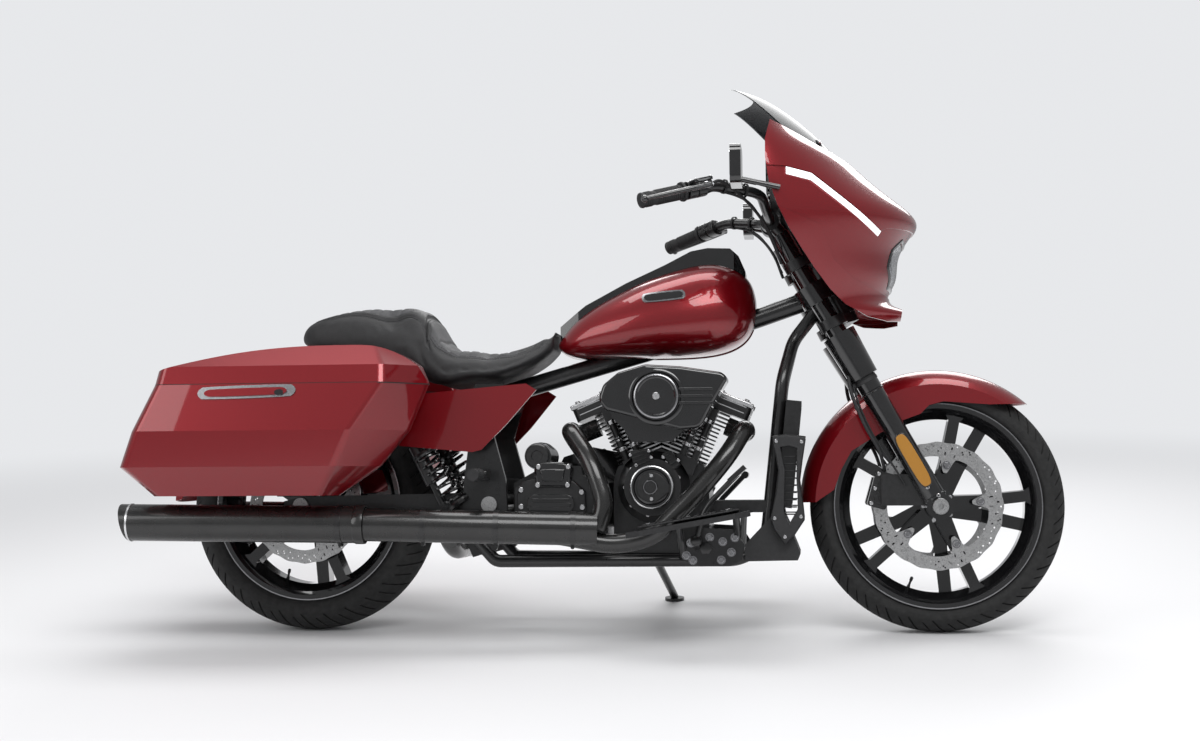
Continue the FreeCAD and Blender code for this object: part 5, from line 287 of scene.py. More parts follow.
def lathe(at, axis, profile, n=32, closed=False):
    """Profile of (along, radius) turned about an axis; zero radii close the ends."""
    a, u, w = basis(axis)
    at = Vector(at)
    verts, rings = [], []
    for along, r in profile:
        count = n if r > 0 else 1
        rings.append(list(range(len(verts), len(verts) + count)) * (n // count))
        for k in range(count):
            t = TURN * k / n
            verts.append(at + a * along + (u * math.cos(t) + w * math.sin(t)) * max(r, 0))
    faces = []
    for p, q in list(zip(rings, rings[1:])) + ([(rings[-1], rings[0])] if closed else []):
        for k in range(n):
            j = (k + 1) % n
            corners = list(dict.fromkeys((p[k], p[j], q[j], q[k])))
            if len(corners) > 2:
                faces.append(tuple(corners))
    return verts, faces


def box(x0, x1, y0, y1, z0, z1):
    """Block between two values along each axis."""
    v = [(x, y, z) for x in (x0, x1) for y in (y0, y1) for z in (z0, z1)]
    return v, [(0, 1, 3, 2), (4, 6, 7, 5), (0, 4, 5, 1), (2, 3, 7, 6), (0, 2, 6, 4), (1, 5, 7, 3)]


def slab(outline, low, high, place):
    """Flat plate between two levels; place(u, v, level) sets a point of its outline."""
    return [place(u, v, level) for level in (low, high) for u, v in outline], capped(len(outline), 2)


def plate(outline, y0, y1):
    """Flat plate from an outline of (x, z) between two y values."""
    return slab(outline, y0, y1, lambda x, z, y: (x, y, z))


def sheet_x(outline, x0, x1):
    """Flat plate from an outline of (y, z) between two x values."""
    return slab(outline, x0, x1, lambda y, z, x: (x, y, z))


def rounded(cx, cz, w, h, r, n=6):
    """Rounded rectangle outline as (u, v) pairs."""
    out = []
    for sx, sz, a0 in ((1, 1, 0), (-1, 1, 90), (-1, -1, 180), (1, -1, 270)):
        for k in range(n + 1):
            a = math.radians(a0 + 90 * k / n)
            out.append((cx + sx * (w / 2 - r) + r * math.cos(a), cz + sz * (h / 2 - r) + r * math.sin(a)))
    return out


def squarish(n, half_u, half_v, power):
    """Outline between an ellipse, at a power of 1, and a rectangle, as (u, v) pairs."""
    pairs = [(math.cos(TURN * k / n), math.sin(TURN * k / n)) for k in range(n)]
    return [(math.copysign(abs(c) ** power, c) * half_u, math.copysign(abs(s) ** power, s) * half_v)
            for c, s in pairs]


def circle(centre, r, count, start=0.0):
    """Places spread evenly round a centre, seen from the side."""
    x, y, z = centre
    return [(x + r * math.cos(a), y, z + r * math.sin(a))
            for a in np.linspace(start, start + TURN, count, endpoint=False)]


def smooth_path(points, n=12):
    """Catmull-Rom points through the given ones."""
    p = [Vector(q) for q in points]
    p = [p[0] * 2 - p[1]] + p + [p[-1] * 2 - p[-2]]
    out = []
    for before, a, b, after in zip(p, p[1:], p[2:], p[3:]):
        for t in (k / n for k in range(n)):
            out.append(0.5 * (a * 2 + (b - before) * t + (before * 2 - a * 5 + b * 4 - after) * t * t
                              + (a * 3 - before - b * 3 + after) * t ** 3))
    out.append(p[-2])
    return out


def tube(points, radius, n=12, steps=10):
    """Round tube along a smooth path."""
    path = smooth_path(points, steps) if len(points) > 2 else [Vector(q) for q in points]
    verts = []
    u = None
    for i, p in enumerate(path):
        d = (path[min(i + 1, len(path) - 1)] - path[max(i - 1, 0)]).normalized()
        u = basis(d)[1] if u is None else (u - d * u.dot(d)).normalized()
        w = d.cross(u)
        verts += [p + (u * math.cos(TURN * k / n) + w * math.sin(TURN * k / n)) * radius for k in range(n)]
    return verts, capped(n, len(path))


def bolt(at, axis, r=6.0, h=5.0, hexagon=False):
    """Socket-head bolt, or a hexagon bolt on its washer, standing on a surface."""
    if hexagon:
        return join(lathe(at, axis, [(0, 0), (0, r * 1.45), (1.2, r * 1.45), (1.2, r)], 20),
                    lathe(at, axis, [(1.2, 0), (1.2, r * 1.1), (h - 1, r * 1.1), (h, r * 0.9), (h, 0)], 6))
    return lathe(at, axis, [(-0.5, 0), (-0.5, r), (h - 1, r), (h, r - 1), (h, r * 0.52), (h * 0.45, r * 0.48),
                            (h * 0.45, 0)], 14)


def bolts(name, places, axis=TO_RIGHT, mat=MACHINED, body="frame", both=False, **head):
    """Set of bolts along one axis as one piece."""
    parts = join(*[bolt(at, axis, **head) for at in places])
    return (both_sides if both else piece)(name, parts, mat, body)


def tree_of(node):
    """Search tree of a CAD node in upright millimetres."""
    back = LEANED.inverted()
    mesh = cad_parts[node].data
    return BVHTree.FromPolygons([(back @ v.co) * 1000 for v in mesh.vertices],
                                [tuple(p.vertices) for p in mesh.polygons])


def meet(tree, start, way, near=None):
    """Where a ray meets a surface and the normal there; the point nearest to a given one where it misses."""
    hit, normal = tree.ray_cast(Vector(start), Vector(way))[:2]
    return tree.find_nearest(Vector(near or start))[:2] if hit is None else (hit, normal)


def two_skins(low, high, nu, nv):
    """Closed part between two grids of nu by nv cells, and the rim of the first grid."""
    m, n = nv + 1, len(low)
    faces = []
    for i in range(nu):
        for j in range(nv):
            quad = (i * m + j, (i + 1) * m + j, (i + 1) * m + j + 1, i * m + j + 1)
            faces += [quad, tuple(k + n for k in reversed(quad))]
    rim = [i * m for i in range(nu + 1)] + [nu * m + j for j in range(1, m)]
    rim += [i * m + nv for i in range(nu - 1, -1, -1)] + list(range(nv - 1, 0, -1))
    return (low + high, faces + [(a, b, b + n, a + n) for a, b in zip(rim, rim[1:] + rim[:1])]), rim


def drape(tree, points, way, lift):
    """Points sent along a direction on to a surface, and lifted off it."""
    out = []
    for p in points:
        hit, normal = meet(tree, p, way)
        out.append(hit + normal * (-lift if normal.dot(Vector(way)) > 0 else lift))
    return out


def patch(tree, corner, u, v, cells, way, thick, round_share, lift=0.2):
    """Plate that follows a surface: a grid over two edge vectors, rounded at its corners."""
    nu, nv = cells
    grid = []
    for i in range(nu + 1):
        for j in range(nv + 1):
            a, b = i / nu * 2 - 1, j / nv * 2 - 1
            k = 1 - round_share * (a * a * b * b)
            grid.append(Vector(corner) + Vector(u) * (a * k + 1) / 2 + Vector(v) * (b * k + 1) / 2)
    return two_skins(drape(tree, grid, way, lift), drape(tree, grid, way, lift + thick), nu, nv)[0]


# Camera, lamps and floor

CAMERA_AT = (484.0, -4387.0, 385.0)
CAMERA_TURN = (-0.121, 0.066, -0.006)
FOCAL_PIXELS = 1685.4
PHOTO_WIDTH = 1200
SENSOR = 36.0
FLOOR_HALF = 80.0


def set_camera():
    """Camera where the photograph was taken from."""
    yaw, pitch, roll = CAMERA_TURN
    ahead = Vector((math.sin(yaw) * math.cos(pitch), math.cos(yaw) * math.cos(pitch), math.sin(pitch)))
    right = Vector((math.cos(yaw), -math.sin(yaw), 0))
    up = right.cross(ahead)
    right, up = right * math.cos(roll) + up * math.sin(roll), up * math.cos(roll) - right * math.sin(roll)
    turn = Matrix((right, up, -ahead)).transposed().to_4x4()
    camera = bpy.data.cameras.new("camera")
    camera.sensor_width = SENSOR
    camera.lens = SENSOR * FOCAL_PIXELS / PHOTO_WIDTH
    camera.clip_end = 100
    o = show("camera", camera)
    o.matrix_world = LEANED @ Matrix.Translation(Vector(CAMERA_AT) / 1000) @ turn
    bpy.context.scene.camera = o


def set_floor():
    """Wide floor under the machine."""
    mesh = bpy.data.meshes.new("floor")
    corners = [(-1, -1), (1, -1), (1, 1), (-1, 1)]
    mesh.from_pydata([(x * FLOOR_HALF, y * FLOOR_HALF, 0) for x, y in corners], [], [(0, 1, 2, 3)])
    mesh.materials.append(FLOOR)
    show("floor", mesh)


def set_world():
    """Soft sky light that the camera sees as the plain backdrop."""
    world = bpy.data.worlds.new("studio")
    bpy.context.scene.world = world
    world.use_nodes = True
    nodes, link = world.node_tree.nodes, world.node_tree.links.new
    sky = nodes["Background"]
    set_inputs(sky, Color=(0.93, 0.94, 0.96, 1), Strength=0.42)
    shown = nodes.new("ShaderNodeBackground")
    set_inputs(shown, Color=BACKDROP)
    path = nodes.new("ShaderNodeLightPath")
    pick = nodes.new("ShaderNodeMixShader")
    link(path.outputs["Is Camera Ray"], pick.inputs["Fac"])
    link(sky.outputs["Background"], pick.inputs[1])
    link(shown.outputs["Background"], pick.inputs[2])
    link(pick.outputs["Shader"], nodes["World Output"].inputs["Surface"])


def lamp(name, at, size, energy, to=(0, 0, 0.6)):
    """Soft rectangular lamp that points at a place."""
    light = bpy.data.lights.new(name, "AREA")
    light.shape = "RECTANGLE"
    light.size, light.size_y = size
    light.energy = energy
    o = show(name, light)
    o.location = at
    o.rotation_euler = (Vector(to) - Vector(at)).to_track_quat("-Z", "Y").to_euler()


set_camera()
set_floor()
set_world()
lamp("key", (1.2, -3.0, 3.8), (3.4, 1.8), 120)
lamp("fill", (-3.2, -2.8, 2.2), (2.4, 2.4), 45)
lamp("top", (0, 0.3, 4.2), (4.4, 1.6), 90)
lamp("back", (0.5, 3.6, 2.8), (3.6, 2.0), 75)
bpy.context.scene.view_settings.view_transform = "Standard"


# Tyres with cut tread

TREAD_PERIODS = 30
TREAD_COLUMNS = ((0, 0), (0.10, 0), (0.115, 1), (0.185, 1), (0.20, 0), (0.40, 0), (0.60, 0), (0.61, 2), (0.665, 2),
                 (0.675, 0), (0.85, 0))
GROOVES = {0: (0.0, 0.0, 0.0), 1: (0.10, 0.93, 4.0), 2: (0.34, 0.80, 3.5)}
SHOULDER = math.radians(60.0)
GROOVE_SWEEP, GROOVE_CURVE, GROOVE_BACK, GROOVE_REACH = 0.55, 1.4, 0.18, 1.6
STAGGER, STAGGER_FROM = 0.25, 0.10
WALL_INWARD, WALL_ACROSS = 0.4, 0.9
WALL_LINE_ROW, WALL_LINE_DEPTH = 30, 0.8
TREAD_ROWS, WALL_ROWS = 25, 13
WALL_BULGE = 0.75
RIM_LIP = 13.0


def tyre(name, node, body, axle, radius, width, crown, bead_r, bead_w):
    """Tyre with curved grooves that follow its own mesh columns, staggered left and right."""
    half = [(radius - crown + crown * math.cos(a), crown * math.sin(a)) for a in np.linspace(0, SHOULDER, TREAD_ROWS)]
    r0, y0 = half[-1]
    lip = bead_r + RIM_LIP
    for s in np.linspace(0, 1, WALL_ROWS)[1:]:
        bulge = math.sin(math.pi * min(1, s * 1.02)) * (width / 2 - max(y0, bead_w / 2)) * WALL_BULGE
        half.append((r0 + (lip - r0) * s, y0 + (bead_w / 2 - y0) * s + bulge))
    half.append((bead_r, bead_w / 2 - 1))
    rows = [(r, y, 1, i) for i, (r, y) in enumerate(half)]
    rows = [(r, -y, -1, i) for r, y, _, i in reversed(rows)][:-1] + rows
    verts = []
    for period in range(TREAD_PERIODS):
        for share, cut in TREAD_COLUMNS:
            low, high, groove = GROOVES[cut]
            for r, y, side, i in rows:
                t = i / (TREAD_ROWS - 1)
                skew = GROOVE_SWEEP * min(t, 1.0) ** GROOVE_CURVE - GROOVE_BACK * min(t, 1.0)
                stagger = side * STAGGER * min(1.0, t / STAGGER_FROM)
                depth = groove if low <= t <= high else 0.0
                if i == WALL_LINE_ROW:
                    depth = WALL_LINE_DEPTH
                angle = TURN * ((period + share) + (skew + stagger) * GROOVE_REACH) / TREAD_PERIODS
                a = math.atan2(y, r - radius + crown)
                inward, across = (math.cos(a), abs(math.sin(a))) if t <= 1 else (WALL_INWARD, WALL_ACROSS)
                out = r - depth * inward
                verts.append((axle[0] + out * math.sin(angle), axle[1] + y - side * depth * across,
                              axle[2] + out * math.cos(angle)))
    columns = TREAD_PERIODS * len(TREAD_COLUMNS)
    o = piece(name, (verts, band(len(rows), columns, endless=True)), TREAD, body, angle=30)
    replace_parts(o, node)


tyre("front_tyre_tread", "front_tyre", "front_wheel", FRONT_AXLE, 319.3, 130.0, crown=68.0, bead_r=246.0,
     bead_w=96.0)
tyre("rear_tyre_tread", "rear_tyre", "rear_wheel", REAR_AXLE, 327.6, 178.0, crown=95.0, bead_r=234.0,
     bead_w=140.0)


# Wheel trim and brakes

SPOKE_START = 12.0
SPOKE_TWIST = 19.0
FRONT_DISC_Y, REAR_DISC_Y = 76.0, -100.0
FRONT_DISC_R, REAR_DISC_R = 160.0, 150.0
DISC_RINGS = (0.0, 0.14, 0.30, 0.42, 0.54, 0.66, 0.78, 0.90, 1.0)
DISC_HOLES = {(2, 0), (2, 12), (3, 5), (4, 2), (4, 16), (5, 9), (6, 20), (6, 12), (3, 17), (5, 21)}
DISC_HALF = 2.5
DISC_BAND, DISC_BOLTS_IN = 33.0, 56.0
LOBE, LOBE_HALF_ANGLE, LOBE_FOOT, LOBE_FOOT_HALF_ANGLE = 38.0, 0.125, 5.0, 0.3
WAVE, WAVES = 1.2, 20
DISC_COLUMNS, HOLE_COLUMNS = 240, 24
LIP_OUT, HUB_BOLTS_R = 8.3, 37
VALVE_ANGLE, VALVE_IN, VALVE_LEAN = math.radians(200), 28, 0.55


def drilled_disc(name, axle, faces_y, radius, body, node, head):
    """Brake disc: a drilled band whose five lobes are bolted to the wheel's bosses."""
    bands, fasteners = [], []
    n, m = DISC_COLUMNS, len(DISC_RINGS)
    for y in faces_y:
        side = 1 if y > 0 else -1
        lobes = [math.radians(SPOKE_START + 72 * k + (SPOKE_TWIST if side > 0 else 0)) for k in range(5)]
        verts, cells = [], []
        for layer in (-DISC_HALF, DISC_HALF):
            for share in DISC_RINGS:
                for t in (TURN * k / n for k in range(n)):
                    gap = min(abs((t - a + math.pi) % TURN - math.pi) for a in lobes)
                    lobe = LOBE * math.exp(-(gap / LOBE_HALF_ANGLE) ** 4)
                    lobe += LOBE_FOOT * math.exp(-(gap / LOBE_FOOT_HALF_ANGLE) ** 2)
                    low = radius - DISC_BAND - lobe * (1 - share)
                    wave = WAVE * math.cos(WAVES * t) if share == 1.0 else 0
                    r = low + (radius - low) * share + wave
                    verts.append((axle[0] + r * math.sin(t), y + layer, axle[2] + r * math.cos(t)))
        for number, quad in enumerate(band(n, m)):
            top = tuple(q + m * n for q in quad)
            if (number // n, number % n % HOLE_COLUMNS) in DISC_HOLES:
                cells += [(quad[a], quad[b], top[b], top[a]) for a, b in ((0, 1), (1, 2), (2, 3), (3, 0))]
            else:
                cells += [quad, top]
        for ring in (0, (m - 1) * n):
            cells += [tuple(ring + q for q in (k, (k + 1) % n, m * n + (k + 1) % n, m * n + k)) for k in range(n)]
        bands.append((verts, cells))
        r = radius - DISC_BOLTS_IN
        fasteners += [bolt((axle[0] + r * math.sin(a), y + side * DISC_HALF, axle[2] + r * math.cos(a)),
                           (0, side, 0), 7.5, head, hexagon=True) for a in lobes]
    o = piece(name + "_band", join(*bands), STEEL, body, angle=40)
    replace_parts(o, node)
    piece(name + "_bolts", join(*fasteners), EDGE, body)


drilled_disc("front_disc", FRONT_AXLE, (-FRONT_DISC_Y, FRONT_DISC_Y), FRONT_DISC_R, "front_wheel", "front_discs", 7.0)
drilled_disc("back_disc", REAR_AXLE, (REAR_DISC_Y,), REAR_DISC_R, "rear_wheel", "rear_disc", 2.5)


def wheel_trim(name, axle, bead_r, bead_w, hub_width):
    """Machined edge on both rim lips, the valve and the hub bolts."""
    lip_y = bead_w / 2 + LIP_OUT
    lip_r = bead_r + RIM_LIP
    edge = [(-1.0, lip_r + 0.4), (0.4, lip_r + 0.2), (0.5, lip_r - 2.6), (-1.0, lip_r - 3.2)]
    piece(name + "_lips", join(*[lathe((axle[0], side * lip_y, axle[2]), (0, side, 0), edge, 160, closed=True)
                                 for side in (-1, 1)]), EDGE, name)
    way = Vector((math.sin(VALVE_ANGLE), 0, math.cos(VALVE_ANGLE)))
    start = Vector(axle) + way * (bead_r - VALVE_IN) - Vector((0, 0.18 * bead_w, 0))
    stem = [(-4, 4.5), (4, 4.2), (6, 3.0), (20, 3.0), (20, 4.0), (29, 4.0), (30, 3.0), (30, 0)]
    piece(name + "_valve", lathe(start, -way - Vector((0, VALVE_LEAN, 0)), stem, 14), RUBBER, name)
    places = circle((axle[0], 1 - hub_width / 2, axle[2]), HUB_BOLTS_R, 5, math.pi / 5)
    bolts(name + "_hub_bolts", places, body=name, both=True, r=5.5, h=6)


wheel_trim("front_wheel", FRONT_AXLE, 246.0, 96.0, 128.0)
wheel_trim("rear_wheel", REAR_AXLE, 234.0, 140.0, 176.0)


# Engine

CRANK = Vector((118.0, 0.0, 370.0))
TILT = math.radians(22.5)
FIN_FOOT, FIN_STEP, FIN_COUNT, WIDE_FINS_FROM = 92.0, 10.5, 14, 10
HEAD_FOOT = FIN_FOOT + FIN_COUNT * FIN_STEP
FIN_HALF_WIDE, FIN_HALF_NARROW, FIN_HALF_DEPTH, FIN_CORNER = 92.0, 82.0, 78.0, 26.0
FIN_RISE, FIN_THICK, FIN_IN, FIN_GAP = 3.25, 4.0, 1.6, 0.35
ROCKER_TOP, ROCKER_SEAMS, SEAM_HALF = 45.5, (15.0, 31.0), 1.2


def tilt(points, side):
    """Points drawn for an upright cylinder, set on the crank at its own lean; side is 1 front, -1 rear."""
    turn = Matrix.Rotation(side * TILT, 3, "Y")
    return [CRANK + turn @ Vector((side * p[0], p[1], p[2])) for p in points]


def on_cylinder(part, side):
    """Part drawn for an upright cylinder, set in its place."""
    return tilt(part[0], side), part[1]


def keep_half(o, side):
    """Cuts a piece off at the plane between the two cylinders."""
    b = bmesh.new()
    b.from_mesh(o.data)
    bmesh.ops.bisect_plane(b, geom=b.verts[:] + b.edges[:] + b.faces[:],
                           plane_co=((CRANK.x + side * 0.4) / 1000, 0, 0), plane_no=(-side, 0, 0), clear_outer=True)
    b.to_mesh(o.data)
    b.free()


def fin_edges(side):
    """Bright machined band round each cooling fin."""
    parts = []
    for fin in range(FIN_COUNT):
        z0 = FIN_FOOT + fin * FIN_STEP + FIN_RISE
        half_x = FIN_HALF_WIDE if fin >= WIDE_FINS_FROM else FIN_HALF_NARROW
        half_y, c = FIN_HALF_DEPTH, FIN_CORNER
        levels = ((z0 + 0.2, -FIN_IN), (z0, 0.0), (z0 + FIN_THICK, 0.0), (z0 + FIN_THICK - 0.2, -FIN_IN))
        corner = [(half_x + FIN_GAP, half_y - c), (half_x - c, half_y + FIN_GAP)]
        outline = [(half_x + FIN_GAP, c - half_y), *corner] + [(-x, y) for x, y in reversed(corner)]
        outline += [(-x, -y) for x, y in corner] + [(half_x - c, -half_y - FIN_GAP)]
        v = [(x * (half_x + grow) / half_x, y * (half_y + grow) / half_y, z)
             for z, grow in levels for x, y in outline]
        parts.append((v, band(len(outline), 4)))
    o = piece("fin_edges_" + ENDS[side], on_cylinder(join(*parts), side), MACHINED, slot="engine_black", angle=20)
    keep_half(o, side)


def head_dress(side):
    """The rocker box's bolts and two gasket lines, and the spark plug lead."""
    foot, up = tilt([(0, 0, 0), (0, 0, 1)], side)
    places = tilt([(x, y, HEAD_FOOT + ROCKER_TOP) for x in (-78, -20, 50, 118) for y in (-60, 60)], side)
    bolts("rocker_bolts_" + ENDS[side], places, up - foot, r=6.5, h=6)
    outline = rounded(21, 0, 234.8, 148.8, 20.4)
    seams = [([(x, y, HEAD_FOOT + z) for z in (seam - SEAM_HALF, seam + SEAM_HALF) for x, y in outline],
              band(len(outline), 2)) for seam in ROCKER_SEAMS]
    piece("rocker_seams_" + ENDS[side], on_cylinder(join(*seams), side), MACHINED)
    lead = [(26, -76, HEAD_FOOT - 12), (30, -98, HEAD_FOOT - 14), (44, -112, HEAD_FOOT + 4), (50, -104, HEAD_FOOT + 40)]
    boot = lathe((26, -66, HEAD_FOOT - 11), (0.1, -1, -0.05), [(0, 9), (22, 9), (24, 7), (34, 6.5), (34, 0)], 18)
    piece("plug_lead_" + ENDS[side], join(tube(tilt(lead, side), 4.5), on_cylinder(boot, side)), RUBBER)


def pushrod_dress(side):
    """Bright collars and clips on the pushrod tubes."""
    parts = [lathe((x, -112.0, z0), (0, 0, 1), [(0, 9), (0, r - 1), (1, r), (z1 - z0 - 1, r), (z1 - z0, r - 1),
                                                (z1 - z0, 9)], 24)
             for x in (20.0, 52.0) for z0, z1, r in ((122, 132, 12.5), (150, 154, 10.6), (158, 160, 10.6),
                                                     (196, 207, 12.8))]
    piece("pushrod_collars_" + ENDS[side], on_cylinder(join(*parts), side), MACHINED)


for side in (1, -1):
    fin_edges(side)
    head_dress(side)
    pushrod_dress(side)

CAM = Vector((100.0, -172.3, 371.0))
AIR_COVER = Vector((122.0, -276.0, 594.0))
piece("cam_ring", join(
    lathe(CAM, TO_RIGHT, [(-3, 54.4), (1.5, 54.4), (3.5, 52), (3.5, 46), (1.2, 43.5), (0.6, 43)], 96),
    lathe(CAM, TO_RIGHT, [(0.4, 43), (1.0, 40), (2.2, 20), (2.6, 0)], 64)), GLOSS)
piece("cam_ring_edge", lathe(CAM, TO_RIGHT, [(1.0, 54.9), (2.4, 54.6), (3.9, 52.2), (3.9, 50.6), (3.3, 50.6)], 96),
      MACHINED)
bolts("cam_bolts", [CAM + Vector((0, -5, dz)) for dz in (-29, 29)], r=5, h=4)
bolts("chest_bolts", circle((CAM.x, -146.5, CAM.z), 70, 9, math.radians(20)), r=5, h=5)
piece("air_cover_ring", lathe(AIR_COVER, TO_RIGHT, [(-2, 54.6), (1.2, 54.6), (3.4, 52), (3.4, 47), (1.0, 44),
                                                    (1.4, 10), (1.4, 0)], 96), GLOSS)
piece("air_cover_edge", lathe(AIR_COVER, TO_RIGHT, [(1.2, 55.0), (2.2, 54.8), (3.9, 52.2), (3.9, 50.4),
                                                    (3.2, 50.4)], 96), EDGE)
bolts("air_cover_bolt", [AIR_COVER - Vector((0, 1, 0))], r=9, h=6)


# Fork and front brake

FORK = math.radians(29.25)
ALONG_FORK = Vector((-math.sin(FORK), 0, math.cos(FORK)))
ACROSS_FORK = Vector((math.cos(FORK), 0, math.sin(FORK)))
LEG_Y = 115.0
SEAL_Z, LOW_RING_Z, TOP_RING_Z, REFLECTOR_Z, PINCH_Z = 640.0, 338.0, 604.0, 434.0, 353
CALIPER_HALF = 23.0


def leg(side, z):
    """Point on a fork leg's axis at a height."""
    return Vector((FRONT_AXLE[0] - (z - FRONT_AXLE[2]) * math.tan(FORK), side * LEG_Y, z))


def fork_dress():
    """Seals, rings, side reflectors, pinch bolts, brake hoses with their clips, and axle nuts."""
    seal = [(-12, 29.3), (-12, 30.6), (-4, 30.6), (-3, 29.6), (2, 29.6), (3, 27.5), (3, 24.6)]
    both_sides("fork_seals", lathe(leg(-1, SEAL_Z), ALONG_FORK, seal, 48), RUBBER, "steering")
    rings = join(lathe(leg(-1, LOW_RING_Z), ALONG_FORK, [(0, 29.4), (2, 31.5), (7, 31.5), (9, 29.4)], 48),
                 lathe(leg(-1, TOP_RING_Z), ALONG_FORK, [(0, 29.4), (1.5, 31.0), (4.5, 31.0), (6, 29.4)], 48))
    both_sides("fork_rings", rings, GLOSS, "steering")
    for name, half, y0, y1, mat, bevel in (("fork_reflector_bases", 25.0, -141.0, -147.5, GLOSS, 1.5),
                                           ("fork_reflectors", 22.0, -143.5, -150.0, AMBER, 1.8)):
        outline = [leg(-1, REFLECTOR_Z) + ALONG_FORK * along + ACROSS_FORK * across
                   for across, along in squarish(24, half - 6, half + 50, 0.55)]
        both_sides(name, plate([(p.x, p.z) for p in outline], y0, y1), mat, "steering", bevel=bevel)
    places = [leg(-1, PINCH_Z) + Vector(step) for step in ((14, -26, -6), (-12, -26, 14))]
    bolts("fork_pinch_bolts", places, body="steering", both=True, r=5, h=6)
    hose = tube([(592, -128, 655), (600, -146, 600), (632, -150, 520), (664, -140, 462), (676, -112, 426),
                 (680, -96, 408)], 4.6)
    wire = tube([(600, -120, 655), (612, -138, 590), (650, -139, 500), (700, -132, 420), (730, -118, 372)], 2.6)
    both_sides("brake_hoses", join(hose, wire), RUBBER, "steering")
    clip = lathe((613, -147.5, 566), (0.52, -0.08, -0.85), [(-5, 5), (-5, 7), (5, 7), (5, 5)], 16)
    both_sides("hose_clips", clip, SATIN, "steering")
    nut = lathe((FRONT_AXLE[0], -160.5, FRONT_AXLE[2]), TO_RIGHT, [(-6, 20.4), (-2, 20.4), (0.2, 19), (0.6, 7)], 36)
    both_sides("axle_nuts", nut, STEEL, "steering")


def caliper_dress(name, axle, disc_y, radius, angle, body):
    """Pistons' caps, ribs, bridge bolts and bleed nipple on a caliper."""
    a = math.radians(angle)
    radial = Vector((-math.cos(a), 0, math.sin(a)))
    along = Vector((math.sin(a), 0, math.cos(a)))
    centre = Vector(axle) + radial * (radius - 12) + Vector((0, disc_y, 0))
    caps, pins, ribs = [], [], []
    for side in (-1, 1):
        face = centre + Vector((0, side * CALIPER_HALF, 0))
        caps += [lathe(face + along * step - radial * 4, (0, side, 0),
                       [(-0.5, 15.5), (2.2, 15.5), (3.2, 14.2), (3.2, 6), (2, 5), (2, 0)], 32) for step in (-20, 20)]
        pins += [bolt(face + along * step + radial * 15, (0, side, 0), 5.2, 5) for step in (-38, 0, 38)]
        for step in (-32, -8, 8, 32):
            p = [face + along * (step + d) + radial * r for r, d in ((8, -2), (22, -2), (22, 2), (8, 2))]
            ribs.append(plate([(q.x, q.z) for q in p], face.y - side, face.y + side * 2.2))
    nipple = [(-2, 4.5), (5, 4.5), (5, 3), (12, 3), (13, 2), (13, 0)]
    pins.append(lathe(centre + along * 44, along + radial * 0.5, nipple, 12))
    piece(name + "_caps", join(*caps), SATIN, body)
    piece(name + "_ribs", join(*ribs), CASTING, body, "black_metal", bevel=0.6)
    piece(name + "_bolts", join(*pins), MACHINED, body)


fork_dress()
caliper_dress("right_caliper", FRONT_AXLE, -FRONT_DISC_Y, FRONT_DISC_R, 16.0, "steering")
caliper_dress("left_caliper", FRONT_AXLE, FRONT_DISC_Y, FRONT_DISC_R, 16.0, "steering")
caliper_dress("back_caliper", REAR_AXLE, REAR_DISC_Y, REAR_DISC_R, 62.0, "frame")


# Gearbox, starter, primary cover and exhaust

STARTER = (-192.0, 452.0)
PRIMARY_Y = 178.5
MUFFLER_FRONT = Vector((-602.0, -300.0, 283.0))
MUFFLER_BACK = Vector((-1222.0, -322.0, 291.0))
PIPE_FRONT = Vector((-30.4, -234.8, 268.2))
MUFFLER_R, PIPE_R = 46.3, 41.4

piece("starter_ribs", join(*[lathe((STARTER[0], y, STARTER[1]), TO_RIGHT, [(0, 33), (0, 35.4), (2.4, 35.4), (2.4, 33)],
                                   48) for y in (-60, -72, -84, -96)]), GLOSS)
bolts("primary_bolts", [(x, PRIMARY_Y - 10, z) for x, z in (
    (-170, 300), (-80, 272), (10, 272), (110, 278), (200, 300), (232, 360), (206, 430), (140, 458), (30, 452),
    (-60, 470), (-150, 450), (-184, 380))], TO_LEFT, r=5.5, h=14)
piece("primary_round_cover", lathe((-72.0, PRIMARY_Y, 372.0), TO_LEFT, [(-4, 62), (2, 62), (5, 58), (6, 50),
                                                                        (6.5, 20), (6.5, 0)], 96), GLOSS)
bolts("primary_round_bolts", circle((-72.0, PRIMARY_Y + 4, 372.0), 54, 5, 0.3), TO_LEFT, r=5, h=4)
piece("primary_small_cover", lathe((118.0, PRIMARY_Y, 366.0), TO_LEFT, [(-4, 44), (2, 44), (4, 41), (5, 34), (5, 0)],
                                   72), GLOSS)


def clamp_band(at, axis, r, width=13.0):
    """Worm-drive band round a pipe with its screw housing."""
    _, u, w = basis(axis)
    half = width / 2
    strap = lathe(at, axis, [(-half, r), (-half, r + 1.4), (half, r + 1.4), (half, r)], 56, closed=True)
    screw_at = Vector(at) + w * (r + 4) - u * 9
    return join(strap, lathe(screw_at, u, [(0, 0), (0, 4.5), (14, 4.5), (14, 5.5), (19, 5.5), (19, 0)], 10))


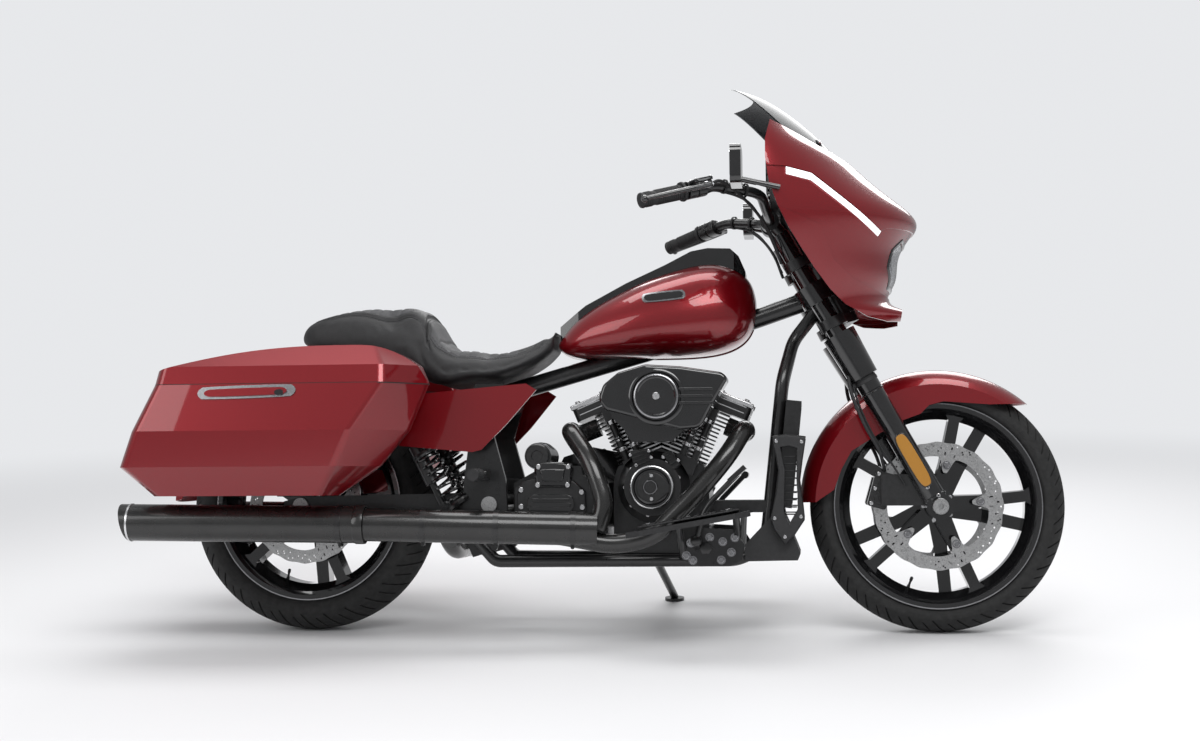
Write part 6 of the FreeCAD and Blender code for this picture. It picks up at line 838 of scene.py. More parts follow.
def exhaust_dress():
    """Collars and tip rings on the mufflers, and bands on the right pipe's shield and muffler."""
    way = (MUFFLER_BACK - MUFFLER_FRONT).normalized()
    collar = lathe(MUFFLER_FRONT - way * 2, way, [(0, 44), (0, 47.6), (5, 48.4), (22, 48.4), (26, MUFFLER_R)], 72)
    both_sides("muffler_collars", collar, EXHAUST)
    tip = [(0, MUFFLER_R), (0, 47.4), (5, 47.4), (5, MUFFLER_R)]
    both_sides("muffler_tip_rings", lathe(MUFFLER_BACK - way * 30, way, tip, 72), MACHINED)
    shield_way = (MUFFLER_FRONT - PIPE_FRONT).normalized()
    straps = [clamp_band(PIPE_FRONT + shield_way * s, shield_way, PIPE_R) for s in (60, 250, 430)]
    piece("exhaust_bands", join(*straps, clamp_band(MUFFLER_FRONT + way * 60, way, MUFFLER_R + 0.1)), SATIN)


exhaust_dress()


# Radiator core, boards and pegs

RADIATOR_TILT = math.radians(6.13)
RADIATOR_FOOT = Vector((410.25, 0, 330.0))
BOARD_FOOT = (52.0, 277.0, 262.0)
BOARD_RISE = math.atan2(52.0, 296.0)
BOARD_OUTLINE = [(24, 8), (276, 8), (276, 84), (262, 97), (60, 97), (34, 84)]
PEG_FOOT = (-330.0, 222.0, 404.0)


def on_radiator(p):
    """Point drawn on an upright radiator, set on the leaning one."""
    return Matrix.Rotation(RADIATOR_TILT, 3, "Y") @ Vector(p) + RADIATOR_FOOT


tubes = [box(14.3, 17.5, -117.5, 117.5, z, z + 1.6) for z in np.arange(5, 246, 8.0)]
fins = [box(14.2, 16.6, y, y + 0.6, 2, 248) for y in np.arange(-116, 116, 3.2)]
piece("radiator_core", moved(join(*tubes), on_radiator), SATIN, smooth=False)
piece("radiator_fins", moved(join(*fins), on_radiator), SATIN, smooth=False)


def board_dress(side):
    """Rubber top of a footboard with its raised ribs and studs."""
    word = SIDES[side]
    turn = Matrix.Rotation(-BOARD_RISE, 3, "Y")
    x0, y0, z0 = BOARD_FOOT

    def on_board(p):
        """Point drawn on a level board on the left, set on this side's rising one."""
        return Vector((x0, side * y0, z0)) + turn @ Vector((p[0], side * p[1], p[2]))

    pad = slab(BOARD_OUTLINE, 5.5, 9.5, lambda x, y, z: on_board((x, y, z)))
    ribs = join(*[box(x, x + 9, 16, 89, 9, 12.5) for x in range(44, 275, 21)])
    piece("board_pad_" + word, pad, RUBBER, "board_" + word, bevel=1.5)
    piece("board_ribs_" + word, moved(ribs, on_board), RUBBER, "board_" + word, bevel=1.2)
    studs = [lathe(on_board((x, 52, 12)), on_board((0, 0, 1)) - on_board((0, 0, 0)),
                   [(-1, 6), (1.2, 6), (2, 4.5), (2, 0)], 16) for x in (56, 154, 250)]
    piece("board_studs_" + word, join(*studs), MACHINED, "board_" + word)


board_dress(1)
board_dress(-1)
for side, word in SIDES.items():
    x, y, z = PEG_FOOT
    rings = [lathe((x, side * (y + k * 8.0), z), (0, side, 0), [(0, 14), (0.5, 16.4), (4.5, 16.4), (5, 14)], 32)
             for k in range(9)]
    piece("peg_%s_ribs" % word, join(*rings), RUBBER, "peg_" + word)


# Mirrors

for side in (-1, 1):
    glass = slab(rounded(430, 1128, 106, 78, 15, 7), 316.2, 317.5, lambda y, z, x: (x, side * y, z))
    piece("mirror_glass_" + SIDES[side], glass, MIRROR, "steering", angle=20)


# Badge places and bag latches, which follow their panels

for name, node, corner, u, v, cells, thick, round_share, lift, mat in (
        ("tank_badge_places", "fuel_tank", (78, -260, 836), (112, 0, 8), (-4, 0, 26), (24, 8), 2.2, 0.12, 0.2, EDGE),
        ("tank_badge_faces", "fuel_tank", (84, -260, 840.5), (100, 0, 7.4), (-3, 0, 17.5), (24, 6), 2.9, 0.12, 0.5,
         GLOSS),
        ("bag_latch_bezels", "saddlebags", (-977, -600, 588), (244, 0, 6), (0, 0, 32), (30, 10), 2.4, 0.10, 0.2, EDGE),
        ("bag_latch_levers", "saddlebags", (-960, -600, 594), (206, 0, 5), (0, 0, 19), (26, 8), 5.5, 0.12, 0.2, CANDY),
        ("bag_latch_locks", "saddlebags", (-784, -600, 597), (22, 0, 0.5), (0, 0, 14), (8, 6), 7.0, 0.3, 0.2, GLOSS)):
    both_sides(name, patch(tree_of(node), corner, u, v, cells, TO_LEFT, thick, round_share, lift), mat)


# Headlamp and light strips

LAMP_HALF, LAMP_FOOT, LAMP_HIGH, LAMP_MIDDLE = 112.0, 872.0, 112.0, 930.0
LAMP_SHARES = ((0.0, 0.0), (0.62, 0.04), (1.0, 0.42), (0.96, 0.78), (0.70, 1.0), (0.0, 0.90))
LENS_COLUMNS, LENS_ROWS, LENS_HALF, LENS_THICK = 44, 12, 111.2, 3.5
HOUSING_STEPS = ((0.0, 4.5), (0.03, 14.0), (0.09, 30.0), (0.16, 56.0))
STRIPS_FROM = 120
AHEAD_OF_LAMP, LAMP_FACE = 900, 760
SURROUND_BEHIND = 640


def light_strips():
    """The outer lights of the lamp node's own surface, upright in millimetres."""
    back = LEANED.inverted()
    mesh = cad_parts["front_lamps"].data
    at = [(back @ v.co) * 1000 for v in mesh.vertices]
    used, faces = {}, []
    for p in mesh.polygons:
        if abs(sum(at[k].y for k in p.vertices)) / len(p.vertices) > STRIPS_FROM:
            faces.append(tuple(used.setdefault(k, len(used)) for k in p.vertices))
    return [at[k] for k in used], faces


def lamp_outline(grow=0.0):
    """Headlamp outline seen from the front, as (y, z) round from the bottom, with its first point repeated."""
    right = [(-a * (LAMP_HALF + grow), LAMP_FOOT - grow + b * (LAMP_HIGH + 2 * grow)) for a, b in LAMP_SHARES]
    return right + [(-y, z) for y, z in reversed(right) if y < 0] + right[:1]


def for_lamp(name, part, mat, **more):
    """Piece of the headlamp, which stands for the lamp node."""
    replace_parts(piece(name, part, mat, "steering", **more), "front_lamps")


def headlamp():
    """Light strips, lens with its housing behind, three reflector bowls, and the surround on the fairing."""
    for_lamp("light_strips", light_strips(), STRIP, angle=30)
    tree = tree_of("front_lamps")
    grid = []
    outline = lamp_outline(-0.4)
    for i in range(LENS_COLUMNS + 1):
        y = LENS_HALF * (2 * i / LENS_COLUMNS - 1)
        heights = sorted(a[1] + (b[1] - a[1]) * (y - a[0]) / (b[0] - a[0]) for a, b in zip(outline, outline[1:])
                         if (a[0] - y) * (b[0] - y) <= 0 and a[0] != b[0])
        for j in range(LENS_ROWS + 1):
            z = heights[0] + (heights[-1] - heights[0]) * j / LENS_ROWS
            grid.append(meet(tree, (AHEAD_OF_LAMP, y, z), TO_BACK, (LAMP_FACE, y, z))[0])
    lens, rim = two_skins(grid, [p - Vector((LENS_THICK, 0, 0)) for p in grid], LENS_COLUMNS, LENS_ROWS)
    for_lamp("headlamp_lens", lens, LENS, angle=40)
    v = [Vector((grid[k].x - depth, grid[k].y * (1 - inward), LAMP_MIDDLE + (grid[k].z - LAMP_MIDDLE) * (1 - inward)))
         for inward, depth in HOUSING_STEPS for k in rim]
    n = len(rim)
    back = [(len(v) - n + k, len(v) - n + (k + 1) % n, len(v)) for k in range(n)]
    v.append(sum(v[-n:], Vector()) / n)
    for_lamp("headlamp_housing", (v, band(n, len(HOUSING_STEPS)) + back), GLOSS, angle=30)
    bowls, domes, rims = [], [], []
    for y, z, r in ((-62.0, 930.0, 25.0), (0.0, 926.0, 29.0), (62.0, 930.0, 25.0)):
        face = meet(tree, (AHEAD_OF_LAMP, y, z), TO_BACK)[0]
        for parts, shares, closed in (
                (bowls, [(-34, 0), (-34, 0.45), (-26, 0.72), (-14, 0.88), (-4, 0.93)], False),
                (domes, [(-24, 0), (-24, 0.62), (-15, 0.62), (-9, 0.48), (-5, 0.26), (-4, 0)], False),
                (rims, [(-30, 0.93), (-4, 0.93), (-2, 1), (-4, 1.06), (-30, 1.06)], True)):
            profile = [(along, share * r) for along, share in shares]
            parts.append(lathe((face.x - 12, y, z), TO_FRONT, profile, 40, closed))
    for_lamp("headlamp_bowls", join(*bowls), REFLECTOR)
    for_lamp("headlamp_domes", join(*domes), LENS)
    for_lamp("headlamp_rims", join(*rims), EDGE)
    surround = []
    skin = tree_of("fairing")
    for grow, lift in ((1.5, 0.6), (2.5, 2.8), (8.0, 2.8), (10.0, 0.4)):
        outline = lamp_outline(grow)
        for a, b in zip(outline, outline[1:]):
            for s in np.linspace(0, 1, 8, endpoint=False):
                y, z = a[0] + (b[0] - a[0]) * s, a[1] + (b[1] - a[1]) * s
                near = (LAMP_FACE + 5, y, z)
                hit = meet(skin, (AHEAD_OF_LAMP, y * 1.02, z), TO_BACK, near)[0]
                if hit.x < SURROUND_BEHIND:
                    hit = skin.find_nearest(Vector(near))[0]
                surround.append(hit + Vector((lift, 0, 0)))
    piece("headlamp_surround", (surround, band(len(surround) // 4, 4, endless=True)), GLOSS, "steering", angle=40)


headlamp()


# Seat cushion

SEAT_AT = (-838.0, 636.0)
SEAT_LENGTH, SEAT_HALF, SEAT_HIGH = 682.0, 190.0, 212.0
SEAT_STATIONS = (
    (0.0, 0.56, 0.66, 0.34), (0.03, 0.50, 0.80, 0.56), (0.14, 0.40, 0.93, 0.74), (0.32, 0.24, 0.97, 0.78),
    (0.44, 0.12, 0.985, 0.79), (0.50, 0.06, 0.90, 0.83), (0.56, 0.0, 0.58, 0.95), (0.64, 0.0, 0.42, 1.0),
    (0.76, 0.04, 0.385, 0.96), (0.86, 0.13, 0.43, 0.80), (0.94, 0.26, 0.54, 0.60), (1.0, 0.42, 0.70, 0.42))
SIDE_SEAM, STEP_SEAM = (3.6, 3.6, -800, -190), (6.0, 4.5)
CHANNELS = ((-462, -262, 25, 2.8, 3.4, 3), (-772, -545, 28, 2.4, 3.6, 14))
INSERTS = ((-474, -250, 2), (-784, -533, 14))
SHRINK, CLOTH_CAP, CLOTH_PRESSURE, CLOTH_FRAMES = 0.0055, 0.008, 4.0, 20


def seat_at(x):
    """Half width and top height of the seat at a place along it."""
    share = (x - SEAT_AT[0]) / SEAT_LENGTH
    rows = np.array(SEAT_STATIONS)
    half = np.interp(share, rows[:, 0], rows[:, 3]) * SEAT_HALF
    return half, SEAT_AT[1] + np.interp(share, rows[:, 0], rows[:, 2]) * SEAT_HIGH


def seam_y(x):
    """How far out the side seam runs at a place along the seat."""
    return seat_at(x)[0] * 0.80 - 4


def step_x(y):
    """Where the seam across the step runs at a distance from the middle."""
    return -493 + 16 * (y / 150) ** 2


def new_mesh(o):
    """The object's mesh with its modifiers applied."""
    graph = bpy.context.evaluated_depsgraph_get()
    graph.update()
    return bpy.data.meshes.new_from_object(o.evaluated_get(graph))


def apply_modifier(o, kind, **settings):
    """Gives an object the mesh that a modifier makes of its own."""
    mod = o.modifiers.new(kind.lower(), kind)
    for name, value in settings.items():
        setattr(mod, name, value)
    made = new_mesh(o)
    o.modifiers.remove(mod)
    old, o.data = o.data, made
    bpy.data.meshes.remove(old)
    return made


def swell(o, pinned):
    """Short cloth run under inner pressure; no point moves further than the cap."""
    start = [v.co.copy() for v in o.data.vertices]
    group = o.vertex_groups.new(name="pinned")
    for v in o.data.vertices:
        if pinned(v):
            group.add([v.index], 1.0, "REPLACE")
    cloth = o.modifiers.new("cloth", "CLOTH")
    cloth.settings.use_pressure = True
    cloth.settings.uniform_pressure_force = CLOTH_PRESSURE
    cloth.settings.effector_weights.gravity = 0
    cloth.settings.quality = 5
    cloth.settings.tension_stiffness = 20
    cloth.settings.compression_stiffness = 20
    cloth.settings.bending_stiffness = 2
    cloth.settings.vertex_group_mass = "pinned"
    cloth.collision_settings.use_collision = False
    scene = bpy.context.scene
    for number in range(1, CLOTH_FRAMES + 1):
        scene.frame_set(number)
    blown = new_mesh(o)
    end = [v.co.copy() for v in blown.vertices]
    o.modifiers.remove(cloth)
    scene.frame_set(1)
    for v, a, b in zip(o.data.vertices, start, end):
        way = b - a
        v.co = a + (way if way.length < CLOTH_CAP else way.normalized() * CLOTH_CAP)
    bpy.data.meshes.remove(blown)


def seat_seams(p):
    """How deep the seams draw the seat in at an upright point, in millimetres."""
    half, top = seat_at(p.x)
    edge = seam_y(p.x)
    depths = [0.0]
    deep, wide, start, end = SIDE_SEAM
    if p.z > top - 45 and start < p.x < end:
        depths.append(deep * math.exp(-((abs(p.y) - edge) / wide) ** 2))
    deep, wide = STEP_SEAM
    if p.z > top - 60 and abs(p.y) < half * 0.97:
        depths.append(deep * math.exp(-((p.x - step_x(p.y)) / wide) ** 2))
    for start, end, pitch, deep, wide, inset in CHANNELS:
        if start < p.x < end and abs(p.y) < edge - inset and p.z > top - 40:
            depths.append(deep * math.exp(-(((p.x - start) % pitch - pitch / 2) / wide) ** 2))
    return max(depths)


def in_insert(c, n):
    """Whether a place on the seat lies in one of its grey sewn inserts."""
    return n.z >= 0.35 and any(start < c.x < end and abs(c.y) < seam_y(c.x) - inset for start, end, inset in INSERTS)


def relax(mesh, turns):
    """Draws each point halfway to the middle of its neighbours."""
    for _ in range(turns):
        old = [v.co.copy() for v in mesh.vertices]
        near = [[] for v in mesh.vertices]
        for e in mesh.edges:
            near[e.vertices[0]].append(e.vertices[1])
            near[e.vertices[1]].append(e.vertices[0])
        for v in mesh.vertices:
            middle = sum((old[k] for k in near[v.index]), Vector()) / max(1, len(near[v.index]))
            v.co = old[v.index] * 0.5 + middle * 0.5


def draw_in(mesh, depth):
    """Moves each point inwards by a depth, in metres, that depends on its place."""
    for v, n in zip(mesh.vertices, [v.normal.copy() for v in mesh.vertices]):
        v.co -= n * depth(v.co)


def make_seat():
    """Cushion grown from its CAD solid: remeshed, relaxed, swollen as cloth and drawn in along its seams."""
    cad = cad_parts["seat"]
    back = LEANED.inverted()
    mesh = bpy.data.meshes.new("seat_cushion")
    mesh.from_pydata([back @ v.co for v in cad.data.vertices], [], [tuple(p.vertices) for p in cad.data.polygons])
    o = show("seat_cushion", mesh)
    even = apply_modifier(o, "REMESH", mode="VOXEL", voxel_size=0.0075)
    relax(even, 3)
    draw_in(even, lambda p: SHRINK)
    swell(o, lambda v: v.normal.z < -0.35)
    fine = apply_modifier(o, "SUBSURF", levels=1, render_levels=1)
    draw_in(fine, lambda p: seat_seams(p * 1000) / 1000)
    fine.materials.clear()
    fine.materials.append(VINYL)
    fine.materials.append(INSERT)
    for p in fine.polygons:
        p.material_index = 1 if in_insert(p.center * 1000, p.normal) else 0
    fine.shade_smooth()
    o.matrix_world = LEANED
    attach(o, "frame")
    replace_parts(o, "seat")
    return o


def seat_trim(seat):
    """Piping along the two side seams and across the step, with stitches on both sides of it."""
    tree = BVHTree.FromPolygons([v.co * 1000 for v in seat.data.vertices],
                                [tuple(p.vertices) for p in seat.data.polygons])

    def on_seat(x, y, lift):
        """Point above the cushion's own surface."""
        hit, normal = meet(tree, (x, y, 1000), (0, 0, -1), (x, y, 800))
        return hit + normal * lift

    lines = [[(x, side * seam_y(x)) for x in np.linspace(start, end, 44)]
             for side in (-1, 1) for start, end in ((-795, -512), (-474, -196))]
    lines.append([(step_x(y), y) for y in np.linspace(-138, 138, 44)])
    cords = [tube([on_seat(x, y, 0.3) for x, y in line], 2.1, n=8, steps=2) for line in lines]
    stitches = []
    for line in lines:
        for (x0, y0), (x1, y1) in zip(line, line[1:]):
            length = math.hypot(x1 - x0, y1 - y0)
            ax, ay = (x1 - x0) / length, (y1 - y0) / length
            for off in (-6.5, 6.5):
                ends = [on_seat(x0 + ax * s - ay * off, y0 + ay * s + ax * off, 0.35) for s in (0.8, 5.0)]
                stitches.append(tube(ends, 0.55, n=6))
    piece("seat_piping", join(*cords), VINYL)
    piece("seat_stitches", join(*stitches), THREAD)


seat_trim(make_seat())


# Dash

DASH_FACE = 406.0
DISPLAY_Z = 1150
SPEAKER = (262, 1146)
SPEAKER_R = 51


def dash_dress():
    """Display with two dial rings, speakers with their grilles, vents, a row of keys and the brow."""
    face = DASH_FACE
    piece("dash_display_frame", sheet_x(rounded(0, DISPLAY_Z, 262, 104, 16), face + 1, face - 9), GLOSS, "steering",
          bevel=3.0)
    piece("dash_display", sheet_x(rounded(0, DISPLAY_Z, 240, 84, 8), face - 8.5, face - 10.2), SCREEN, "steering",
          bevel=0.5)
    marks = []
    r = 30
    for cy in (-78, 78):
        marks.append(lathe((face - 10.2, cy, DISPLAY_Z), TO_BACK, [(0, r - 1.2), (0.35, r - 1.2), (0.35, r), (0, r)],
                           48, closed=True))
        for a in (math.radians(-30 + 30 * k) for k in range(9)):
            p = (face - 10.3, cy + (r - 5) * math.cos(a), DISPLAY_Z + (r - 5) * math.sin(a))
            marks.append(lathe(p, TO_BACK, [(0, 0), (0, 1.1), (0.3, 1.1), (0.3, 0)], 8))
    piece("dash_display_marks", join(*marks), WHITE, "steering")
    rims, cones, grilles, vents = [], [], [], []
    for side in (-1, 1):
        y, z = side * SPEAKER[0], SPEAKER[1]
        rims.append(lathe((face, y, z), TO_BACK, [(0, 62), (5, 62), (9, 58), (9, 53), (3, 50), (0, 50)], 72,
                          closed=True))
        cones.append(lathe((face, y, z), TO_BACK, [(0.2, 50), (0.2, 30), (1.2, 20), (4.0, 10), (5.0, 0)], 48))
        for off in (k * 7.6 for k in range(-6, 7)):
            reach = math.sqrt(SPEAKER_R ** 2 - off ** 2)
            grilles.append(box(face - 7.6, face - 6.0, y - reach, y + reach, z + off - 1.1, z + off + 1.1))
            grilles.append(box(face - 8.8, face - 7.4, y + off - 1.1, y + off + 1.1, z - reach, z + reach))
        for y in (side * (164 + k * 8.0) for k in range(5)):
            vents.append(box(face - 4, face + 0.5, y - 2.2, y + 2.2, 1118, 1184))
    piece("speaker_rims", join(*rims), GLOSS, "steering", angle=30)
    piece("speaker_cones", join(*cones), RUBBER, "steering")
    piece("speaker_grilles", join(*grilles), SATIN, "steering", smooth=False)
    piece("dash_vents", join(*vents), SATIN, "steering", bevel=1.2)
    keys = [sheet_x(rounded(-87.5 + 35 * k, 1093.5, 25, 9, 3), face + 0.5, face - 3.5) for k in range(6)]
    piece("dash_keys", join(*keys), PLASTIC, "steering", bevel=1.0)
    brow = [(face - 3, y, 1206 + 6 * math.cos(y / 388 * math.pi / 2)) for y in np.linspace(-330, 330, 24)]
    piece("dash_brow", tube(brow, 5.0, n=10, steps=2), PLASTIC, "steering")


dash_dress()


# Handlebar controls

BAR = [Vector(p) for p in ((382.4, 247.8, 1092.0), (273.1, 306.9, 1107.0), (107.0, 413.0, 1056.0))]
GRIP_END = BAR[2]
INWARD = (BAR[1] - BAR[2]).normalized()
AHEAD = Vector((0, 0, 1)).cross(INWARD).normalized()
UP = INWARD.cross(AHEAD)
UP = UP if UP.z > 0 else -UP
SWITCHES_AT = GRIP_END + INWARD * 118.3
CLAMP_AT = SWITCHES_AT + INWARD * 26
CUP_AT = CLAMP_AT + AHEAD * 40 + UP * 6
PIVOT = CLAMP_AT + AHEAD * 62


def at_bar(origin, inward, ahead, up=0.0):
    """Point at steps along the bar, ahead of it and above it."""
    return origin + INWARD * inward + AHEAD * ahead + UP * up


def grip_ribs():
    """Ribs, inner flange and end cap of a grip."""
    ribs = [lathe(GRIP_END + INWARD * s, INWARD, [(0, 17.3), (0.6, 18.9), (3.4, 18.9), (4.0, 17.3)], 36)
            for s in (*range(4, 22, 6), *range(34, 100, 6))]
    ribs.append(lathe(GRIP_END + INWARD * 105, INWARD, [(0, 17.3), (1, 23.5), (5, 24.5), (8, 23.5), (9, 17.3)], 40))
    ribs.append(lathe(GRIP_END - INWARD * 0.5, -INWARD, [(0, 17.3), (2.5, 19.2), (6.5, 18.4), (8.5, 13), (8.8, 0)],
                      36))
    return join(*ribs)


def switch_housing():
    """Two shells clamped round the bar."""
    shells = []
    for s0, s1 in ((0.5, 25.4), (26.2, 51.5)):
        v = [at_bar(SWITCHES_AT, s, a, b) for s, grow in ((s0, -2.5), (s0 + 1.5, 0), (s1 - 1.5, 0), (s1, -2.5))
             for a, b in squarish(28, 25.5 + grow, 22.0 + grow, 0.75)]
        shells.append((v, capped(28, 4)))
    return join(*shells)


def switch_keys():
    """Buttons on the rider's side of the switch housing."""
    keys = []
    for s, a, b, w, h in ((8, -22.5, 8, 9, 7), (8, -22.5, -3, 9, 7), (20, -22.5, 3, 7, 12), (32, -22.5, 8, 9, 7),
                          (32, -22.5, -4, 9, 9), (44, -22.0, 2, 7, 14)):
        cube = box(-w / 2, w / 2, -h / 2, h / 2, -5, 3)
        keys.append(moved(cube, lambda p: at_bar(SWITCHES_AT, s + p[0], a + p[2], b + p[1])))
    return join(*keys)


def pod(w, l, z0, z1, r, taper):
    """Rounded block on the master cylinder's place, drawn in at its ends."""
    v = []
    ring = rounded(0, 0, w, l, r, 5)
    for z, shrink in ((z0, taper), (z0 + 2, 0), (z1 - 2, 0), (z1, 1.5)):
        k = 1 - shrink / (w / 2)
        v += [at_bar(CUP_AT, a * k, b * k, z) for a, b in ring]
    return v, capped(len(ring), 4)


def lever():
    """Flat curved blade that thickens at its ball end."""
    tip = at_bar(PIVOT, -165, -15.5)
    path = smooth_path([at_bar(PIVOT, inward, ahead) for inward, ahead in ((8, 0), (-22, 2), (-70, -3), (-120, -9))]
                       + [tip], 8)
    last = len(path) - 1
    v, n = [], 12
    for i, p in enumerate(path):
        s = i / last
        d = (path[min(i + 1, last)] - path[max(i - 1, 0)]).normalized()
        wide = UP.cross(d).normalized() * (11.0 - 5.2 * min(1, s * 4) + 1.4 * max(0, s - 0.75) * 4)
        v += [p + wide * math.cos(TURN * k / n) + UP * (6.5 - 1.5 * s) * math.sin(TURN * k / n) for k in range(n)]
    ball = [(0, 0), (1.2, 5), (4.5, 8.2), (8, 9), (11.5, 8.2), (15, 5), (16, 0)]
    return join((v, capped(n, len(path))), lathe(tip - INWARD * 8, INWARD, ball, 20))


def control_lines():
    """Hydraulic hose and switch wire from the controls down behind the fairing; both ends are fixed."""
    hose = [at_bar(CUP_AT, 22, 0, -4), at_bar(CUP_AT, 60, 0, -6), (360, 255, 1060), (404, 190, 1000), (430, 150, 930)]
    wire = [at_bar(SWITCHES_AT, 50, 0, -15), at_bar(SWITCHES_AT, 90, 0, -16), (352, 262, 1070), (396, 180, 1010),
            (428, 120, 940)]
    return join(tube(hose, 4.0, n=10), tube(wire, 3.2, n=10))


def control(side):
    """Grip ribs, switches, master cylinder with its lid, lever, lines, fittings and ties of one side."""
    screws = [bolt(at_bar(CUP_AT, a, b, 14.6), UP, 2.6, 2.2) for a, b in ((-20, -14), (20, -14), (-20, 14), (20, 14))]
    screws.append(bolt(PIVOT + UP * 5, UP, 6.5, 4))
    fitting = lathe(at_bar(CUP_AT, 17, 0, -4), INWARD, [(0, 6), (5, 6), (6, 5), (14, 5), (15, 4)], 14)
    ties = [lathe(BAR[0] + (BAR[1] - BAR[0]) * k, BAR[1] - BAR[0], [(-3, 16.2), (-3, 18), (3, 18), (3, 16.2)], 28,
                  closed=True) for k in (0.35, 0.8)]
    cylinder = join(pod(46, 36, -12, 6, 8, 3.0), pod(30, 60, -10, 2, 8, 2.0))
    for name, part, mat, replaces, more in (
            ("grip_ribs", grip_ribs(), RUBBER, False, {}),
            ("switch_housing", switch_housing(), SATIN, True, {"bevel": 0.8}),
            ("switch_keys", switch_keys(), PLASTIC, False, {"bevel": 1.4}),
            ("master_cylinder", cylinder, SATIN, True, {"bevel": 0.8}),
            ("reservoir_lid", pod(52, 40, 6, 15, 9, 0.5), GLOSS, False, {"bevel": 0.8}),
            ("reservoir_screws", join(*screws), MACHINED, False, {}),
            ("lever", lever(), GLOSS, True, {"angle": 50}),
            ("control_lines", control_lines(), RUBBER, False, {}),
            ("line_fittings", fitting, MACHINED, False, {}),
            ("bar_ties", join(*ties), RUBBER, False, {})):
        o = piece(name + "_" + SIDES[side], part if side > 0 else flip(part), mat, "steering", **more)
        if replaces:
            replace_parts(o, "hand_controls")


control(1)
control(-1)


# Windscreen trim

def screen_trim():
    """Three bolts on rubber washers along the windscreen's lower edge."""
    tree = tree_of("windscreen")
    pads, heads = [], []
    for y in (0.0, -128.0, 128.0):
        low = next(z for z in range(1150, 1330, 2) if tree.ray_cast(Vector((900, y, z)), Vector(TO_BACK))[0])
        hit, normal = meet(tree, (900, y, low + 16), TO_BACK)
        n = normal if normal.x > 0 else -normal
        pads.append(lathe(hit, n, [(-0.5, 0), (-0.5, 11), (1.2, 11), (2.2, 9.5), (2.2, 0)], 28))
        heads.append(bolt(hit + n * 2.0, n, 6.0, 4.0))
    piece("screen_washers", join(*pads), RUBBER, "steering")
    piece("screen_bolts", join(*heads), MACHINED, "steering")


screen_trim()


# Bag gaskets, hinges and rear reflectors

BAG_BACK, BAG_LENGTH, BAG_INNER, BAG_WIDTH = -1180, 752, 190, 285
BAG_ROUND = 24.0
BAG_SHARES = ((0.134, 0.08), (0.112, 0.15), (0.112, 0.84), (0.134, 0.91), (0.875, 0.91), (1.0, 0.52), (0.93, 0.08))
GASKET_Z = (625.6, 628.0)


def bag_loop(grow):
    """Plan outline of the left bag at its lid line, with rounded corners."""
    pts = [Vector((BAG_BACK + a * BAG_LENGTH, BAG_INNER + b * BAG_WIDTH)) for a, b in BAG_SHARES]
    out = []
    for before, corner, after in zip(pts[-1:] + pts[:-1], pts, pts[1:] + pts[:1]):
        a, b = before - corner, after - corner
        cut = min(BAG_ROUND / math.tan(a.angle(b) / 2), a.length * 0.45, b.length * 0.45)
        p, q = corner + a.normalized() * cut, corner + b.normalized() * cut
        out += [p * (1 - s) ** 2 + corner * 2 * s * (1 - s) + q * s * s for s in np.linspace(0, 1, 7)]
    middle = sum(out, Vector((0, 0))) / len(out)
    return [p + (p - middle).normalized() * grow for p in out]


def bag_dress():
    """Gasket under each lid, rear reflectors on their bases, and the lids' hinge pins."""
    inner, outer = bag_loop(-2.0), bag_loop(0.55)
    z0, z1 = GASKET_Z
    v = [(p.x, p.y, z) for z, loop in ((z0, inner), (z0, outer), (z1, outer), (z1, inner)) for p in loop]
    both_sides("bag_gaskets", (v, band(len(inner), 4, endless=True)), RUBBER)
    tree = tree_of("saddlebags")
    for name, grow, lift, thick, mat in (("bag_reflector_bases", 5, 0.3, 2.6, GLOSS),
                                         ("bag_reflectors", 0, 2.6, 2.4, RUBY)):
        both_sides(name, patch(tree, (-1250, 285 - grow, 566 - grow), (0, 84 + 2 * grow, 0), (0, 0, 22 + 2 * grow),
                               (14, 5), TO_FRONT, thick, 0.1, lift), mat)
    pins = [lathe((x, 216.0, 632.0), TO_FRONT, [(-24, 0), (-24, 4.6), (24, 4.6), (24, 0)], 16)
            for x in (-990.0, -800.0, -610.0)]
    both_sides("lid_hinge_pins", join(*pins), SATIN)


bag_dress()


# Tail lamp and plate

TAIL_Z, TAIL_HALF_WIDTH, TAIL_HALF_HEIGHT = 525, 74, 42
BEHIND_TAIL, TAIL_FACE = -1400, -1170
PLATE_AT = Vector((-1196.5, 0, 415.0))
PLATE_TILT = math.radians(12)


def on_plate(p):
    """Point drawn on an upright number plate, set on the leaning one."""
    return PLATE_AT + Matrix.Rotation(PLATE_TILT, 3, "Y") @ Vector(p)


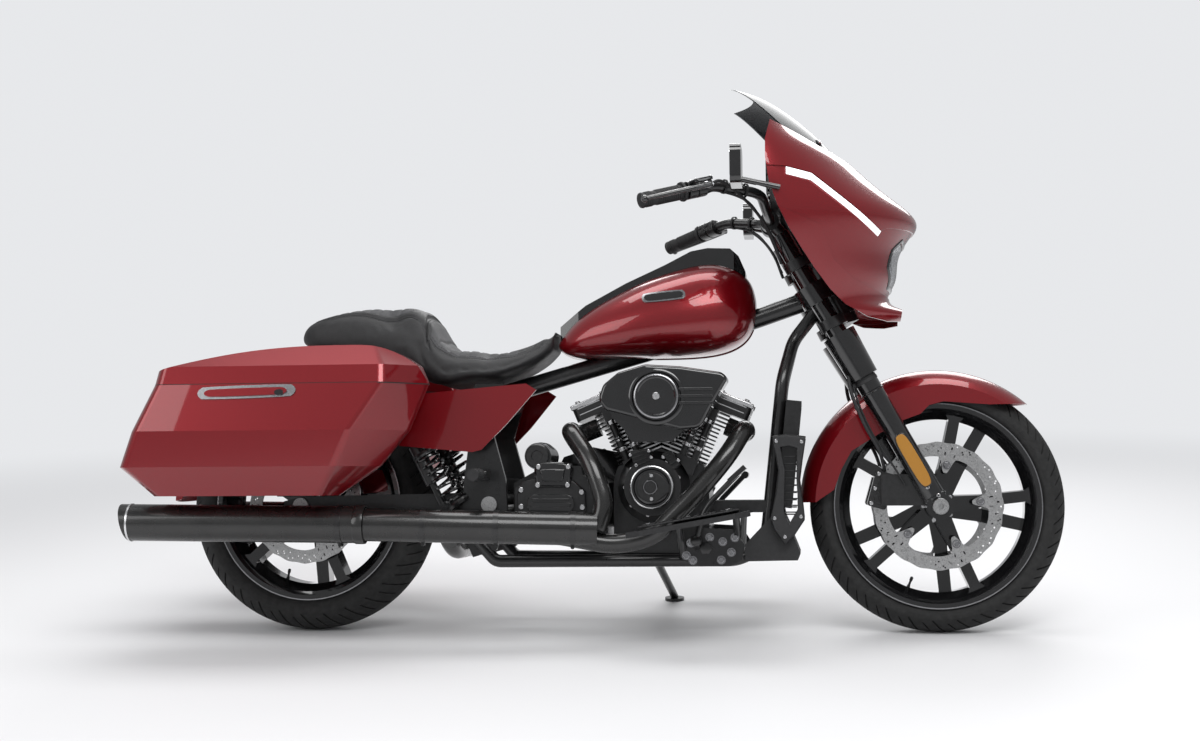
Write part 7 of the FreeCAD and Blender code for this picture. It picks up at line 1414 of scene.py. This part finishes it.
def tail_dress():
    """Rim and three bars on the tail lamp; blank plate with its bolts and frame."""
    tree = tree_of("tail_lamp")
    rim = []
    for grow, lift in ((0, -2.0), (0, 1.4), (-7, 1.4), (-7, -2.0)):
        for y, z in squarish(80, TAIL_HALF_WIDTH + grow, TAIL_HALF_HEIGHT + grow, 0.4):
            hit = meet(tree, (BEHIND_TAIL, y, TAIL_Z + z), TO_FRONT, (TAIL_FACE, y, TAIL_Z + z))[0]
            rim.append(hit - Vector((lift, 0, 0)))
    piece("tail_lamp_rim", (rim, band(80, 4, endless=True)), GLOSS)
    bars = [patch(tree, (BEHIND_TAIL, -58, TAIL_Z + dz - 4), (0, 116, 0), (0, 0, 8), (24, 3), TO_FRONT, 1.6, 0.05)
            for dz in (-22, 0, 22)]
    piece("tail_lamp_bars", join(*bars), RUBY, angle=20)
    piece("blank_plate", moved(sheet_x(rounded(0, -4, 176, 96, 8), -2.2, -3.4), on_plate), BLANK, bevel=0.4)
    heads = [bolt((-3.2, y, 36), TO_BACK, 5.4, 4, hexagon=True) for y in (-73, 73)]
    piece("plate_bolts", moved(join(*heads), on_plate), MACHINED)
    corners = [(-3.4, -92, -56), (-3.4, 92, -56), (-3.4, 92, 48), (-3.4, -92, 48)]
    edges = [tube([a, b], 2.2, n=8) for a, b in zip(corners, corners[1:] + corners[:1])]
    piece("plate_frame", moved(join(*edges), on_plate), GLOSS)


tail_dress()


# Radiator shrouds and the bolts of the lower guards

SHROUD_MIDDLE = Vector((440, 380))
SHROUD_OUTER = [(401, 497), (436, 502), (485, 496), (476, 440), (469, 387), (476, 330), (480, 288), (456, 252),
                (430, 226), (404, 262), (394, 288), (407, 350), (415, 412), (409, 455)]
SHROUD_HOLE = [(421, 469), (442, 472), (463, 466), (461, 428), (460, 387), (462, 350), (462, 312), (450, 292),
               (441, 276), (432, 296), (428, 316), (430, 350), (432, 412), (426, 440)]
GUARD_Y = -205.2


def radiator_shrouds():
    """Shroud at each end of the radiator, open in the middle with slats across."""
    v = []
    for y, ring, grow in ((128.6, SHROUD_OUTER, 0), (150.0, SHROUD_OUTER, 0), (156.0, SHROUD_OUTER, -4),
                          (156.0, SHROUD_HOLE, 0), (139.0, SHROUD_HOLE, 4), (128.6, SHROUD_HOLE, 4)):
        for p in (Vector(q) for q in ring):
            p += (p - SHROUD_MIDDLE).normalized() * grow
            v.append((p.x, -y, p.y))
    slats = [box(430, 461, -142, -139, z, z + 3.5) for z in range(300, 462, 18)]
    shell = (v, band(len(SHROUD_OUTER), 6, endless=True))
    both_sides("radiator_shrouds", join(shell, *slats), PLASTIC, bevel=1.5, angle=30)
    places = [(x, -155.5, z) for x, z in ((411, 484), (474, 482), (405, 292), (470, 296), (430, 246))]
    bolts("shroud_bolts", places, both=True, r=4.5, h=3.5)


radiator_shrouds()
bolts("guard_bolts", [(x, GUARD_Y, z) for x, z in ((199, 233), (188, 202), (204, 190), (246, 247), (278, 236),
                                                   (308, 246), (299, 210), (274, 191))], mat=EDGE, both=True, r=7.5,
      h=8, hexagon=True)
bolts("guard_hub_bolts", [(236, GUARD_Y, 221)], mat=SATIN, both=True, r=15, h=7, hexagon=True)


# Springs

SHOCK_TOP, SHOCK_FOOT = Vector((-482, 156, 458)), Vector((-398, 156, 336))
SPRING_R, SPRING_WIRE, SPRING_TURNS = 27.0, 4.6, 7


def coil(a, b, n=18):
    """Spring between two points."""
    _, u, w = basis(b - a)
    steps = SPRING_TURNS * n
    path = [a + (b - a) * (k / steps) + (u * math.cos(TURN * k / n) + w * math.sin(TURN * k / n)) * SPRING_R
            for k in range(steps + 1)]
    return tube(path, SPRING_WIRE, n=8, steps=1)


both_sides("shock_springs", coil(SHOCK_TOP, SHOCK_FOOT), GLOSS)
cap = [(0, 0), (0, 30), (7, 32), (12, 30), (12, 24)]
both_sides("shock_caps", join(lathe((-486, 156, 464), SHOCK_FOOT - SHOCK_TOP, cap, 36),
                              lathe((-392, 156, 328), SHOCK_TOP - SHOCK_FOOT, cap, 36)), SATIN)


# Small castings on the right side of the engine and gearbox

GEARBOX_FACE = -158.3
STARTER_CAP = (-190.0, 451.0)


def gearbox_covers():
    """Side cover, top cover with its step, oil window rim and their bolts."""
    side_cover = [(-240, 310), (-244, 352), (-231, 386), (-196, 396), (-98, 388), (-68, 362), (-66, 310)]
    top_cover = [(-193, 372), (-199, 420), (-190, 431), (-176, 436), (-124, 436), (-108, 431), (-98, 420), (-106, 372)]
    top_step = [(-176, 386), (-184, 418), (-118, 418), (-124, 386)]
    window = join(*[plate(rounded(x, z, w, h, r), GEARBOX_FACE - low, GEARBOX_FACE - high)
                    for x, z, w, h, r, low, high in ((-156, 331, 120, 46, 20, 7, 14), (-156, 341, 96, 7, 3.4, 13, 17),
                                                     (-156, 328, 104, 12, 5.8, 13, 16))])
    piece("gearbox_cover", plate(side_cover, GEARBOX_FACE + 2, GEARBOX_FACE - 8), CASTING, bevel=3.0, angle=40)
    piece("gearbox_top_cover", plate(top_cover, -120, GEARBOX_FACE - 16), GLOSS, bevel=6.0, angle=40)
    piece("gearbox_top_step", plate(top_step, GEARBOX_FACE - 14, GEARBOX_FACE - 20), GLOSS, bevel=4.0, angle=40)
    piece("gearbox_window_rim", window, GLOSS, bevel=2.0, angle=40)
    places = [(x, GEARBOX_FACE - 15, z) for x, z in ((-186, 424), (-110, 424), (-188, 378), (-112, 378))]
    places += [(x, GEARBOX_FACE - 7, z) for x, z in ((-232, 366), (-232, 324), (-76, 322), (-78, 360))]
    bolts("gearbox_cover_bolts", places, r=6.5, h=6)
    x, z = STARTER_CAP
    cap = lathe((x, -166.0, z), TO_RIGHT, [(0, 31), (4, 31), (7, 28), (7, 15), (4, 14), (4, 0)], 64)
    piece("starter_cap", cap, CASTING)
    piece("starter_clamp", join(*[lathe((x, y, z), TO_RIGHT, [(0, 31), (0, 34), (5, 34), (5, 31)], 64)
                                  for y in (-128, -142, -156)]), EDGE)


def lifter_blocks():
    """Two ribbed blocks at the foot of the pushrod tubes with their bolts."""
    parts = []
    for outline in ([(43, 462), (88, 469), (102, 438), (56, 419)], [(124, 455), (147, 463), (171, 427), (156, 413)]):
        parts.append(plate(outline, -118, -152))
        a, b, c, d = (Vector(p) for p in outline)
        for share in (0.12, 0.37, 0.62, 0.87):
            p, q = a + (d - a) * share, b + (c - b) * share
            parts.append(plate([p, q, q + (c - b) * 0.1, p + (d - a) * 0.1], -151, -157))
    piece("lifter_blocks", join(*parts), CASTING, bevel=1.2, angle=30)
    bolts("lifter_bolts", [(x, -151.5, z) for x, z in ((45, 452), (92, 462), (60, 426), (98, 446), (128, 446),
                                                       (166, 438))], r=4.5, h=6)


def cam_cover():
    """Raised teardrop and hub in the cam cover's ring."""
    arc = [math.radians(38 + k * 284 / 24) for k in range(25)]
    teardrop = [(CAM.x + 38 * math.cos(a), CAM.z + 38 * math.sin(a)) for a in arc]
    teardrop += [(CAM.x + 44, CAM.z - 13), (CAM.x + 47, CAM.z + 3)]
    hub = CAM + Vector((-3, -4.5, 0))
    piece("cam_teardrop", plate(teardrop, CAM.y - 1.0, CAM.y - 5.5), CASTING, bevel=1.6, angle=40)
    piece("cam_hub", lathe(hub, TO_RIGHT, [(0, 19), (2.5, 19), (4, 17.5), (4, 15), (2.6, 13.8), (2.6, 0)], 64), GLOSS)
    piece("cam_hub_edge", lathe(hub - Vector((0, 3.8, 0)), TO_RIGHT, [(0, 17.6), (0.7, 17.2), (0.7, 15.4), (0, 15)],
                                64), EDGE)


def rocker_and_air_covers():
    """Bright strips on the rocker boxes, and bars and a collar on the air cleaner."""
    strips = [on_cylinder(box(34, 139.4, low, high, HEAD_FOOT + 32, HEAD_FOOT + ROCKER_TOP - 0.1), side)
              for side in (1, -1) for low, high in ((-75.1, -67.59), (67.59, 75.1))]
    piece("rocker_strips", join(*strips), MACHINED, bevel=2.5, angle=40)
    bars = [plate(rounded(AIR_COVER.x + 96, AIR_COVER.z + dz, 86, 7, 3), -262, -268.5) for dz in (17, 0, -17)]
    piece("air_cover_bars", join(*bars), GLOSS, bevel=1.5, angle=40)
    piece("air_cover_collar", lathe(AIR_COVER + Vector((0, 14, 0)), TO_RIGHT, [(0, 70), (4, 69), (6, 66), (6, 61),
                                                                              (3, 58)], 96), GLOSS)


gearbox_covers()
lifter_blocks()
cam_cover()
rocker_and_air_covers()
